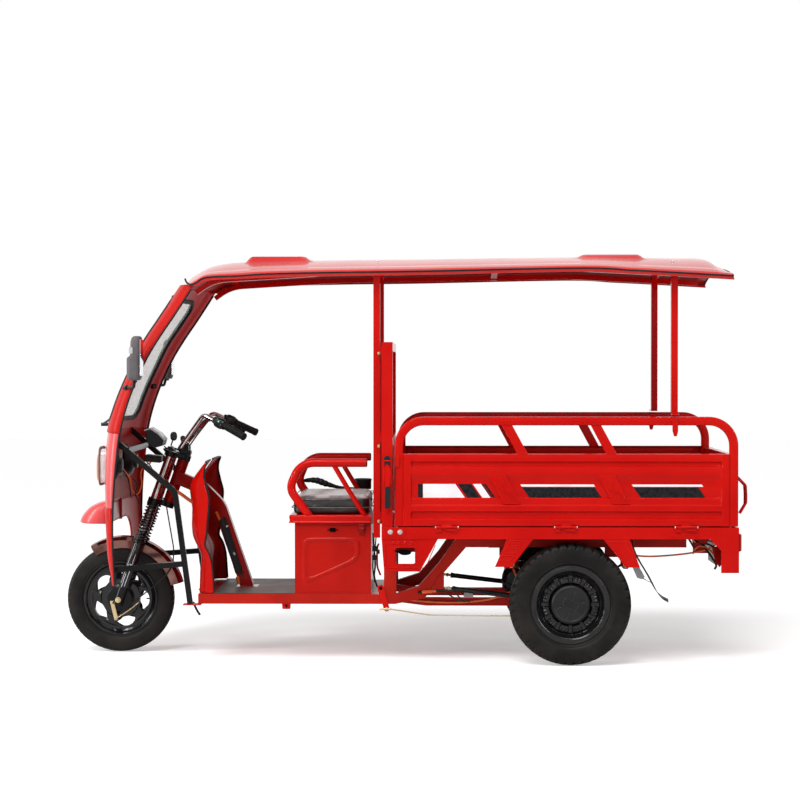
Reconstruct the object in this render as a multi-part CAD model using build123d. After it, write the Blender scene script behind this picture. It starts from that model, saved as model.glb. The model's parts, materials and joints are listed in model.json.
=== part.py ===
"""Roofed electric cargo tricycle, one closed solid per sub-part.

The part stands on its wheels with the ground at Z = 0. The front wheel is
towards -X, +Z is up, and the rider's left-hand side is -Y. Lengths are in
millimetres. The steering works about a raked axis, so its pieces are placed
with steer_point, which counts along that axis from the height of the axle.
"""
import math
import os
from functools import cache

from build123d import *

# ---------------------------------------------------------------- wheels
FRONT_TYRE_RADIUS = 250.0
FRONT_TYRE_WIDTH = 90.0
FRONT_RIM_RADIUS = 165.0
REAR_TYRE_RADIUS = 272.0
REAR_TYRE_WIDTH = 114.0
REAR_RIM_RADIUS = 169.0
RIM_FLANGE_HEIGHT = 6.0
RIM_FLANGE_THICKNESS = 4.0
BEAD_SHARE = 0.72
WHEELBASE = 2070.0
REAR_AXLE_X = 765.0
REAR_TRACK = 926.0
FRONT_AXLE_RADIUS = 7.5
STUB_AXLE_RADIUS = 15.0
FRONT_SPOKE_COUNT = 5
REAR_SLOT_COUNT = 12
REAR_LUG_COUNT = 32
LUG_DEPTH = 9.0
LUG_GROOVE_WIDTH = 15.0
HUB_CAP_RADIUS = 86.0
RUNNING_CLEARANCE = 0.05
SEAT_GAP = 0.3

# -------------------------------------------------------------- steering
RAKE_DEG = 19.6
FORK_OFFSET = 60.0
FORK_LEG_SPACING = 168.0
STEM_RADIUS = 16.0
HEAD_TUBE_RADIUS = 27.0
STANCHION_RADIUS = 15.0
SLIDER_RADIUS = 22.0
SPRING_RADIUS = 27.0
SLIDER_TOP = 288.0
LOWER_CLAMP_TOP = 499.0
CLAMP_THICKNESS = 26.0
UPPER_CLAMP_BASE = 706.0
BAR_RADIUS = 11.0
BAR_RISE = 752.0
BAR_BASE_HALF = 60.0
BAR_BEND = (948.0, 36.0, 205.0)
BAR_END = (924.0, 250.0, 345.0)
GRIP_RADIUS = 17.0
GRIP_LENGTH = 125.0
CONTROL_LENGTH = 58.0
BRAKE_ARM_Y = -72.0
CABLE_RADIUS = 3.0
GUARD_RADIUS = 286.0
GUARD_WIDTH = 104.0
GUARD_THICKNESS = 2.5
GUARD_SKIRT = 56.0

# -------------------------------------------------------------- platform
FLOOR_FRONT_X = -909.0
RAIL_BASE_Z = 258.0
RAIL_HEIGHT = 41.0
RAIL_WIDTH = 40.0
PLATFORM_HALF_WIDTH = 347.0
PAN_THICKNESS = 3.0
MAT_THICKNESS = 5.0
CROSS_MEMBER_WIDTH = 40.0
UPRIGHT_FRONT_X = -68.0
DOWN_TUBE_WIDTH = 60.0
DOWN_TUBE_DEPTH = 60.0
TUBE_FOOT = (-762.0, -662.0, -55.0, 55.0)
CHANNEL_DEPTH = 14.0
SHIELD_THICKNESS = 3.0
GUARD_TUBE = 25.0

# ------------------------------------------------------------------- bed
BED_FRONT_X = -75.0
BED_REAR_X = 1509.0
BED_HALF_WIDTH = 525.0
BED_FLOOR_Z = 618.0
BED_SHEET = 4.0
DECK_THICKNESS = 2.0
DECK_GAP = 4.0
SILL_BASE_Z = 565.5
SILL_WIDTH = 42.0
BEAM_TOP_Z = 560.0
BEAM_DEPTH = 45.0
BEAM_REAR_X = 1297.0
BEARER_WIDTH = 40.0
BEARER_COUNT = 6
HEADBOARD_DEPTH = 49.0
HEADBOARD_TOP_Z = 1440.0
HEADBOARD_PANEL_TOP_Z = 1010.0
GATE_FRONT_X = -17.5
GATE_REAR_X = 1506.0
GATE_BASE_Z = 623.0
GATE_TOP_Z = 1109.0
GATE_PANEL_TOP_Z = 943.5
GATE_THICKNESS = 34.0
GATE_TUBE = 39.0
GATE_CORNER_RADIUS = 130.0
GATE_FLANGE = 32.0
GATE_INNER_RECESS = 20.0
STRUT_WIDTH = 46.0
STRUT_RUN = 70.0
STRUT_TOPS = (458.0, 855.0)
BRACE_PLATES = ((401.0, 466.0), (885.0, 951.0))
BRACE_PLATE_WIDTH = 77.0
PRESSED_PROFILE = (
    (0.0, 6.0), (33.0, 6.0), (38.0, 16.0), (53.0, 16.0), (58.0, 6.0), (92.0, 6.0),
    (118.0, 14.0), (194.0, 14.0), (199.0, 8.0), (224.0, 8.0), (230.0, 3.0), (254.0, 3.0),
    (260.0, 14.0), (283.0, 14.0), (289.0, 4.0), (320.0, 4.0),
)
TAILGATE_TOP_Z = 940.0
TAILGATE_SIDE_GAP = 6.0
HINGE_CENTRES = (215.0, 742.0, 1275.0)
HINGE_LENGTH = 96.0
HINGE_OFFSET = 7.0
HINGE_Z = 619.0
KNUCKLE_RADIUS = 5.5
HINGE_PIN_RADIUS = 2.5
TAIL_HINGE_Y = 300.0
LATCH_INSET = 44.0

# --------------------------------------------------------- rider's place
BOX_FRONT_X = -471.0
BOX_REAR_X = -126.0
BOX_HALF_WIDTH = 345.0
BOX_TOP_Z = 630.0
BOX_WALL = 3.0
BOX_FLANGE = 10.0
LID_FRONT_X = -491.0
LID_OVERHANG = 11.0
LID_HEIGHT = 30.0
LID_HINGE_DROP = 3.0
LID_HINGE_CENTRES = (-220.0, 220.0)
LID_HINGE_HALF = 30.0
LID_HINGE_THIRD = 10.0
LID_KNUCKLE_RADIUS = 2.8
LID_PIN_RADIUS = 1.5
CUSHION_TOP_Z = 745.0
ARMREST_TUBE_RADIUS = 17.0
ARMREST_INSET = 18.0
ARMREST_TOP_Z = 898.0

# --------------------------------------------------------- cowl and roof
COWL_HALF_WIDTH = 500.0
COWL_WALL = 5.0
COWL_SQUARENESS = 2.6
COWL_BASE_Z = 353.0
COWL_TOP_Z = 1690.0
WINDOW_HALF_WIDTH = 428.0
WINDOW_BASE_Z = 1085.0
WINDOW_TOP_Z = 1642.0
WINDOW_CORNER = 60.0
WHEEL_OPENING_HALF_WIDTH = 392.0
WHEEL_OPENING_TOP_Z = 612.0
BEAK_HALF_WIDTH = 150.0
LAMP_Y = 262.0
LAMP_WIDTH = 200.0
LAMP_Z = 880.0
LAMP_HEIGHT = 165.0
LAMP_FRONT_X = -1366.0
ROOF_HALF_WIDTH = 508.0
ROOF_THICKNESS = 5.0
ROOF_LIP = 20.0
ROOF_TUBE = 30.0
ROOF_RAIL_DEPTH = 22.0
ROOF_POST_TOP = 1746.0
ROOF_TUBE_Y = 438.0
FRONT_POST_X = -98.0
REAR_POST_X = 1230.0
POST_FOOT_GAP = 6.0

# ---------------------------------------------------------- running gear
AXLE_TUBE_RADIUS = 28.0
BRAKE_PLATE_GAP = 20.0
BRAKE_PLATE_THICKNESS = 8.0
BRAKE_PLATE_RADIUS = 100.0
MOTOR_X = 561.0
MOTOR_Z = 340.0
MOTOR_RADIUS = 85.0
MOTOR_LENGTH = 200.0
SPRING_WIDTH = 50.0
SPRING_HALF_SPAN = 257.0
PUSH_ROD_RADIUS = 13.0
LOW_ARM_OUTER_Y = 245.0
LOW_ARM_INNER_Y = 205.0
SUPPLY_CABLE_RADIUS = 5.0

# --------------------------------------------------------- derived places
FRONT_AXLE_X = REAR_AXLE_X - WHEELBASE
RAKE = math.radians(RAKE_DEG)
WHEEL_Y = REAR_TRACK / 2
LEG_Y = FORK_LEG_SPACING / 2
RAIL_TOP_Z = RAIL_BASE_Z + RAIL_HEIGHT
PAN_TOP_Z = RAIL_TOP_Z + PAN_THICKNESS
MAT_TOP_Z = PAN_TOP_Z + MAT_THICKNESS
RAIL_Y = PLATFORM_HALF_WIDTH - RAIL_WIDTH / 2
BEAM_BASE_Z = BEAM_TOP_Z - BEAM_DEPTH
HINGE_Y = BED_HALF_WIDTH + HINGE_OFFSET
HEADBOARD_REAR_X = BED_FRONT_X + HEADBOARD_DEPTH
LID_BASE_Z = BOX_TOP_Z + SEAT_GAP
LID_TOP_Z = LID_BASE_Z + LID_HEIGHT
LID_HINGE_Z = LID_BASE_Z - LID_HINGE_DROP
LOWER_CLAMP_BASE = LOWER_CLAMP_TOP - CLAMP_THICKNESS
UPPER_CLAMP_TOP = UPPER_CLAMP_BASE + CLAMP_THICKNESS
GATE_INNER_Y = BED_HALF_WIDTH - GATE_THICKNESS
DECK_TOP_Z = BED_FLOOR_Z + DECK_THICKNESS
LID_HALF_WIDTH = BOX_HALF_WIDTH + LID_OVERHANG
ARMREST_Y = LID_HALF_WIDTH - ARMREST_INSET
CUSHION_HALF_WIDTH = ARMREST_Y - ARMREST_TUBE_RADIUS - SEAT_GAP
AXLE_TUBE_HALF_LENGTH = RAIL_Y + SPRING_WIDTH / 2 + BRAKE_PLATE_GAP


# ================================================================ helpers
def box(x_low, x_high, y_low, y_high, z_low, z_high):
    """Return a box between two opposite corners."""
    centre = ((x_low + x_high) / 2, (y_low + y_high) / 2, (z_low + z_high) / 2)
    return Pos(*centre) * Box(x_high - x_low, y_high - y_low, z_high - z_low)


def rod(start, end, radius):
    """Return a round bar from start to end."""
    start_vector = Vector(*start)
    along = Vector(*end) - start_vector
    plane = Plane(origin=start_vector, z_dir=along.normalized())
    bottom = (Align.CENTER, Align.CENTER, Align.MIN)
    return plane * Cylinder(radius, along.length, align=bottom)


def cross_rod(x, z, y_low, y_high, radius):
    """Return a round bar along Y."""
    return rod((x, y_low, z), (x, y_high, z), radius)


def plate(outline, y_low, y_high):
    """Return a plate along Y whose outline is a list of (x, z) points."""
    edge = Polyline([(x, y_low, z) for x, z in outline], close=True)
    return extrude(make_face(edge), amount=y_high - y_low, dir=(0, 1, 0))


def wall(outline, x_low, x_high):
    """Return a plate along X whose outline is a list of (y, z) points."""
    edge = Polyline([(x_low, y, z) for y, z in outline], close=True)
    return extrude(make_face(edge), amount=x_high - x_low, dir=(1, 0, 0))


def bent_rod(points, radii, radius):
    """Return a round bar along straight runs joined by arcs."""
    path = FilletPolyline(*points, radius=radii)
    return sweep((path ^ 0) * Circle(radius), path=path)


def bent_bar(points, radii, width, depth):
    """Return a square-section bar in a plane of constant Y, width along Y."""
    path = FilletPolyline(*points, radius=radii)
    along = path % 0
    section = Plane(origin=path @ 0, x_dir=(0, 1, 0), z_dir=along)
    return sweep(section * Rectangle(width, depth), path=path)


def held_cable(points, radius):
    """Return a cable along a route, with each arc as large as its two runs allow."""
    route = [Vector(*point) for point in points]
    runs = [end - start for start, end in zip(route, route[1:])]
    radii = []
    for before, after in zip(runs, runs[1:]):
        half_turn = math.radians(before.get_angle(after)) / 2
        radii.append(0.45 * min(before.length, after.length) / math.tan(half_turn))
    path = FilletPolyline(*route, radius=radii)
    section = Plane(origin=path @ 0, z_dir=path % 0)
    return sweep(section * Circle(radius), path=path)


def both_sides(shape):
    """Return a shape and its mirror image in the centre plane, joined."""
    return shape + mirror(shape, about=Plane.XZ)


def right_hand(shape):
    """Return the mirror image of a left-hand shape."""
    return mirror(shape, about=Plane.XZ)


def turned(profile, x, z, start_deg=0.0, sweep_deg=360.0):
    """Turn an outline of (radius, y) points about a cross axis at (x, z)."""
    face = make_face(Polyline([(radius, y, 0) for radius, y in profile], close=True))
    solid = revolve(face, axis=Axis.Y, revolution_arc=sweep_deg)
    return Pos(x, 0, z) * Rot(0, -start_deg, 0) * solid


def steer_point(along, behind, y=0.0):
    """Return a point counted up the steering axis and behind it."""
    foot_x = FRONT_AXLE_X + FORK_OFFSET * math.cos(RAKE)
    foot_z = FRONT_TYRE_RADIUS - FORK_OFFSET * math.sin(RAKE)
    x = foot_x + along * math.sin(RAKE) + behind * math.cos(RAKE)
    z = foot_z + along * math.cos(RAKE) - behind * math.sin(RAKE)
    return (x, y, z)


def steer_plane(along, behind=0.0, y=0.0):
    """Return the plane square to the steering axis at a steer_point."""
    rearwards = (math.cos(RAKE), 0, -math.sin(RAKE))
    upwards = (math.sin(RAKE), 0, math.cos(RAKE))
    return Plane(origin=steer_point(along, behind, y), x_dir=rearwards, z_dir=upwards)


def largest(shape):
    """Return the largest solid of a cut shape."""
    return max(shape.solids(), key=lambda solid: solid.volume)


def smooth(value, table):
    """Return the height table's value at one place, between its rows."""
    for (low, low_value), (high, high_value) in zip(table, table[1:]):
        if low <= value <= high:
            share = (value - low) / (high - low)
            return low_value + share * (high_value - low_value)
    return table[-1][1]


# ================================================================= wheels
def tyre(x, z, y, radius, width, rim_radius):
    """Return a tyre that fits a rim with its beads on the rim's seat."""
    half = width / 2
    section = radius - rim_radius
    tread_half = half * 0.86
    profile = [
        (rim_radius, y - half * BEAD_SHARE),
        (rim_radius + RIM_FLANGE_HEIGHT + SEAT_GAP, y - half * BEAD_SHARE),
        (rim_radius + section * 0.3, y - half * 0.97),
        (rim_radius + section * 0.55, y - half),
        (radius - section * 0.12, y - tread_half),
        (radius, y - tread_half * 0.72),
        (radius, y + tread_half * 0.72),
        (radius - section * 0.12, y + tread_half),
        (rim_radius + section * 0.55, y + half),
        (rim_radius + section * 0.3, y + half * 0.97),
        (rim_radius + RIM_FLANGE_HEIGHT + SEAT_GAP, y + half * BEAD_SHARE),
        (rim_radius, y + half * BEAD_SHARE),
        (rim_radius + section * 0.1, y + half * 0.5),
        (radius - section * 0.3, y + half * 0.62),
        (radius - section * 0.3, y - half * 0.62),
        (rim_radius + section * 0.1, y - half * 0.5),
    ]
    return turned(profile, x, z)


def shoulder_grooves(x, z, y, radius, width, count):
    """Return the grooves that part the lugs along both shoulders of a tyre."""
    groove_length = width * 0.34
    reach = 2 * LUG_DEPTH
    grooves = []
    for index in range(count):
        for side in (-1, 1):
            turn = (index + side * 0.25) * 360.0 / count
            groove = Box(reach, groove_length, LUG_GROOVE_WIDTH)
            middle_y = y + side * (width - groove_length) / 2
            grooves.append(Pos(x, middle_y, z) * Rot(0, turn, 0) * Pos(radius, 0, 0) * groove)
    return grooves


def front_tyre():
    """Return the front tyre."""
    return tyre(FRONT_AXLE_X, FRONT_TYRE_RADIUS, 0, FRONT_TYRE_RADIUS, FRONT_TYRE_WIDTH, FRONT_RIM_RADIUS)


def rear_tyre():
    """Return the left rear tyre with its shoulder lugs."""
    size = (REAR_AXLE_X, REAR_TYRE_RADIUS, -WHEEL_Y, REAR_TYRE_RADIUS, REAR_TYRE_WIDTH)
    return tyre(*size, REAR_RIM_RADIUS) - shoulder_grooves(*size, REAR_LUG_COUNT)


def rim_barrel(x, z, y, rim_radius, width):
    """Return the round barrel of a rim with a flange at each edge."""
    half = width / 2 * BEAD_SHARE
    outer_edge = half + RIM_FLANGE_THICKNESS
    flange = rim_radius + RIM_FLANGE_HEIGHT
    inner = rim_radius - RIM_FLANGE_HEIGHT
    profile = [
        (rim_radius, y - half),
        (flange, y - half),
        (flange, y - outer_edge),
        (inner, y - outer_edge),
        (inner, y + outer_edge),
        (flange, y + outer_edge),
        (flange, y + half),
        (rim_radius, y + half),
    ]
    return turned(profile, x, z)


def front_rim():
    """Return the five-spoke front wheel with its drum hub."""
    z = FRONT_TYRE_RADIUS
    hub_half = LEG_Y - SLIDER_RADIUS - 13.0
    drum_radius = 58.0
    spoke_half = 17.0
    rim = rim_barrel(FRONT_AXLE_X, z, 0, FRONT_RIM_RADIUS, FRONT_TYRE_WIDTH)
    rim += cross_rod(FRONT_AXLE_X, z, -hub_half, hub_half, drum_radius)
    reach = FRONT_RIM_RADIUS - RIM_FLANGE_HEIGHT / 2
    for index in range(FRONT_SPOKE_COUNT):
        turn = 90.0 + index * 360.0 / FRONT_SPOKE_COUNT
        root = drum_radius * 0.7
        outline = [(root, -36), (reach * 0.8, -14), (reach, -34), (reach, 34), (reach * 0.8, 14),
                   (root, 36)]
        spoke = plate(outline, -spoke_half, spoke_half)
        rim += Pos(FRONT_AXLE_X, 0, z) * Rot(0, turn, 0) * spoke
    bore = FRONT_AXLE_RADIUS + RUNNING_CLEARANCE
    return rim - cross_rod(FRONT_AXLE_X, z, -hub_half, hub_half, bore)


def rear_rim():
    """Return the left rear pressed wheel with its slots, hub and drum."""
    z = REAR_TYRE_RADIUS
    y = -WHEEL_Y
    rim = rim_barrel(REAR_AXLE_X, z, y, REAR_RIM_RADIUS, REAR_TYRE_WIDTH)
    disc_y = y - REAR_TYRE_WIDTH * 0.2
    reach = REAR_RIM_RADIUS - RIM_FLANGE_HEIGHT / 2
    disc = cross_rod(REAR_AXLE_X, z, disc_y - 4, disc_y + 4, reach)
    slot_length = 26.0
    for index in range(REAR_SLOT_COUNT):
        turn = index * 360.0 / REAR_SLOT_COUNT
        slot_centre = (HUB_CAP_RADIUS + reach) / 2 + 2.0
        slot = box(-13, 13, disc_y - 10, disc_y + 10, -slot_length / 2, slot_length / 2)
        disc -= Pos(REAR_AXLE_X, 0, z) * Rot(0, turn, 0) * Pos(slot_centre, 0, 0) * slot
    drum_inner_y = -AXLE_TUBE_HALF_LENGTH - BRAKE_PLATE_THICKNESS - 4.0
    rim += disc
    rim += cross_rod(REAR_AXLE_X, z, disc_y, drum_inner_y, BRAKE_PLATE_RADIUS - 6.0)
    bore = STUB_AXLE_RADIUS + RUNNING_CLEARANCE
    return rim - cross_rod(REAR_AXLE_X, z, disc_y - 4, drum_inner_y, bore)


def hub_cap():
    """Return the left rear hub cap, which stands on the wheel disc."""
    disc_face_y = -WHEEL_Y - REAR_TYRE_WIDTH * 0.2 - 4
    tip_y = disc_face_y - 24.0
    cap = cross_rod(REAR_AXLE_X, REAR_TYRE_RADIUS, tip_y, disc_face_y, HUB_CAP_RADIUS)
    cap = chamfer(cap.faces().sort_by(Axis.Y)[0].edges(), 6.0)
    well = STUB_AXLE_RADIUS + 8.0
    return cap - cross_rod(REAR_AXLE_X, REAR_TYRE_RADIUS, tip_y + 6.0, disc_face_y, well)


# =============================================================== steering
def leg_outline(along, behind, y, radius, length):
    """Return a round bar along the steering axis."""
    bottom = (Align.CENTER, Align.CENTER, Align.MIN)
    return steer_plane(along, behind, y) * Cylinder(radius, length, align=bottom)


def clamp_yoke(along):
    """Return one fork clamp, from the stem to both legs."""
    yoke = leg_outline(along, 0, 0, HEAD_TUBE_RADIUS + 2.0, CLAMP_THICKNESS)
    for side in (-1, 1):
        yoke += leg_outline(along, -FORK_OFFSET, side * LEG_Y, SPRING_RADIUS, CLAMP_THICKNESS)
    bottom = (Align.CENTER, Align.CENTER, Align.MIN)
    bridge = Box(SPRING_RADIUS * 1.6, FORK_LEG_SPACING, CLAMP_THICKNESS, align=bottom)
    web = Box(FORK_OFFSET, HEAD_TUBE_RADIUS * 1.9, CLAMP_THICKNESS, align=bottom)
    yoke += steer_plane(along, -FORK_OFFSET) * bridge
    yoke += steer_plane(along, -FORK_OFFSET / 2) * web
    return yoke


@cache
def fork():
    """Return the stem, both clamps, the legs and the front axle."""
    part = clamp_yoke(LOWER_CLAMP_BASE) + clamp_yoke(UPPER_CLAMP_BASE)
    stem_length = UPPER_CLAMP_TOP - LOWER_CLAMP_BASE
    part += leg_outline(LOWER_CLAMP_BASE, 0, 0, STEM_RADIUS, stem_length)
    slider_base = -SLIDER_RADIUS * 1.2
    for side in (-1, 1):
        y = side * LEG_Y
        part += leg_outline(0, -FORK_OFFSET, y, STANCHION_RADIUS, UPPER_CLAMP_TOP)
        slider_length = SLIDER_TOP - slider_base
        part += leg_outline(slider_base, -FORK_OFFSET, y, SLIDER_RADIUS, slider_length)
    axle_half = LEG_Y + SLIDER_RADIUS + 10.0
    z = FRONT_TYRE_RADIUS
    part += cross_rod(FRONT_AXLE_X, z, -axle_half, axle_half, FRONT_AXLE_RADIUS)
    plate_outer = LEG_Y - SLIDER_RADIUS + 2.0
    part += cross_rod(FRONT_AXLE_X, z, -plate_outer, -plate_outer + 11.0, 56.0)
    for side in (-1, 1):
        nut_inner = side * (LEG_Y + SLIDER_RADIUS - 1.0)
        part += cross_rod(FRONT_AXLE_X, z, min(nut_inner, side * axle_half),
                          max(nut_inner, side * axle_half), FRONT_AXLE_RADIUS + 5.0)
    arm = [(-1350, 240), (-1332, 240), (-1310, 160), (-1314, 150), (-1328, 150)]
    part += plate(arm, BRAKE_ARM_Y - 4, plate_outer * -1 + 1)
    return part


def brake_cable():
    """Return the front brake's cable, from the lower clamp to the arm on the hub."""
    y = BRAKE_ARM_Y
    points = [
        (-1087, y + 18, 684), (-1074, y + 14, 610), (-1061, y + 8, 540), (-1050, y + 4, 478),
        (-1054, y + 2, 420),
        (-1082, y, 366), (-1130, y - 1, 320), (-1192, y - 2, 272), (-1256, y - 1, 222), (-1316, y, 168),
    ]
    return held_cable(points, CABLE_RADIUS) - fork() - front_mudguard()


def fork_spring(side):
    """Return the envelope of one coil spring around its fork leg."""
    length = LOWER_CLAMP_BASE - SLIDER_TOP
    y = side * LEG_Y
    outer = leg_outline(SLIDER_TOP, -FORK_OFFSET, y, SPRING_RADIUS, length)
    return outer - leg_outline(SLIDER_TOP, -FORK_OFFSET, y, STANCHION_RADIUS, length)


@cache
def front_mudguard():
    """Return the bright mudguard that follows the front tyre."""
    half = GUARD_WIDTH / 2
    crown = GUARD_RADIUS
    edge = GUARD_RADIUS - 20.0
    inner = GUARD_THICKNESS
    low = GUARD_RADIUS - GUARD_SKIRT
    outside = [(low, -half), (edge, -half), (crown - 5.0, -half * 0.62), (crown, 0)]
    inside = [(low, inner - half), (edge - inner, inner - half), (crown - 5.0 - inner, inner - half * 0.62),
              (crown - inner, 0)]
    outside += [(radius, -y) for radius, y in reversed(outside[:-1])]
    inside += [(radius, -y) for radius, y in reversed(inside[:-1])]
    profile = outside + inside[::-1]
    guard = turned(profile, FRONT_AXLE_X + 15.0, FRONT_TYRE_RADIUS + 6.0, 123.0, 109.0)
    stay_x, _, stay_z = steer_point(SLIDER_TOP - 40.0, -FORK_OFFSET)
    leg_face = LEG_Y
    stay_top = FRONT_TYRE_RADIUS + 6.0 + edge
    stay = box(stay_x - 14, stay_x + 14, half - inner, leg_face, stay_z - 9, stay_top)
    return guard + both_sides(stay) - fork() - fork_spring(-1) - fork_spring(1)


def handlebar_path():
    """Return the corner points of the handlebar, left end first."""
    end = BAR_END
    bend = BAR_BEND
    left = [
        steer_point(end[0], end[1], -end[2]),
        steer_point(bend[0], bend[1], -bend[2]),
        steer_point(BAR_RISE, -FORK_OFFSET / 2, -BAR_BASE_HALF),
    ]
    return left + [(x, -y, z) for x, y, z in reversed(left)]


@cache
def handlebar():
    """Return the bent handlebar tube."""
    return bent_rod(handlebar_path(), 38.0, BAR_RADIUS)


def along_grip(distance):
    """Return a point on the left grip's line, counted from the bar's end."""
    end = Vector(*handlebar_path()[0])
    bend = Vector(*handlebar_path()[1])
    point = end + (bend - end).normalized() * distance
    return (point.X, point.Y, point.Z)


def grip():
    """Return the left rubber grip around the handlebar's end."""
    sleeve = rod(along_grip(-3.0), along_grip(GRIP_LENGTH), GRIP_RADIUS)
    return sleeve - rod(along_grip(0), along_grip(GRIP_LENGTH), BAR_RADIUS)


def control():
    """Return the left switch housing with its hand lever."""
    start = GRIP_LENGTH
    end = GRIP_LENGTH + CONTROL_LENGTH
    housing = rod(along_grip(start), along_grip(end), GRIP_RADIUS + 8.0)
    lever_start = Vector(*along_grip(end - 14.0)) + Vector(-30, 0, -6)
    lever_end = Vector(*along_grip(34.0)) + Vector(-46, -6, -16)
    root = Vector(*along_grip(end - 14.0))
    housing += rod(tuple(root), tuple(lever_start), 9.0)
    housing += rod(tuple(lever_start), tuple(lever_end), 6.0)
    housing += Pos(*tuple(lever_start)) * Sphere(9.0)
    return housing - handlebar()


@cache
def bar_clamp():
    """Return the covered clamp that holds the handlebar on the fork."""
    centre = steer_plane(UPPER_CLAMP_TOP, -10.0)
    bottom = (Align.CENTER, Align.CENTER, Align.MIN)
    height = BAR_RISE - UPPER_CLAMP_TOP + BAR_RADIUS + 16.0
    cover = centre * Box(96.0, 112.0, height, align=bottom)
    return cover - handlebar()


def instrument():
    """Return the instrument housing and the arm that carries it."""
    plane = steer_plane(BAR_RISE + 8.0, -160.0)
    tilt = Rot(0, 24.0, 0)
    housing = plane * tilt * Box(96.0, 170.0, 42.0)
    arm_start = steer_point(BAR_RISE + 2.0, -58.0)
    arm_end = steer_point(BAR_RISE + 6.0, -140.0)
    return housing + (rod(arm_start, arm_end, 12.0) - bar_clamp())


# ============================================================ front frame
@cache
def down_tube():
    """Return the head tube and the tube down to the floor pan."""
    length = UPPER_CLAMP_BASE - LOWER_CLAMP_TOP - 2 * SEAT_GAP
    head = leg_outline(LOWER_CLAMP_TOP + SEAT_GAP, 0, 0, HEAD_TUBE_RADIUS, length)
    start = steer_point(620.0, 0.0)
    points = [start, (-925.0, 0, 765.0), (-843.0, 0, 682.0), (-712.0, 0, PAN_TOP_Z)]
    tube = bent_bar(points, [70.0, 110.0], DOWN_TUBE_WIDTH, DOWN_TUBE_DEPTH)
    tube -= box(-900, -500, -100, 100, PAN_TOP_Z - 60, PAN_TOP_Z)
    foot = box(*TUBE_FOOT, PAN_TOP_Z, PAN_TOP_Z + MAT_THICKNESS)
    bore = STEM_RADIUS + RUNNING_CLEARANCE
    return head + tube + foot - leg_outline(LOWER_CLAMP_TOP, 0, 0, bore, length + 2.0)


@cache
def cable_channel():
    """Return the black cable channel along the down tube's left face."""
    run = [(-842, 617), (-812, 629), (-731, 369), (-767, 377)]
    face_y = -DOWN_TUBE_WIDTH / 2
    return plate(run, face_y - CHANNEL_DEPTH, face_y)


def leg_shield():
    """Return the leg shield with its side walls and the tube's notch."""
    y = PLATFORM_HALF_WIDTH
    base = PAN_TOP_Z
    front_line = [(-909, base), (-904, 488), (-938, 562), (-942, 592), (-942, 811), (-918, 848),
                  (-880, 896)]
    rear_line = [
        (-868, 896), (-876, 845), (-868, 790), (-852, 732), (-848, 690), (-858, 621), (-871, 573),
        (-881, 515),
        (-863, 489), (-847, 436), (-837, base),
    ]
    side = front_line + rear_line
    left = plate(side, -y, -y + SHIELD_THICKNESS)
    front = front_line + [(x + SHIELD_THICKNESS, z) for x, z in reversed(front_line)]
    shield = both_sides(left) + plate(front, -y, y)
    notch = box(-1000, -800, -52, 52, 640, 1000)
    return shield - notch


def cowl_frame():
    """Return the black tube frame that carries the cowl."""
    top = (-1330.0, -398.0, 1043.5)
    bend = (-1012.0, -358.0, 766.0)
    foot = (-944.0, -352.0, RAIL_BASE_Z)
    path = FilletPolyline(top, bend, foot, radius=60.0)
    section = Plane(origin=path @ 0, x_dir=(0, 1, 0), z_dir=path % 0)
    leg = sweep(section * Rectangle(GUARD_TUBE, GUARD_TUBE), path=path)
    low_start = (-1330.0, -392.0, 412.0)
    low_end = (-972.0, -355.0, 440.0)
    low_path = Line(low_start, low_end)
    low_section = Plane(origin=low_start, x_dir=(0, 1, 0), z_dir=low_path % 0)
    stay = sweep(low_section * Rectangle(GUARD_TUBE, GUARD_TUBE), path=low_path)
    side = leg + stay - box(-1400, -500, -600, 600, 0, RAIL_BASE_Z)
    outside = cowl_solid(0.0, 0.0)
    inside = cowl_solid(COWL_WALL, 400.0)
    side = largest(side - (outside - inside))
    cross = box(-1240, -1240 + GUARD_TUBE, -385, 385, 942, 942 + GUARD_TUBE)
    return both_sides(side) + cross


# ================================================================== frame
@cache
def frame():
    """Return the welded main frame: rails, rises, beams and hangers."""
    y = RAIL_Y
    side = [
        (FLOOR_FRONT_X, RAIL_BASE_Z), (-18, RAIL_BASE_Z), (117, 285), (190, 385), (303, BEAM_BASE_Z),
        (BEAM_REAR_X, BEAM_BASE_Z), (BEAM_REAR_X, BEAM_TOP_Z), (262, BEAM_TOP_Z), (178, 440),
        (88, 338), (-30, RAIL_TOP_Z), (FLOOR_FRONT_X, RAIL_TOP_Z),
    ]
    rail = plate(side, -y - RAIL_WIDTH / 2, -y + RAIL_WIDTH / 2)
    upright = box(UPRIGHT_FRONT_X, -12, -y - RAIL_WIDTH / 2, -y + RAIL_WIDTH / 2, RAIL_TOP_Z, SILL_BASE_Z)
    hanger = plate([(140, 300), (204, 312), (204, 400), (180, 385)], -y - 26, -y + 26)
    rear_hanger = box(475, 541, -y - 5, -y + 5, 420, BEAM_BASE_Z)
    shackle_hanger = box(930, 990, -y - 5, -y + 5, 470, BEAM_BASE_Z)
    flange = box(-975, -895, -y - 45, -y + 20, RAIL_BASE_Z - 5, RAIL_BASE_Z)
    part = both_sides(rail + upright + hanger + rear_hanger + shackle_hanger + flange)
    for x in (FLOOR_FRONT_X, -742.0, -480.0, -170.0, -60.0):
        part += box(x, x + CROSS_MEMBER_WIDTH, -y, y, RAIL_BASE_Z, RAIL_TOP_Z)
    for x in (300.0, 620.0, 900.0, BEAM_REAR_X - CROSS_MEMBER_WIDTH):
        part += box(x, x + CROSS_MEMBER_WIDTH, -y, y, BEAM_BASE_Z, BEAM_TOP_Z)
    return part + floor_pan() + torque_arm()


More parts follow.
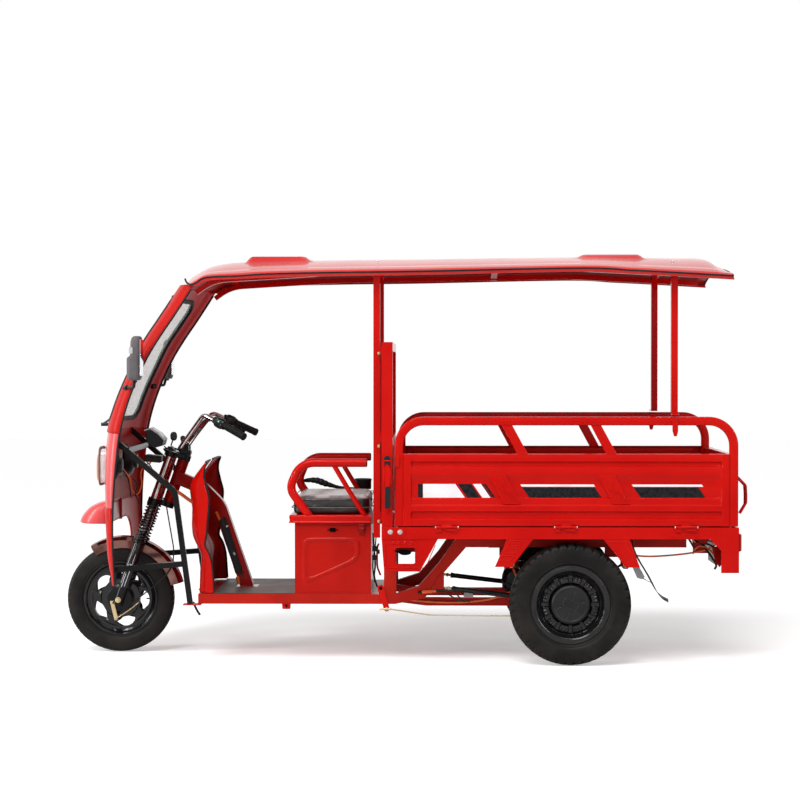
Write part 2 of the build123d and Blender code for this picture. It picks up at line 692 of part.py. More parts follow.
def torque_arm():
    """Return the low twin arm from the platform back to the axle."""
    start = -60.0 + CROSS_MEMBER_WIDTH
    outline = [
        (start, RAIL_BASE_Z), (start, RAIL_TOP_Z - 8), (120, 276), (REAR_AXLE_X, 276),
        (REAR_AXLE_X, 240), (120, 240),
    ]
    arm = plate(outline, -LOW_ARM_OUTER_Y, -LOW_ARM_INNER_Y)
    arm -= cross_rod(REAR_AXLE_X, REAR_TYRE_RADIUS, -250, 250, AXLE_TUBE_RADIUS)
    brace = box(300, 340, -210, 210, 244, 272)
    return both_sides(arm) + brace


def floor_pan():
    """Return the platform's steel pan."""
    y = PLATFORM_HALF_WIDTH
    return box(FLOOR_FRONT_X, UPRIGHT_FRONT_X, -y, y, RAIL_TOP_Z, PAN_TOP_Z)


def floor_mat():
    """Return the platform's rubber mat, cut out for the tube's foot."""
    y = PLATFORM_HALF_WIDTH - SHIELD_THICKNESS
    mat = box(-838, BOX_FRONT_X, -y, y, PAN_TOP_Z, MAT_TOP_Z)
    return mat - box(*TUBE_FOOT, PAN_TOP_Z, MAT_TOP_Z)


def seat_box():
    """Return the open box below the cushion, with a flange round its rim."""
    y = BOX_HALF_WIDTH
    flange = BOX_FLANGE
    body = box(BOX_FRONT_X, BOX_REAR_X, -y, y, PAN_TOP_Z, BOX_TOP_Z)
    rim = box(LID_FRONT_X + 3, BOX_REAR_X, -y - flange, y + flange, BOX_TOP_Z - BOX_WALL, BOX_TOP_Z)
    inside = box(BOX_FRONT_X + BOX_WALL, BOX_REAR_X - BOX_WALL, -y + BOX_WALL, y - BOX_WALL,
                 PAN_TOP_Z + BOX_WALL, BOX_TOP_Z + 1)
    part = body + rim - inside
    for centre in LID_HINGE_CENTRES:
        part -= box(LID_FRONT_X, LID_FRONT_X + 5.5, centre - LID_HINGE_THIRD - SEAT_GAP,
                    centre + LID_HINGE_THIRD + SEAT_GAP, BOX_TOP_Z - BOX_WALL, BOX_TOP_Z)
        part += lid_hinge_bar(centre - LID_HINGE_HALF, centre + LID_HINGE_HALF, LID_PIN_RADIUS)
        for side in (-1, 1):
            ends = sorted((centre + side * LID_HINGE_HALF, centre + side * (LID_HINGE_THIRD + SEAT_GAP)))
            part += lid_hinge_bar(*ends, LID_KNUCKLE_RADIUS)
            part += box(LID_FRONT_X, LID_FRONT_X + 3.5, *ends, LID_HINGE_Z - 1.5, LID_HINGE_Z)
    return part


def lid_hinge_bar(y_low, y_high, radius):
    """Return a round bar on the lid's hinge axis."""
    return cross_rod(LID_FRONT_X, LID_HINGE_Z, y_low, y_high, radius)


def seat_lid():
    """Return the lid tray that carries the cushion and the armrests."""
    y = LID_HALF_WIDTH
    skirt = 4.0
    tray = box(LID_FRONT_X, BOX_REAR_X, -y, y, LID_BASE_Z, LID_TOP_Z)
    hollow = box(LID_FRONT_X + skirt, BOX_REAR_X - skirt, -y + skirt, y - skirt,
                 LID_BASE_Z, LID_TOP_Z - skirt)
    part = tray - hollow
    for centre in LID_HINGE_CENTRES:
        ends = (centre - LID_HINGE_THIRD, centre + LID_HINGE_THIRD)
        part += lid_hinge_bar(*ends, LID_KNUCKLE_RADIUS)
        part += box(LID_FRONT_X, LID_FRONT_X + 1.5, *ends, LID_HINGE_Z, LID_BASE_Z + 1)
        part -= lid_hinge_bar(*ends, LID_PIN_RADIUS + RUNNING_CLEARANCE)
    return part


def cushion():
    """Return the cushion as a plain rounded block."""
    y = CUSHION_HALF_WIDTH
    block = box(LID_FRONT_X, -125.0, -y, y, LID_TOP_Z, CUSHION_TOP_Z)
    top_edges = block.faces().sort_by(Axis.Z)[-1].edges()
    return fillet(top_edges, 26.0)


def armrest():
    """Return the left armrest hoop with its brace."""
    y = -ARMREST_Y
    front_x = LID_FRONT_X + 12.0
    loop = bent_rod(
        [(-152.0, y, ARMREST_TOP_Z), (-440.0, y, ARMREST_TOP_Z), (front_x, y, 780.0),
         (-408.0, y, LID_TOP_Z - 2)],
        [70.0, 60.0], ARMREST_TUBE_RADIUS)
    brace = rod((-300.0, y, ARMREST_TOP_Z), (-158.0, y, LID_TOP_Z - 2), ARMREST_TUBE_RADIUS * 0.72)
    hoop = loop + brace
    return hoop - box(-600, 0, y - 60, y + 60, LID_TOP_Z - 60, LID_TOP_Z)


def hand_brake():
    """Return the parking brake lever beside the rider's place."""
    y = LID_HALF_WIDTH + 26.0
    bracket = box(-205, -165, BOX_HALF_WIDTH, y + 4, 560, 600)
    bracket += box(-205, -165, y - 4, y + 4, 560, 770)
    ratchet = rod((-226, y, 766), (-139, y, 766), 24.0)
    lever = rod((-200, y, 768), (-481, y, 778), 8.0)
    handle = rod((-481, y, 778), (-375, y, 774.2), 14.0)
    return bracket + ratchet + lever + handle


# ==================================================================== bed
def hinge_on_sill(x):
    """Return the two outer knuckles and the pin of one left side hinge."""
    half = HINGE_LENGTH / 2
    quarter = HINGE_LENGTH / 4 + SEAT_GAP
    y = -HINGE_Y
    pin = rod((x - half, y, HINGE_Z), (x + half, y, HINGE_Z), HINGE_PIN_RADIUS)
    for low, high in ((x - half, x - quarter), (x + quarter, x + half)):
        pin += rod((low, y, HINGE_Z), (high, y, HINGE_Z), KNUCKLE_RADIUS)
        pin += box(low, high, y, -BED_HALF_WIDTH, HINGE_Z - 22, HINGE_Z - 1.5)
    return pin


def hinge_on_gate(x):
    """Return the middle knuckle of one left side hinge."""
    quarter = HINGE_LENGTH / 4
    y = -HINGE_Y
    knuckle = rod((x - quarter, y, HINGE_Z), (x + quarter, y, HINGE_Z), KNUCKLE_RADIUS)
    knuckle += box(x - quarter, x + quarter, y, -BED_HALF_WIDTH, HINGE_Z + 1.5, HINGE_Z + 20)
    bore = HINGE_PIN_RADIUS + RUNNING_CLEARANCE
    return knuckle - rod((x - quarter, y, HINGE_Z), (x + quarter, y, HINGE_Z), bore)


def pressed_cut(face, x_low, x_high):
    """Return what the side panel's pressing takes off its face at Y = face."""
    top = GATE_PANEL_TOP_Z
    outline = [(face - 1.0, top), (face - 1.0, top - PRESSED_PROFILE[-1][0])]
    outline += [(face + depth, top - down) for down, depth in reversed(PRESSED_PROFILE)]
    return wall(outline, x_low, x_high)


def side_gate():
    """Return the left side gate: hoop, pressed panel, struts and knuckles."""
    outer = -BED_HALF_WIDTH
    inner = -GATE_INNER_Y
    top = GATE_PANEL_TOP_Z
    tube = GATE_TUBE
    hoop = box(GATE_FRONT_X, GATE_REAR_X, outer, inner, GATE_BASE_Z, GATE_TOP_Z)
    top_corners = hoop.edges().filter_by(Axis.Y).sort_by(Axis.Z)[-2:]
    hoop = fillet(top_corners, GATE_CORNER_RADIUS)
    hole = box(GATE_FRONT_X + tube, GATE_REAR_X - tube, outer, inner, top, GATE_TOP_Z - tube)
    hole_corners = hole.edges().filter_by(Axis.Y).sort_by(Axis.Z)[-2:]
    hole = fillet(hole_corners, GATE_CORNER_RADIUS - tube)
    field_low = GATE_FRONT_X + tube + GATE_FLANGE
    field_high = GATE_REAR_X - tube - GATE_FLANGE
    gate = hoop - hole - pressed_cut(outer, field_low, field_high)
    gate -= box(field_low, field_high, outer + GATE_INNER_RECESS, inner, GATE_BASE_Z + 34, top - 30)
    for top_low in STRUT_TOPS:
        low = top_low + STRUT_RUN
        strut = [(top_low, GATE_TOP_Z - tube), (top_low + STRUT_WIDTH, GATE_TOP_Z - tube),
                 (low + STRUT_WIDTH, top), (low, top)]
        gate += plate(strut, outer + 4, outer + 24)
    plate_top = top - PRESSED_PROFILE[5][0]
    plate_base = top - PRESSED_PROFILE[8][0]
    for high_x, low_x in BRACE_PLATES:
        brace = [(high_x, plate_top), (high_x + BRACE_PLATE_WIDTH, plate_top),
                 (low_x + BRACE_PLATE_WIDTH, plate_base), (low_x, plate_base)]
        gate += plate(brace, outer + PRESSED_PROFILE[5][1], outer + GATE_INNER_RECESS)
    for x in HINGE_CENTRES:
        gate += hinge_on_gate(x)
    clasp_low = REAR_POST_X - 28
    gate += box(clasp_low, clasp_low + 56, outer - 4, outer, GATE_TOP_Z - 88, GATE_TOP_Z - 4)
    return gate


def tail_hinge_on_bed(y):
    """Return the outer knuckles and the pin of one tailgate hinge."""
    half = HINGE_LENGTH / 2
    quarter = HINGE_LENGTH / 4 + SEAT_GAP
    x = BED_REAR_X + HINGE_OFFSET
    pin = rod((x, y - half, HINGE_Z), (x, y + half, HINGE_Z), HINGE_PIN_RADIUS)
    for low, high in ((y - half, y - quarter), (y + quarter, y + half)):
        pin += rod((x, low, HINGE_Z), (x, high, HINGE_Z), KNUCKLE_RADIUS)
        pin += box(BED_REAR_X, x, low, high, HINGE_Z - 22, HINGE_Z - 1.5)
    return pin


def tail_latch(face):
    """Return the left tailgate latch: a base plate and a bowed handle."""
    y = -GATE_INNER_Y + TAILGATE_SIDE_GAP + LATCH_INSET
    base = box(face, face + 6, y - 16, y + 16, 690, 850)
    bow = bent_rod([(face + 3, y, 838), (face + 40, y, 800), (face + 40, y, 720), (face + 14, y, 676)],
                   [14.0, 14.0], 7.0)
    return base + bow - box(face - 20, face, y - 30, y + 30, 600, 900)


@cache
def tailgate():
    """Return the tailgate with its recessed panel, knuckles and latches."""
    y = GATE_INNER_Y - TAILGATE_SIDE_GAP
    outer = BED_REAR_X - 1.0
    inner = outer - GATE_THICKNESS
    gate = box(inner, outer, -y, y, GATE_BASE_Z, TAILGATE_TOP_Z)
    gate -= box(inner, outer - GATE_INNER_RECESS, -y + 50, y - 50, GATE_BASE_Z + 34, TAILGATE_TOP_Z - 30)
    top = TAILGATE_TOP_Z
    pressing = [(outer + 1.0, top), (outer + 1.0, top - PRESSED_PROFILE[-2][0])]
    pressing += [(outer - depth, top - down) for down, depth in reversed(PRESSED_PROFILE[:-1])]
    field = y - 2 * GATE_FLANGE - LATCH_INSET
    gate -= plate(pressing, -field, field)
    quarter = HINGE_LENGTH / 4
    x = BED_REAR_X + HINGE_OFFSET
    for centre in (-TAIL_HINGE_Y, TAIL_HINGE_Y):
        gate += rod((x, centre - quarter, HINGE_Z), (x, centre + quarter, HINGE_Z), KNUCKLE_RADIUS)
        gate += box(outer, x, centre - quarter, centre + quarter, HINGE_Z + 1.5, HINGE_Z + 20)
        bore = HINGE_PIN_RADIUS + RUNNING_CLEARANCE
        gate -= rod((x, centre - quarter, HINGE_Z), (x, centre + quarter, HINGE_Z), bore)
    return gate + both_sides(tail_latch(outer))


@cache
def bed():
    """Return the bed floor, its bearers, sills, corner plates and skirts."""
    y = BED_HALF_WIDTH
    top = BED_FLOOR_Z
    part = box(BED_FRONT_X, BED_REAR_X, -y, y, top - BED_SHEET, top)
    deck_y = GATE_INNER_Y - DECK_GAP
    deck_rear_x = BED_REAR_X - GATE_THICKNESS - DECK_GAP
    part += box(HEADBOARD_REAR_X + 1.0, deck_rear_x, -deck_y, deck_y, top, DECK_TOP_Z)
    side = box(BED_FRONT_X, BED_REAR_X, -y, -y + SILL_WIDTH, SILL_BASE_Z, top)
    pitch = (BED_REAR_X - BED_FRONT_X - BEARER_WIDTH) / (BEARER_COUNT - 1)
    for index in range(BEARER_COUNT):
        x = BED_FRONT_X + index * pitch
        part += box(x, x + BEARER_WIDTH, -y + 2, y - 2, SILL_BASE_Z, top - 1)
    for beam_x in (200.0, 520.0, 840.0, 1160.0):
        side += box(beam_x, beam_x + 60, -RAIL_Y - 18, -RAIL_Y + 18, BEAM_TOP_Z, top - 1)
    corner = [(1385, top - 2), (1509, top - 2), (1509, 416), (1430, 416), (1430, 514), (1385, 562)]
    side += plate(corner, -y, -y + 3)
    side += box(BED_REAR_X - 3, BED_REAR_X, -y, -y + 145, 416, top - 2)
    skirt = [(-75, SILL_BASE_Z + 3), (177, SILL_BASE_Z + 3), (95, 421), (-64, 421)]
    side += plate(skirt, -y + 3, -y + 6) - box(-15, 73, -y, -y + 10, 456, 526)
    for outline in (
        [(483, SILL_BASE_Z + 3), (599, SILL_BASE_Z + 3), (503, 442), (428, 442)],
        [(906, SILL_BASE_Z + 3), (1024, SILL_BASE_Z + 3), (1071, 440), (1009, 440)],
    ):
        side += plate(outline, -y + 1, -y + 4)
    for x in HINGE_CENTRES:
        side += hinge_on_sill(x)
    for centre in (-TAIL_HINGE_Y, TAIL_HINGE_Y):
        part += tail_hinge_on_bed(centre)
    return part + both_sides(side)


def toggle_latch():
    """Return the left bed latch with its hanging lever."""
    y = -BED_HALF_WIDTH + 5.0
    base = box(-66, -30, y - 8, y, 828, 900)
    grip_bar = box(-58, -44, y - 16, y - 8, 690, 890)
    return base + grip_bar


def headboard():
    """Return the guard between the rider and the bed."""
    y = BED_HALF_WIDTH - 5.0
    x_low = BED_FRONT_X
    x_high = HEADBOARD_REAR_X
    top = HEADBOARD_TOP_Z
    part = box(x_low, x_high, -y, y, BED_FLOOR_Z, top)
    hole_top = top - 40
    part -= box(x_low, x_high, -y + 45, y - 45, HEADBOARD_PANEL_TOP_Z, hole_top)
    part -= box(x_low, x_high - 6, -y + 45, y - 45, BED_FLOOR_Z + 40, HEADBOARD_PANEL_TOP_Z - 36)
    for bar_y in (-290.0, -97.0, 97.0, 290.0):
        part += box(x_low + 14, x_low + 34, bar_y - 10, bar_y + 10, HEADBOARD_PANEL_TOP_Z - 1, hole_top + 1)
    return part + both_sides(toggle_latch())


# =============================================================== top side
COWL_TRIM = [
    (300.0, -1259.0), (353.0, -1262.0), (481.0, -1269.0), (565.0, -1272.0), (707.0, -1270.0),
    (806.0, -1264.0),
    (905.0, -1255.0), (1027.0, -1240.0), (1107.0, -1222.0), (1187.0, -1197.0), (1247.0, -1174.0),
    (1327.0, -1138.0), (1387.0, -1107.0), (1466.0, -1058.0), (1557.0, -996.0), (1690.0, -910.0),
    (1760.0, -866.0),
]
COWL_NOSE = [
    (300.0, -1290.0), (353.0, -1292.0), (481.0, -1320.0), (565.0, -1326.0), (707.0, -1338.0),
    (806.0, -1344.0),
    (905.0, -1344.0), (1027.0, -1334.0), (1141.0, -1306.0), (1237.0, -1268.0), (1339.0, -1220.0),
    (1441.0, -1172.0), (1532.0, -1112.0), (1690.0, -1004.0), (1760.0, -958.0),
]
COWL_LEVELS = (353.0, 481.0, 565.0, 707.0, 905.0, 1027.0, 1141.0, 1237.0, 1339.0, 1441.0, 1532.0, 1690.0)


def cowl_section(z, inset, behind):
    """Return one level of the cowl as a closed face."""
    trim = smooth(z, COWL_TRIM)
    nose = smooth(z, COWL_NOSE) + inset
    half = COWL_HALF_WIDTH - inset
    power = COWL_SQUARENESS
    shares = (-1.0, -0.985, -0.93, -0.8, -0.55, -0.25, 0.0, 0.25, 0.55, 0.8, 0.93, 0.985, 1.0)
    points = []
    for share in shares:
        depth = (1 - abs(share) ** power) ** (1 / power)
        points.append((trim - (trim - nose) * depth, share * half, z))
    front = Spline(*points)
    ends = (points[-1], (trim + behind, half, z), (trim + behind, -half, z), points[0])
    if behind > 0:
        return make_face(Wire([front] + Polyline(*ends).edges()))
    return make_face(Wire([front, Line(points[-1], points[0])]))


@cache
def cowl_solid(inset, behind):
    """Return the filled cowl, or the space inside its wall."""
    levels = list(COWL_LEVELS)
    if inset > 0:
        levels[0] = COWL_BASE_Z - 20.0
        levels[-1] = COWL_TOP_Z + 20.0
    return loft([cowl_section(z, inset, behind) for z in levels], ruled=True)


def window_prism():
    """Return the windscreen's opening as a prism along X."""
    height = WINDOW_TOP_Z - WINDOW_BASE_Z
    middle = (WINDOW_TOP_Z + WINDOW_BASE_Z) / 2
    outline = RectangleRounded(2 * WINDOW_HALF_WIDTH, height, WINDOW_CORNER)
    return extrude(Plane(origin=(-1600, 0, middle), x_dir=(0, 1, 0), z_dir=(1, 0, 0)) * outline, amount=900)


def wheel_opening():
    """Return the space below the nose for the front wheel, as a prism."""
    low = COWL_BASE_Z - 100.0
    height = WHEEL_OPENING_TOP_Z - low
    middle = (WHEEL_OPENING_TOP_Z + low) / 2
    outline = RectangleRounded(2 * WHEEL_OPENING_HALF_WIDTH, height, 90.0)
    return extrude(Plane(origin=(-1600, 0, middle), x_dir=(0, 1, 0), z_dir=(1, 0, 0)) * outline, amount=500)


def beak():
    """Return the hollow lip above the front wheel."""
    half = BEAK_HALF_WIDTH
    inner_x = -1300.0
    outer = plate([(inner_x, 706), (-1366, 703), (-1465, 653), (-1487, 606), (inner_x, 616)], -half, half)
    outline = [(inner_x, 700), (-1364, 697), (-1460, 648), (-1480, 600), (inner_x, 600)]
    inside = plate(outline, -half + 5, half - 5)
    return outer - inside - cowl_solid(COWL_WALL / 2, 400.0)


@cache
def cowl_shell():
    """Return the cowl's wall before its openings are cut."""
    return cowl_solid(0.0, 0.0) - cowl_solid(COWL_WALL, 400.0)


def cowl():
    """Return the cowl with its windscreen and wheel openings."""
    shell = cowl_shell() - window_prism() - wheel_opening()
    return largest(shell + beak() - roof_panel())


def windscreen():
    """Return the curved windscreen that fills the cowl's opening."""
    return largest(cowl_shell() & window_prism())


def headlamp():
    """Return the left headlamp lens on the cowl's face."""
    outline = RectangleRounded(LAMP_WIDTH, LAMP_HEIGHT, 40.0)
    plane = Plane(origin=(LAMP_FRONT_X, -LAMP_Y, LAMP_Z), x_dir=(0, 1, 0), z_dir=(1, 0, 0))
    lens = extrude(plane * outline, amount=120)
    lens = fillet(lens.faces().sort_by(Axis.X)[0].edges(), 12.0)
    return largest(lens - cowl_solid(0.0, 400.0))


def wiper():
    """Return the wiper's spindle, arm and blade."""
    spindle = rod((-1392, -40, 1062), (-1300, -40, 1062), 8.0) - cowl_solid(0.0, 400.0)
    arm = rod((-1386, -40, 1062), (-1352, 150, 1100), 5.0)
    blade = rod((-1352, 20, 1096), (-1352, 280, 1104), 4.0)
    return spindle + arm + blade


def mirror_unit():
    """Return the left mirror housing and its stem."""
    housing = Pos(-1161, -600, 1368) * Box(62, 122, 196)
    housing = fillet(housing.edges(), 24.0)
    stem = bent_rod([(-1161, -600, 1280), (-1170, -560, 1238), (-1220, -470, 1234)], 12.0, 7.0)
    return largest(housing + stem - cowl_shell())


ROOF_EDGE = [
    (-934.0, 1692.0), (-916.0, 1699.0), (-900.0, 1707.0), (-868.0, 1726.0), (-820.0, 1733.0),
    (-711.0, 1737.0),
    (-585.0, 1745.0), (-291.0, 1752.0), (95.0, 1757.0), (802.0, 1771.0), (1037.0, 1761.0), (1250.0, 1750.0),
    (1400.0, 1741.0), (1440.0, 1739.0), (1485.0, 1736.0),
]
ROOF_CROWN = [
    (-1002.0, 1694.0), (-967.0, 1735.0), (-947.0, 1753.0), (-898.0, 1781.0), (-857.0, 1799.0),
    (-760.0, 1814.0),
    (-600.0, 1820.0), (-291.0, 1825.0), (95.0, 1829.0), (802.0, 1838.0), (1037.0, 1837.0), (1250.0, 1834.0),
    (1392.0, 1830.0), (1440.0, 1803.0), (1478.0, 1780.0),
]
ROOF_PAD_BASE_Z = 1792.0
ROOF_PADS = [(-712.0, -395.0, 1835.0), (804.0, 1127.0, 1843.0)]
ROOF_PAD_SLOPE = 38.0
ROOF_PAD_HALF_WIDTH = 255.0


def roof_section(edge, crown):
    """Return one arch of the roof with its side lips, as a closed face."""
    rise_x = crown[0] - edge[0]
    rise_z = crown[1] - edge[1]
    rise = math.hypot(rise_x, rise_z)

    def below(y, point, down):
        """Return a point of the arch's plane, this far below its outer side."""
        return (point[0] - down * rise_x / rise, y, point[1] - down * rise_z / rise)

    y = ROOF_HALF_WIDTH
    inner_y = y - ROOF_THICKNESS
    outer = ThreePointArc(below(-y, edge, 0), below(0, crown, 0), below(y, edge, 0))
    inner = ThreePointArc(
        below(inner_y, edge, ROOF_THICKNESS), below(0, crown, ROOF_THICKNESS),
        below(-inner_y, edge, ROOF_THICKNESS)
    )
    right = Polyline(outer @ 1, below(y, edge, ROOF_LIP), below(inner_y, edge, ROOF_LIP), inner @ 0)
    left = Polyline(inner @ 1, below(-inner_y, edge, ROOF_LIP), below(-y, edge, ROOF_LIP), outer @ 0)
    return make_face(Wire([outer] + right.edges() + [inner] + left.edges()))


@cache
def roof_panel():
    """Return the arched roof with its two raised panels."""
    panel = loft([roof_section(edge, crown) for edge, crown in zip(ROOF_EDGE, ROOF_CROWN)], ruled=True)
    width = 2 * ROOF_PAD_HALF_WIDTH
    for x_low, x_high, top in ROOF_PADS:
        middle = Pos((x_low + x_high) / 2, 0)
        slope = 2 * ROOF_PAD_SLOPE
        base = Plane.XY.offset(ROOF_PAD_BASE_Z) * middle * Rectangle(x_high - x_low, width)
        cap = Plane.XY.offset(top) * middle * Rectangle(x_high - x_low - slope, width - slope)
        panel += loft([base.face(), cap.face()])
    return panel


def roof_bow(x):
    """Return one arched bow that carries the roof, tied to both side tubes."""
    edge_z = smooth(x, ROOF_EDGE) - ROOF_THICKNESS
    crown_z = smooth(x, ROOF_CROWN) - ROOF_THICKNESS
    start = x - ROOF_TUBE / 2
    y = ROOF_HALF_WIDTH
    depth = ROOF_RAIL_DEPTH + 4.0
    top = ThreePointArc((start, -y, edge_z), (start, 0, crown_z), (start, y, edge_z))
    base = ThreePointArc((start, y, edge_z - depth), (start, 0, crown_z - depth),
                         (start, -y, edge_z - depth))
    ends = [Line(top @ 1, base @ 0), Line(base @ 1, top @ 0)]
    bow = extrude(make_face(Wire([top, ends[0], base, ends[1]])), amount=ROOF_TUBE, dir=(1, 0, 0))
    half = ROOF_TUBE_Y + ROOF_TUBE / 2
    return bow & box(x - 100, x + 100, -half, half, 1500, 2000)


def roof_frame():
    """Return the roof's tubes with the front and rear posts."""
    y = ROOF_TUBE_Y
    tube = ROOF_TUBE
    side = bent_bar([(-905, -y, 1662), (-830, -y, 1716), (-291, -y, 1749), (802, -y, 1767),
                     (1440, -y, 1734)],
                    [200.0, 900.0, 900.0], tube, ROOF_RAIL_DEPTH)
    side += box(FRONT_POST_X - tube / 2, FRONT_POST_X + tube / 2, -y - tube / 2, -y + tube / 2,
                PAN_TOP_Z + 264, ROOF_POST_TOP)
    for z in (640.0, 1000.0, 1380.0):
        side += box(FRONT_POST_X, BED_FRONT_X, -y - tube / 2, -y + tube / 2, z, z + 40)
    foot_z = GATE_TOP_Z + POST_FOOT_GAP
    half = tube / 2
    side += box(REAR_POST_X - half, REAR_POST_X + half, -y - half, -y + half, foot_z, ROOF_POST_TOP)
    side += box(REAR_POST_X - tube / 2, REAR_POST_X + tube / 2, -BED_HALF_WIDTH + 4, -y, foot_z, foot_z + 6)
    part = both_sides(side)
    for x in (-800.0, FRONT_POST_X, 450.0, REAR_POST_X):
        part += roof_bow(x)
    return part - roof_panel()


# ============================================================ running gear
@cache
def rear_axle():
    """Return the axle tube, stub axles, brake plates and gear casing."""
    x = REAR_AXLE_X
    z = REAR_TYRE_RADIUS
    end = AXLE_TUBE_HALF_LENGTH
    stub_end = WHEEL_Y + REAR_TYRE_WIDTH * 0.2 + 8.0
    part = cross_rod(x, z, -end, end, AXLE_TUBE_RADIUS)
    part += cross_rod(x, z, -stub_end, stub_end, STUB_AXLE_RADIUS)
    part += both_sides(cross_rod(x, z, -end - BRAKE_PLATE_THICKNESS, -end, BRAKE_PLATE_RADIUS))
    casing = cross_rod(x, z, 20, 100, 82.0) + cross_rod(MOTOR_X, MOTOR_Z, 20, 100, MOTOR_RADIUS * 0.86)
    link = plate([(x, z + 82), (x, z - 82), (MOTOR_X, MOTOR_Z - 72), (MOTOR_X, MOTOR_Z + 72)], 24, 96)
    return part + casing + link


@cache
def motor():
    """Return the electric motor on the gear casing's left face."""
    return cross_rod(MOTOR_X, MOTOR_Z, 20 - MOTOR_LENGTH, 20, MOTOR_RADIUS)


def leaf_spring():
    """Return the left leaf spring with its eyes and the axle saddle."""
    y = RAIL_Y
    x = REAR_AXLE_X
    span = SPRING_HALF_SPAN
    low = REAR_TYRE_RADIUS + AXLE_TUBE_RADIUS
    half = SPRING_WIDTH / 2
    eye_z = 425.0
    for_arc = ThreePointArc((x - span, -y - half, eye_z), (x, -y - half, low + 34),
                            (x + span, -y - half, eye_z))
    top_ends = ((x + span, -y - half, eye_z + 24), (x - span, -y - half, eye_z + 24))
    top_arc = ThreePointArc(top_ends[0], (x, -y - half, low + 66), top_ends[1])
    ends = [Line((x + span, -y - half, eye_z), (x + span, -y - half, eye_z + 24)),
            Line((x - span, -y - half, eye_z + 24), (x - span, -y - half, eye_z))]
    leaf = extrude(make_face(Wire([for_arc, ends[0], top_arc, ends[1]])),
                   amount=SPRING_WIDTH, dir=(0, 1, 0))
    saddle = box(x - 60, x + 60, -y - half - 8, -y + half + 8, low, low + 44)
    eyes = cross_rod(x - span, eye_z + 12, -y - half, -y + half, 19.0)
    eyes += cross_rod(x + span, eye_z + 12, -y - half, -y + half, 19.0)
    return leaf + saddle + eyes - rear_axle() - frame()


def push_rod():
    """Return the left push rod from the frame's hanger to the axle."""
    y = -RAIL_Y
    front = (204.0, y, 330.0)
    rear = (REAR_AXLE_X, y, REAR_TYRE_RADIUS - 8.0)
    return rod(front, rear, PUSH_ROD_RADIUS) - rear_axle() - frame()


def brake_linkage():
    """Return the left pedal lever and its long rod to the rear brake."""
    y = -PLATFORM_HALF_WIDTH
    lever = plate([(-100, 340), (-68, 340), (-48, 228), (-70, 228)], y - 8, y)
    pull = bent_rod([(-59, y - 9, 236), (140, y - 9, 208), (690, y - 9, 204)], 300.0, 4.0)
    arm = plate([(684, 196), (700, 196), (724, 252), (706, 256)], y - 24, y - 6)
    return lever + pull + arm


def motor_cable():
    """Return the cable from the platform along the low left arm to the motor."""
    y = -LOW_ARM_OUTER_Y - SUPPLY_CABLE_RADIUS
    points = [
        (CROSS_MEMBER_WIDTH - 60, y, 272), (48, y - 1, 267), (116, y - 2, 260), (186, y - 2, 256),
        (258, y - 2, 255),
        (328, y - 1, 259), (392, y - 2, 266), (448, y - 3, 279), (494, y + 3, 297), (528, y + 22, 312),
        (546, y + 48, 321), (552, 20 - MOTOR_LENGTH, 326),
    ]
    return held_cable(points, SUPPLY_CABLE_RADIUS) - frame() - motor()


def tail_cable():
    """Return the lamp cable that hangs below the bed towards the tail."""
    y = -240.0
    points = [
        (900 + CROSS_MEMBER_WIDTH, y, 532), (976, y - 1, 502), (1024, y - 2, 480), (1084, y - 3, 468),
        (1144, y - 3, 465), (1204, y - 2, 468), (1264, y - 1, 473), (1324, y - 1, 480), (1384, y - 2, 491),
        (1436, y - 4, 513), (1468, y - 6, 540), (1480, y - 8, SILL_BASE_Z),
    ]
    return held_cable(points, CABLE_RADIUS + 1.0) - frame() - bed()


def mudflap():
    """Return the left hanging mudflap behind the rear wheel."""
    front = [(1030, SILL_BASE_Z), (1058, 470), (1104, 380), (1160, 312), (1204, 281)]
    back = [(x + 7, z) for x, z in reversed(front)]
    inner_y = -PLATFORM_HALF_WIDTH - 28.0
    return plate(front + back, -BED_HALF_WIDTH + 8, inner_y) - bed()


def tail_lamp():
    """Return the left tail lamp on the corner plate."""
    x = BED_REAR_X
    return box(x, x + 14, -BED_HALF_WIDTH + 12, -BED_HALF_WIDTH + 132, 509, 590)


def number_plate():
    """Return the blank number plate and its bracket."""
    face = 1452.0
    board = box(face, face + 3, -110, 110, 420, 560)
    stay = box(face - 18, face, -70, 70, 470, BED_FLOOR_Z - BED_SHEET)
    part = board + stay
    for y in (-60.0, 60.0):
        part -= rod((face - 30, y, 530), (face + 10, y, 530), 3.5)
    return part


# ================================================================= export
def export(name, shape):
    """Write one sub-part to its own file."""
    export_step(shape, f"parts/{name}.step")


os.makedirs("parts", exist_ok=True)
for name, shape in {
    "frame": frame(),
    "floor_mat": floor_mat(),
    "down_tube": down_tube(),
    "cable_channel": cable_channel(),
    "leg_shield": leg_shield(),
    "cowl_frame": cowl_frame(),
    "cowl": cowl(),
    "windscreen": windscreen(),
    "wiper": wiper(),
    "seat_box": seat_box(),
    "seat_lid": seat_lid(),
    "hand_brake": hand_brake(),
    "cushion": cushion(),
    "bed": bed(),
    "headboard": headboard(),
    "tailgate": tailgate(),
    "roof_panel": roof_panel(),
    "roof_frame": roof_frame(),
    "rear_axle": rear_axle(),
    "motor": motor(),
    "brake_linkage": brake_linkage(),
    "number_plate": number_plate(),
    "motor_cable": motor_cable(),
    "tail_cable": tail_cable(),
    "brake_cable": brake_cable(),
    "fork": fork(),
    "front_mudguard": front_mudguard(),
    "handlebar": handlebar(),
    "bar_clamp": bar_clamp(),
    "instrument": instrument(),
    "front_rim": front_rim(),
    "front_tyre": front_tyre(),
}.items():
    export(name, shape)
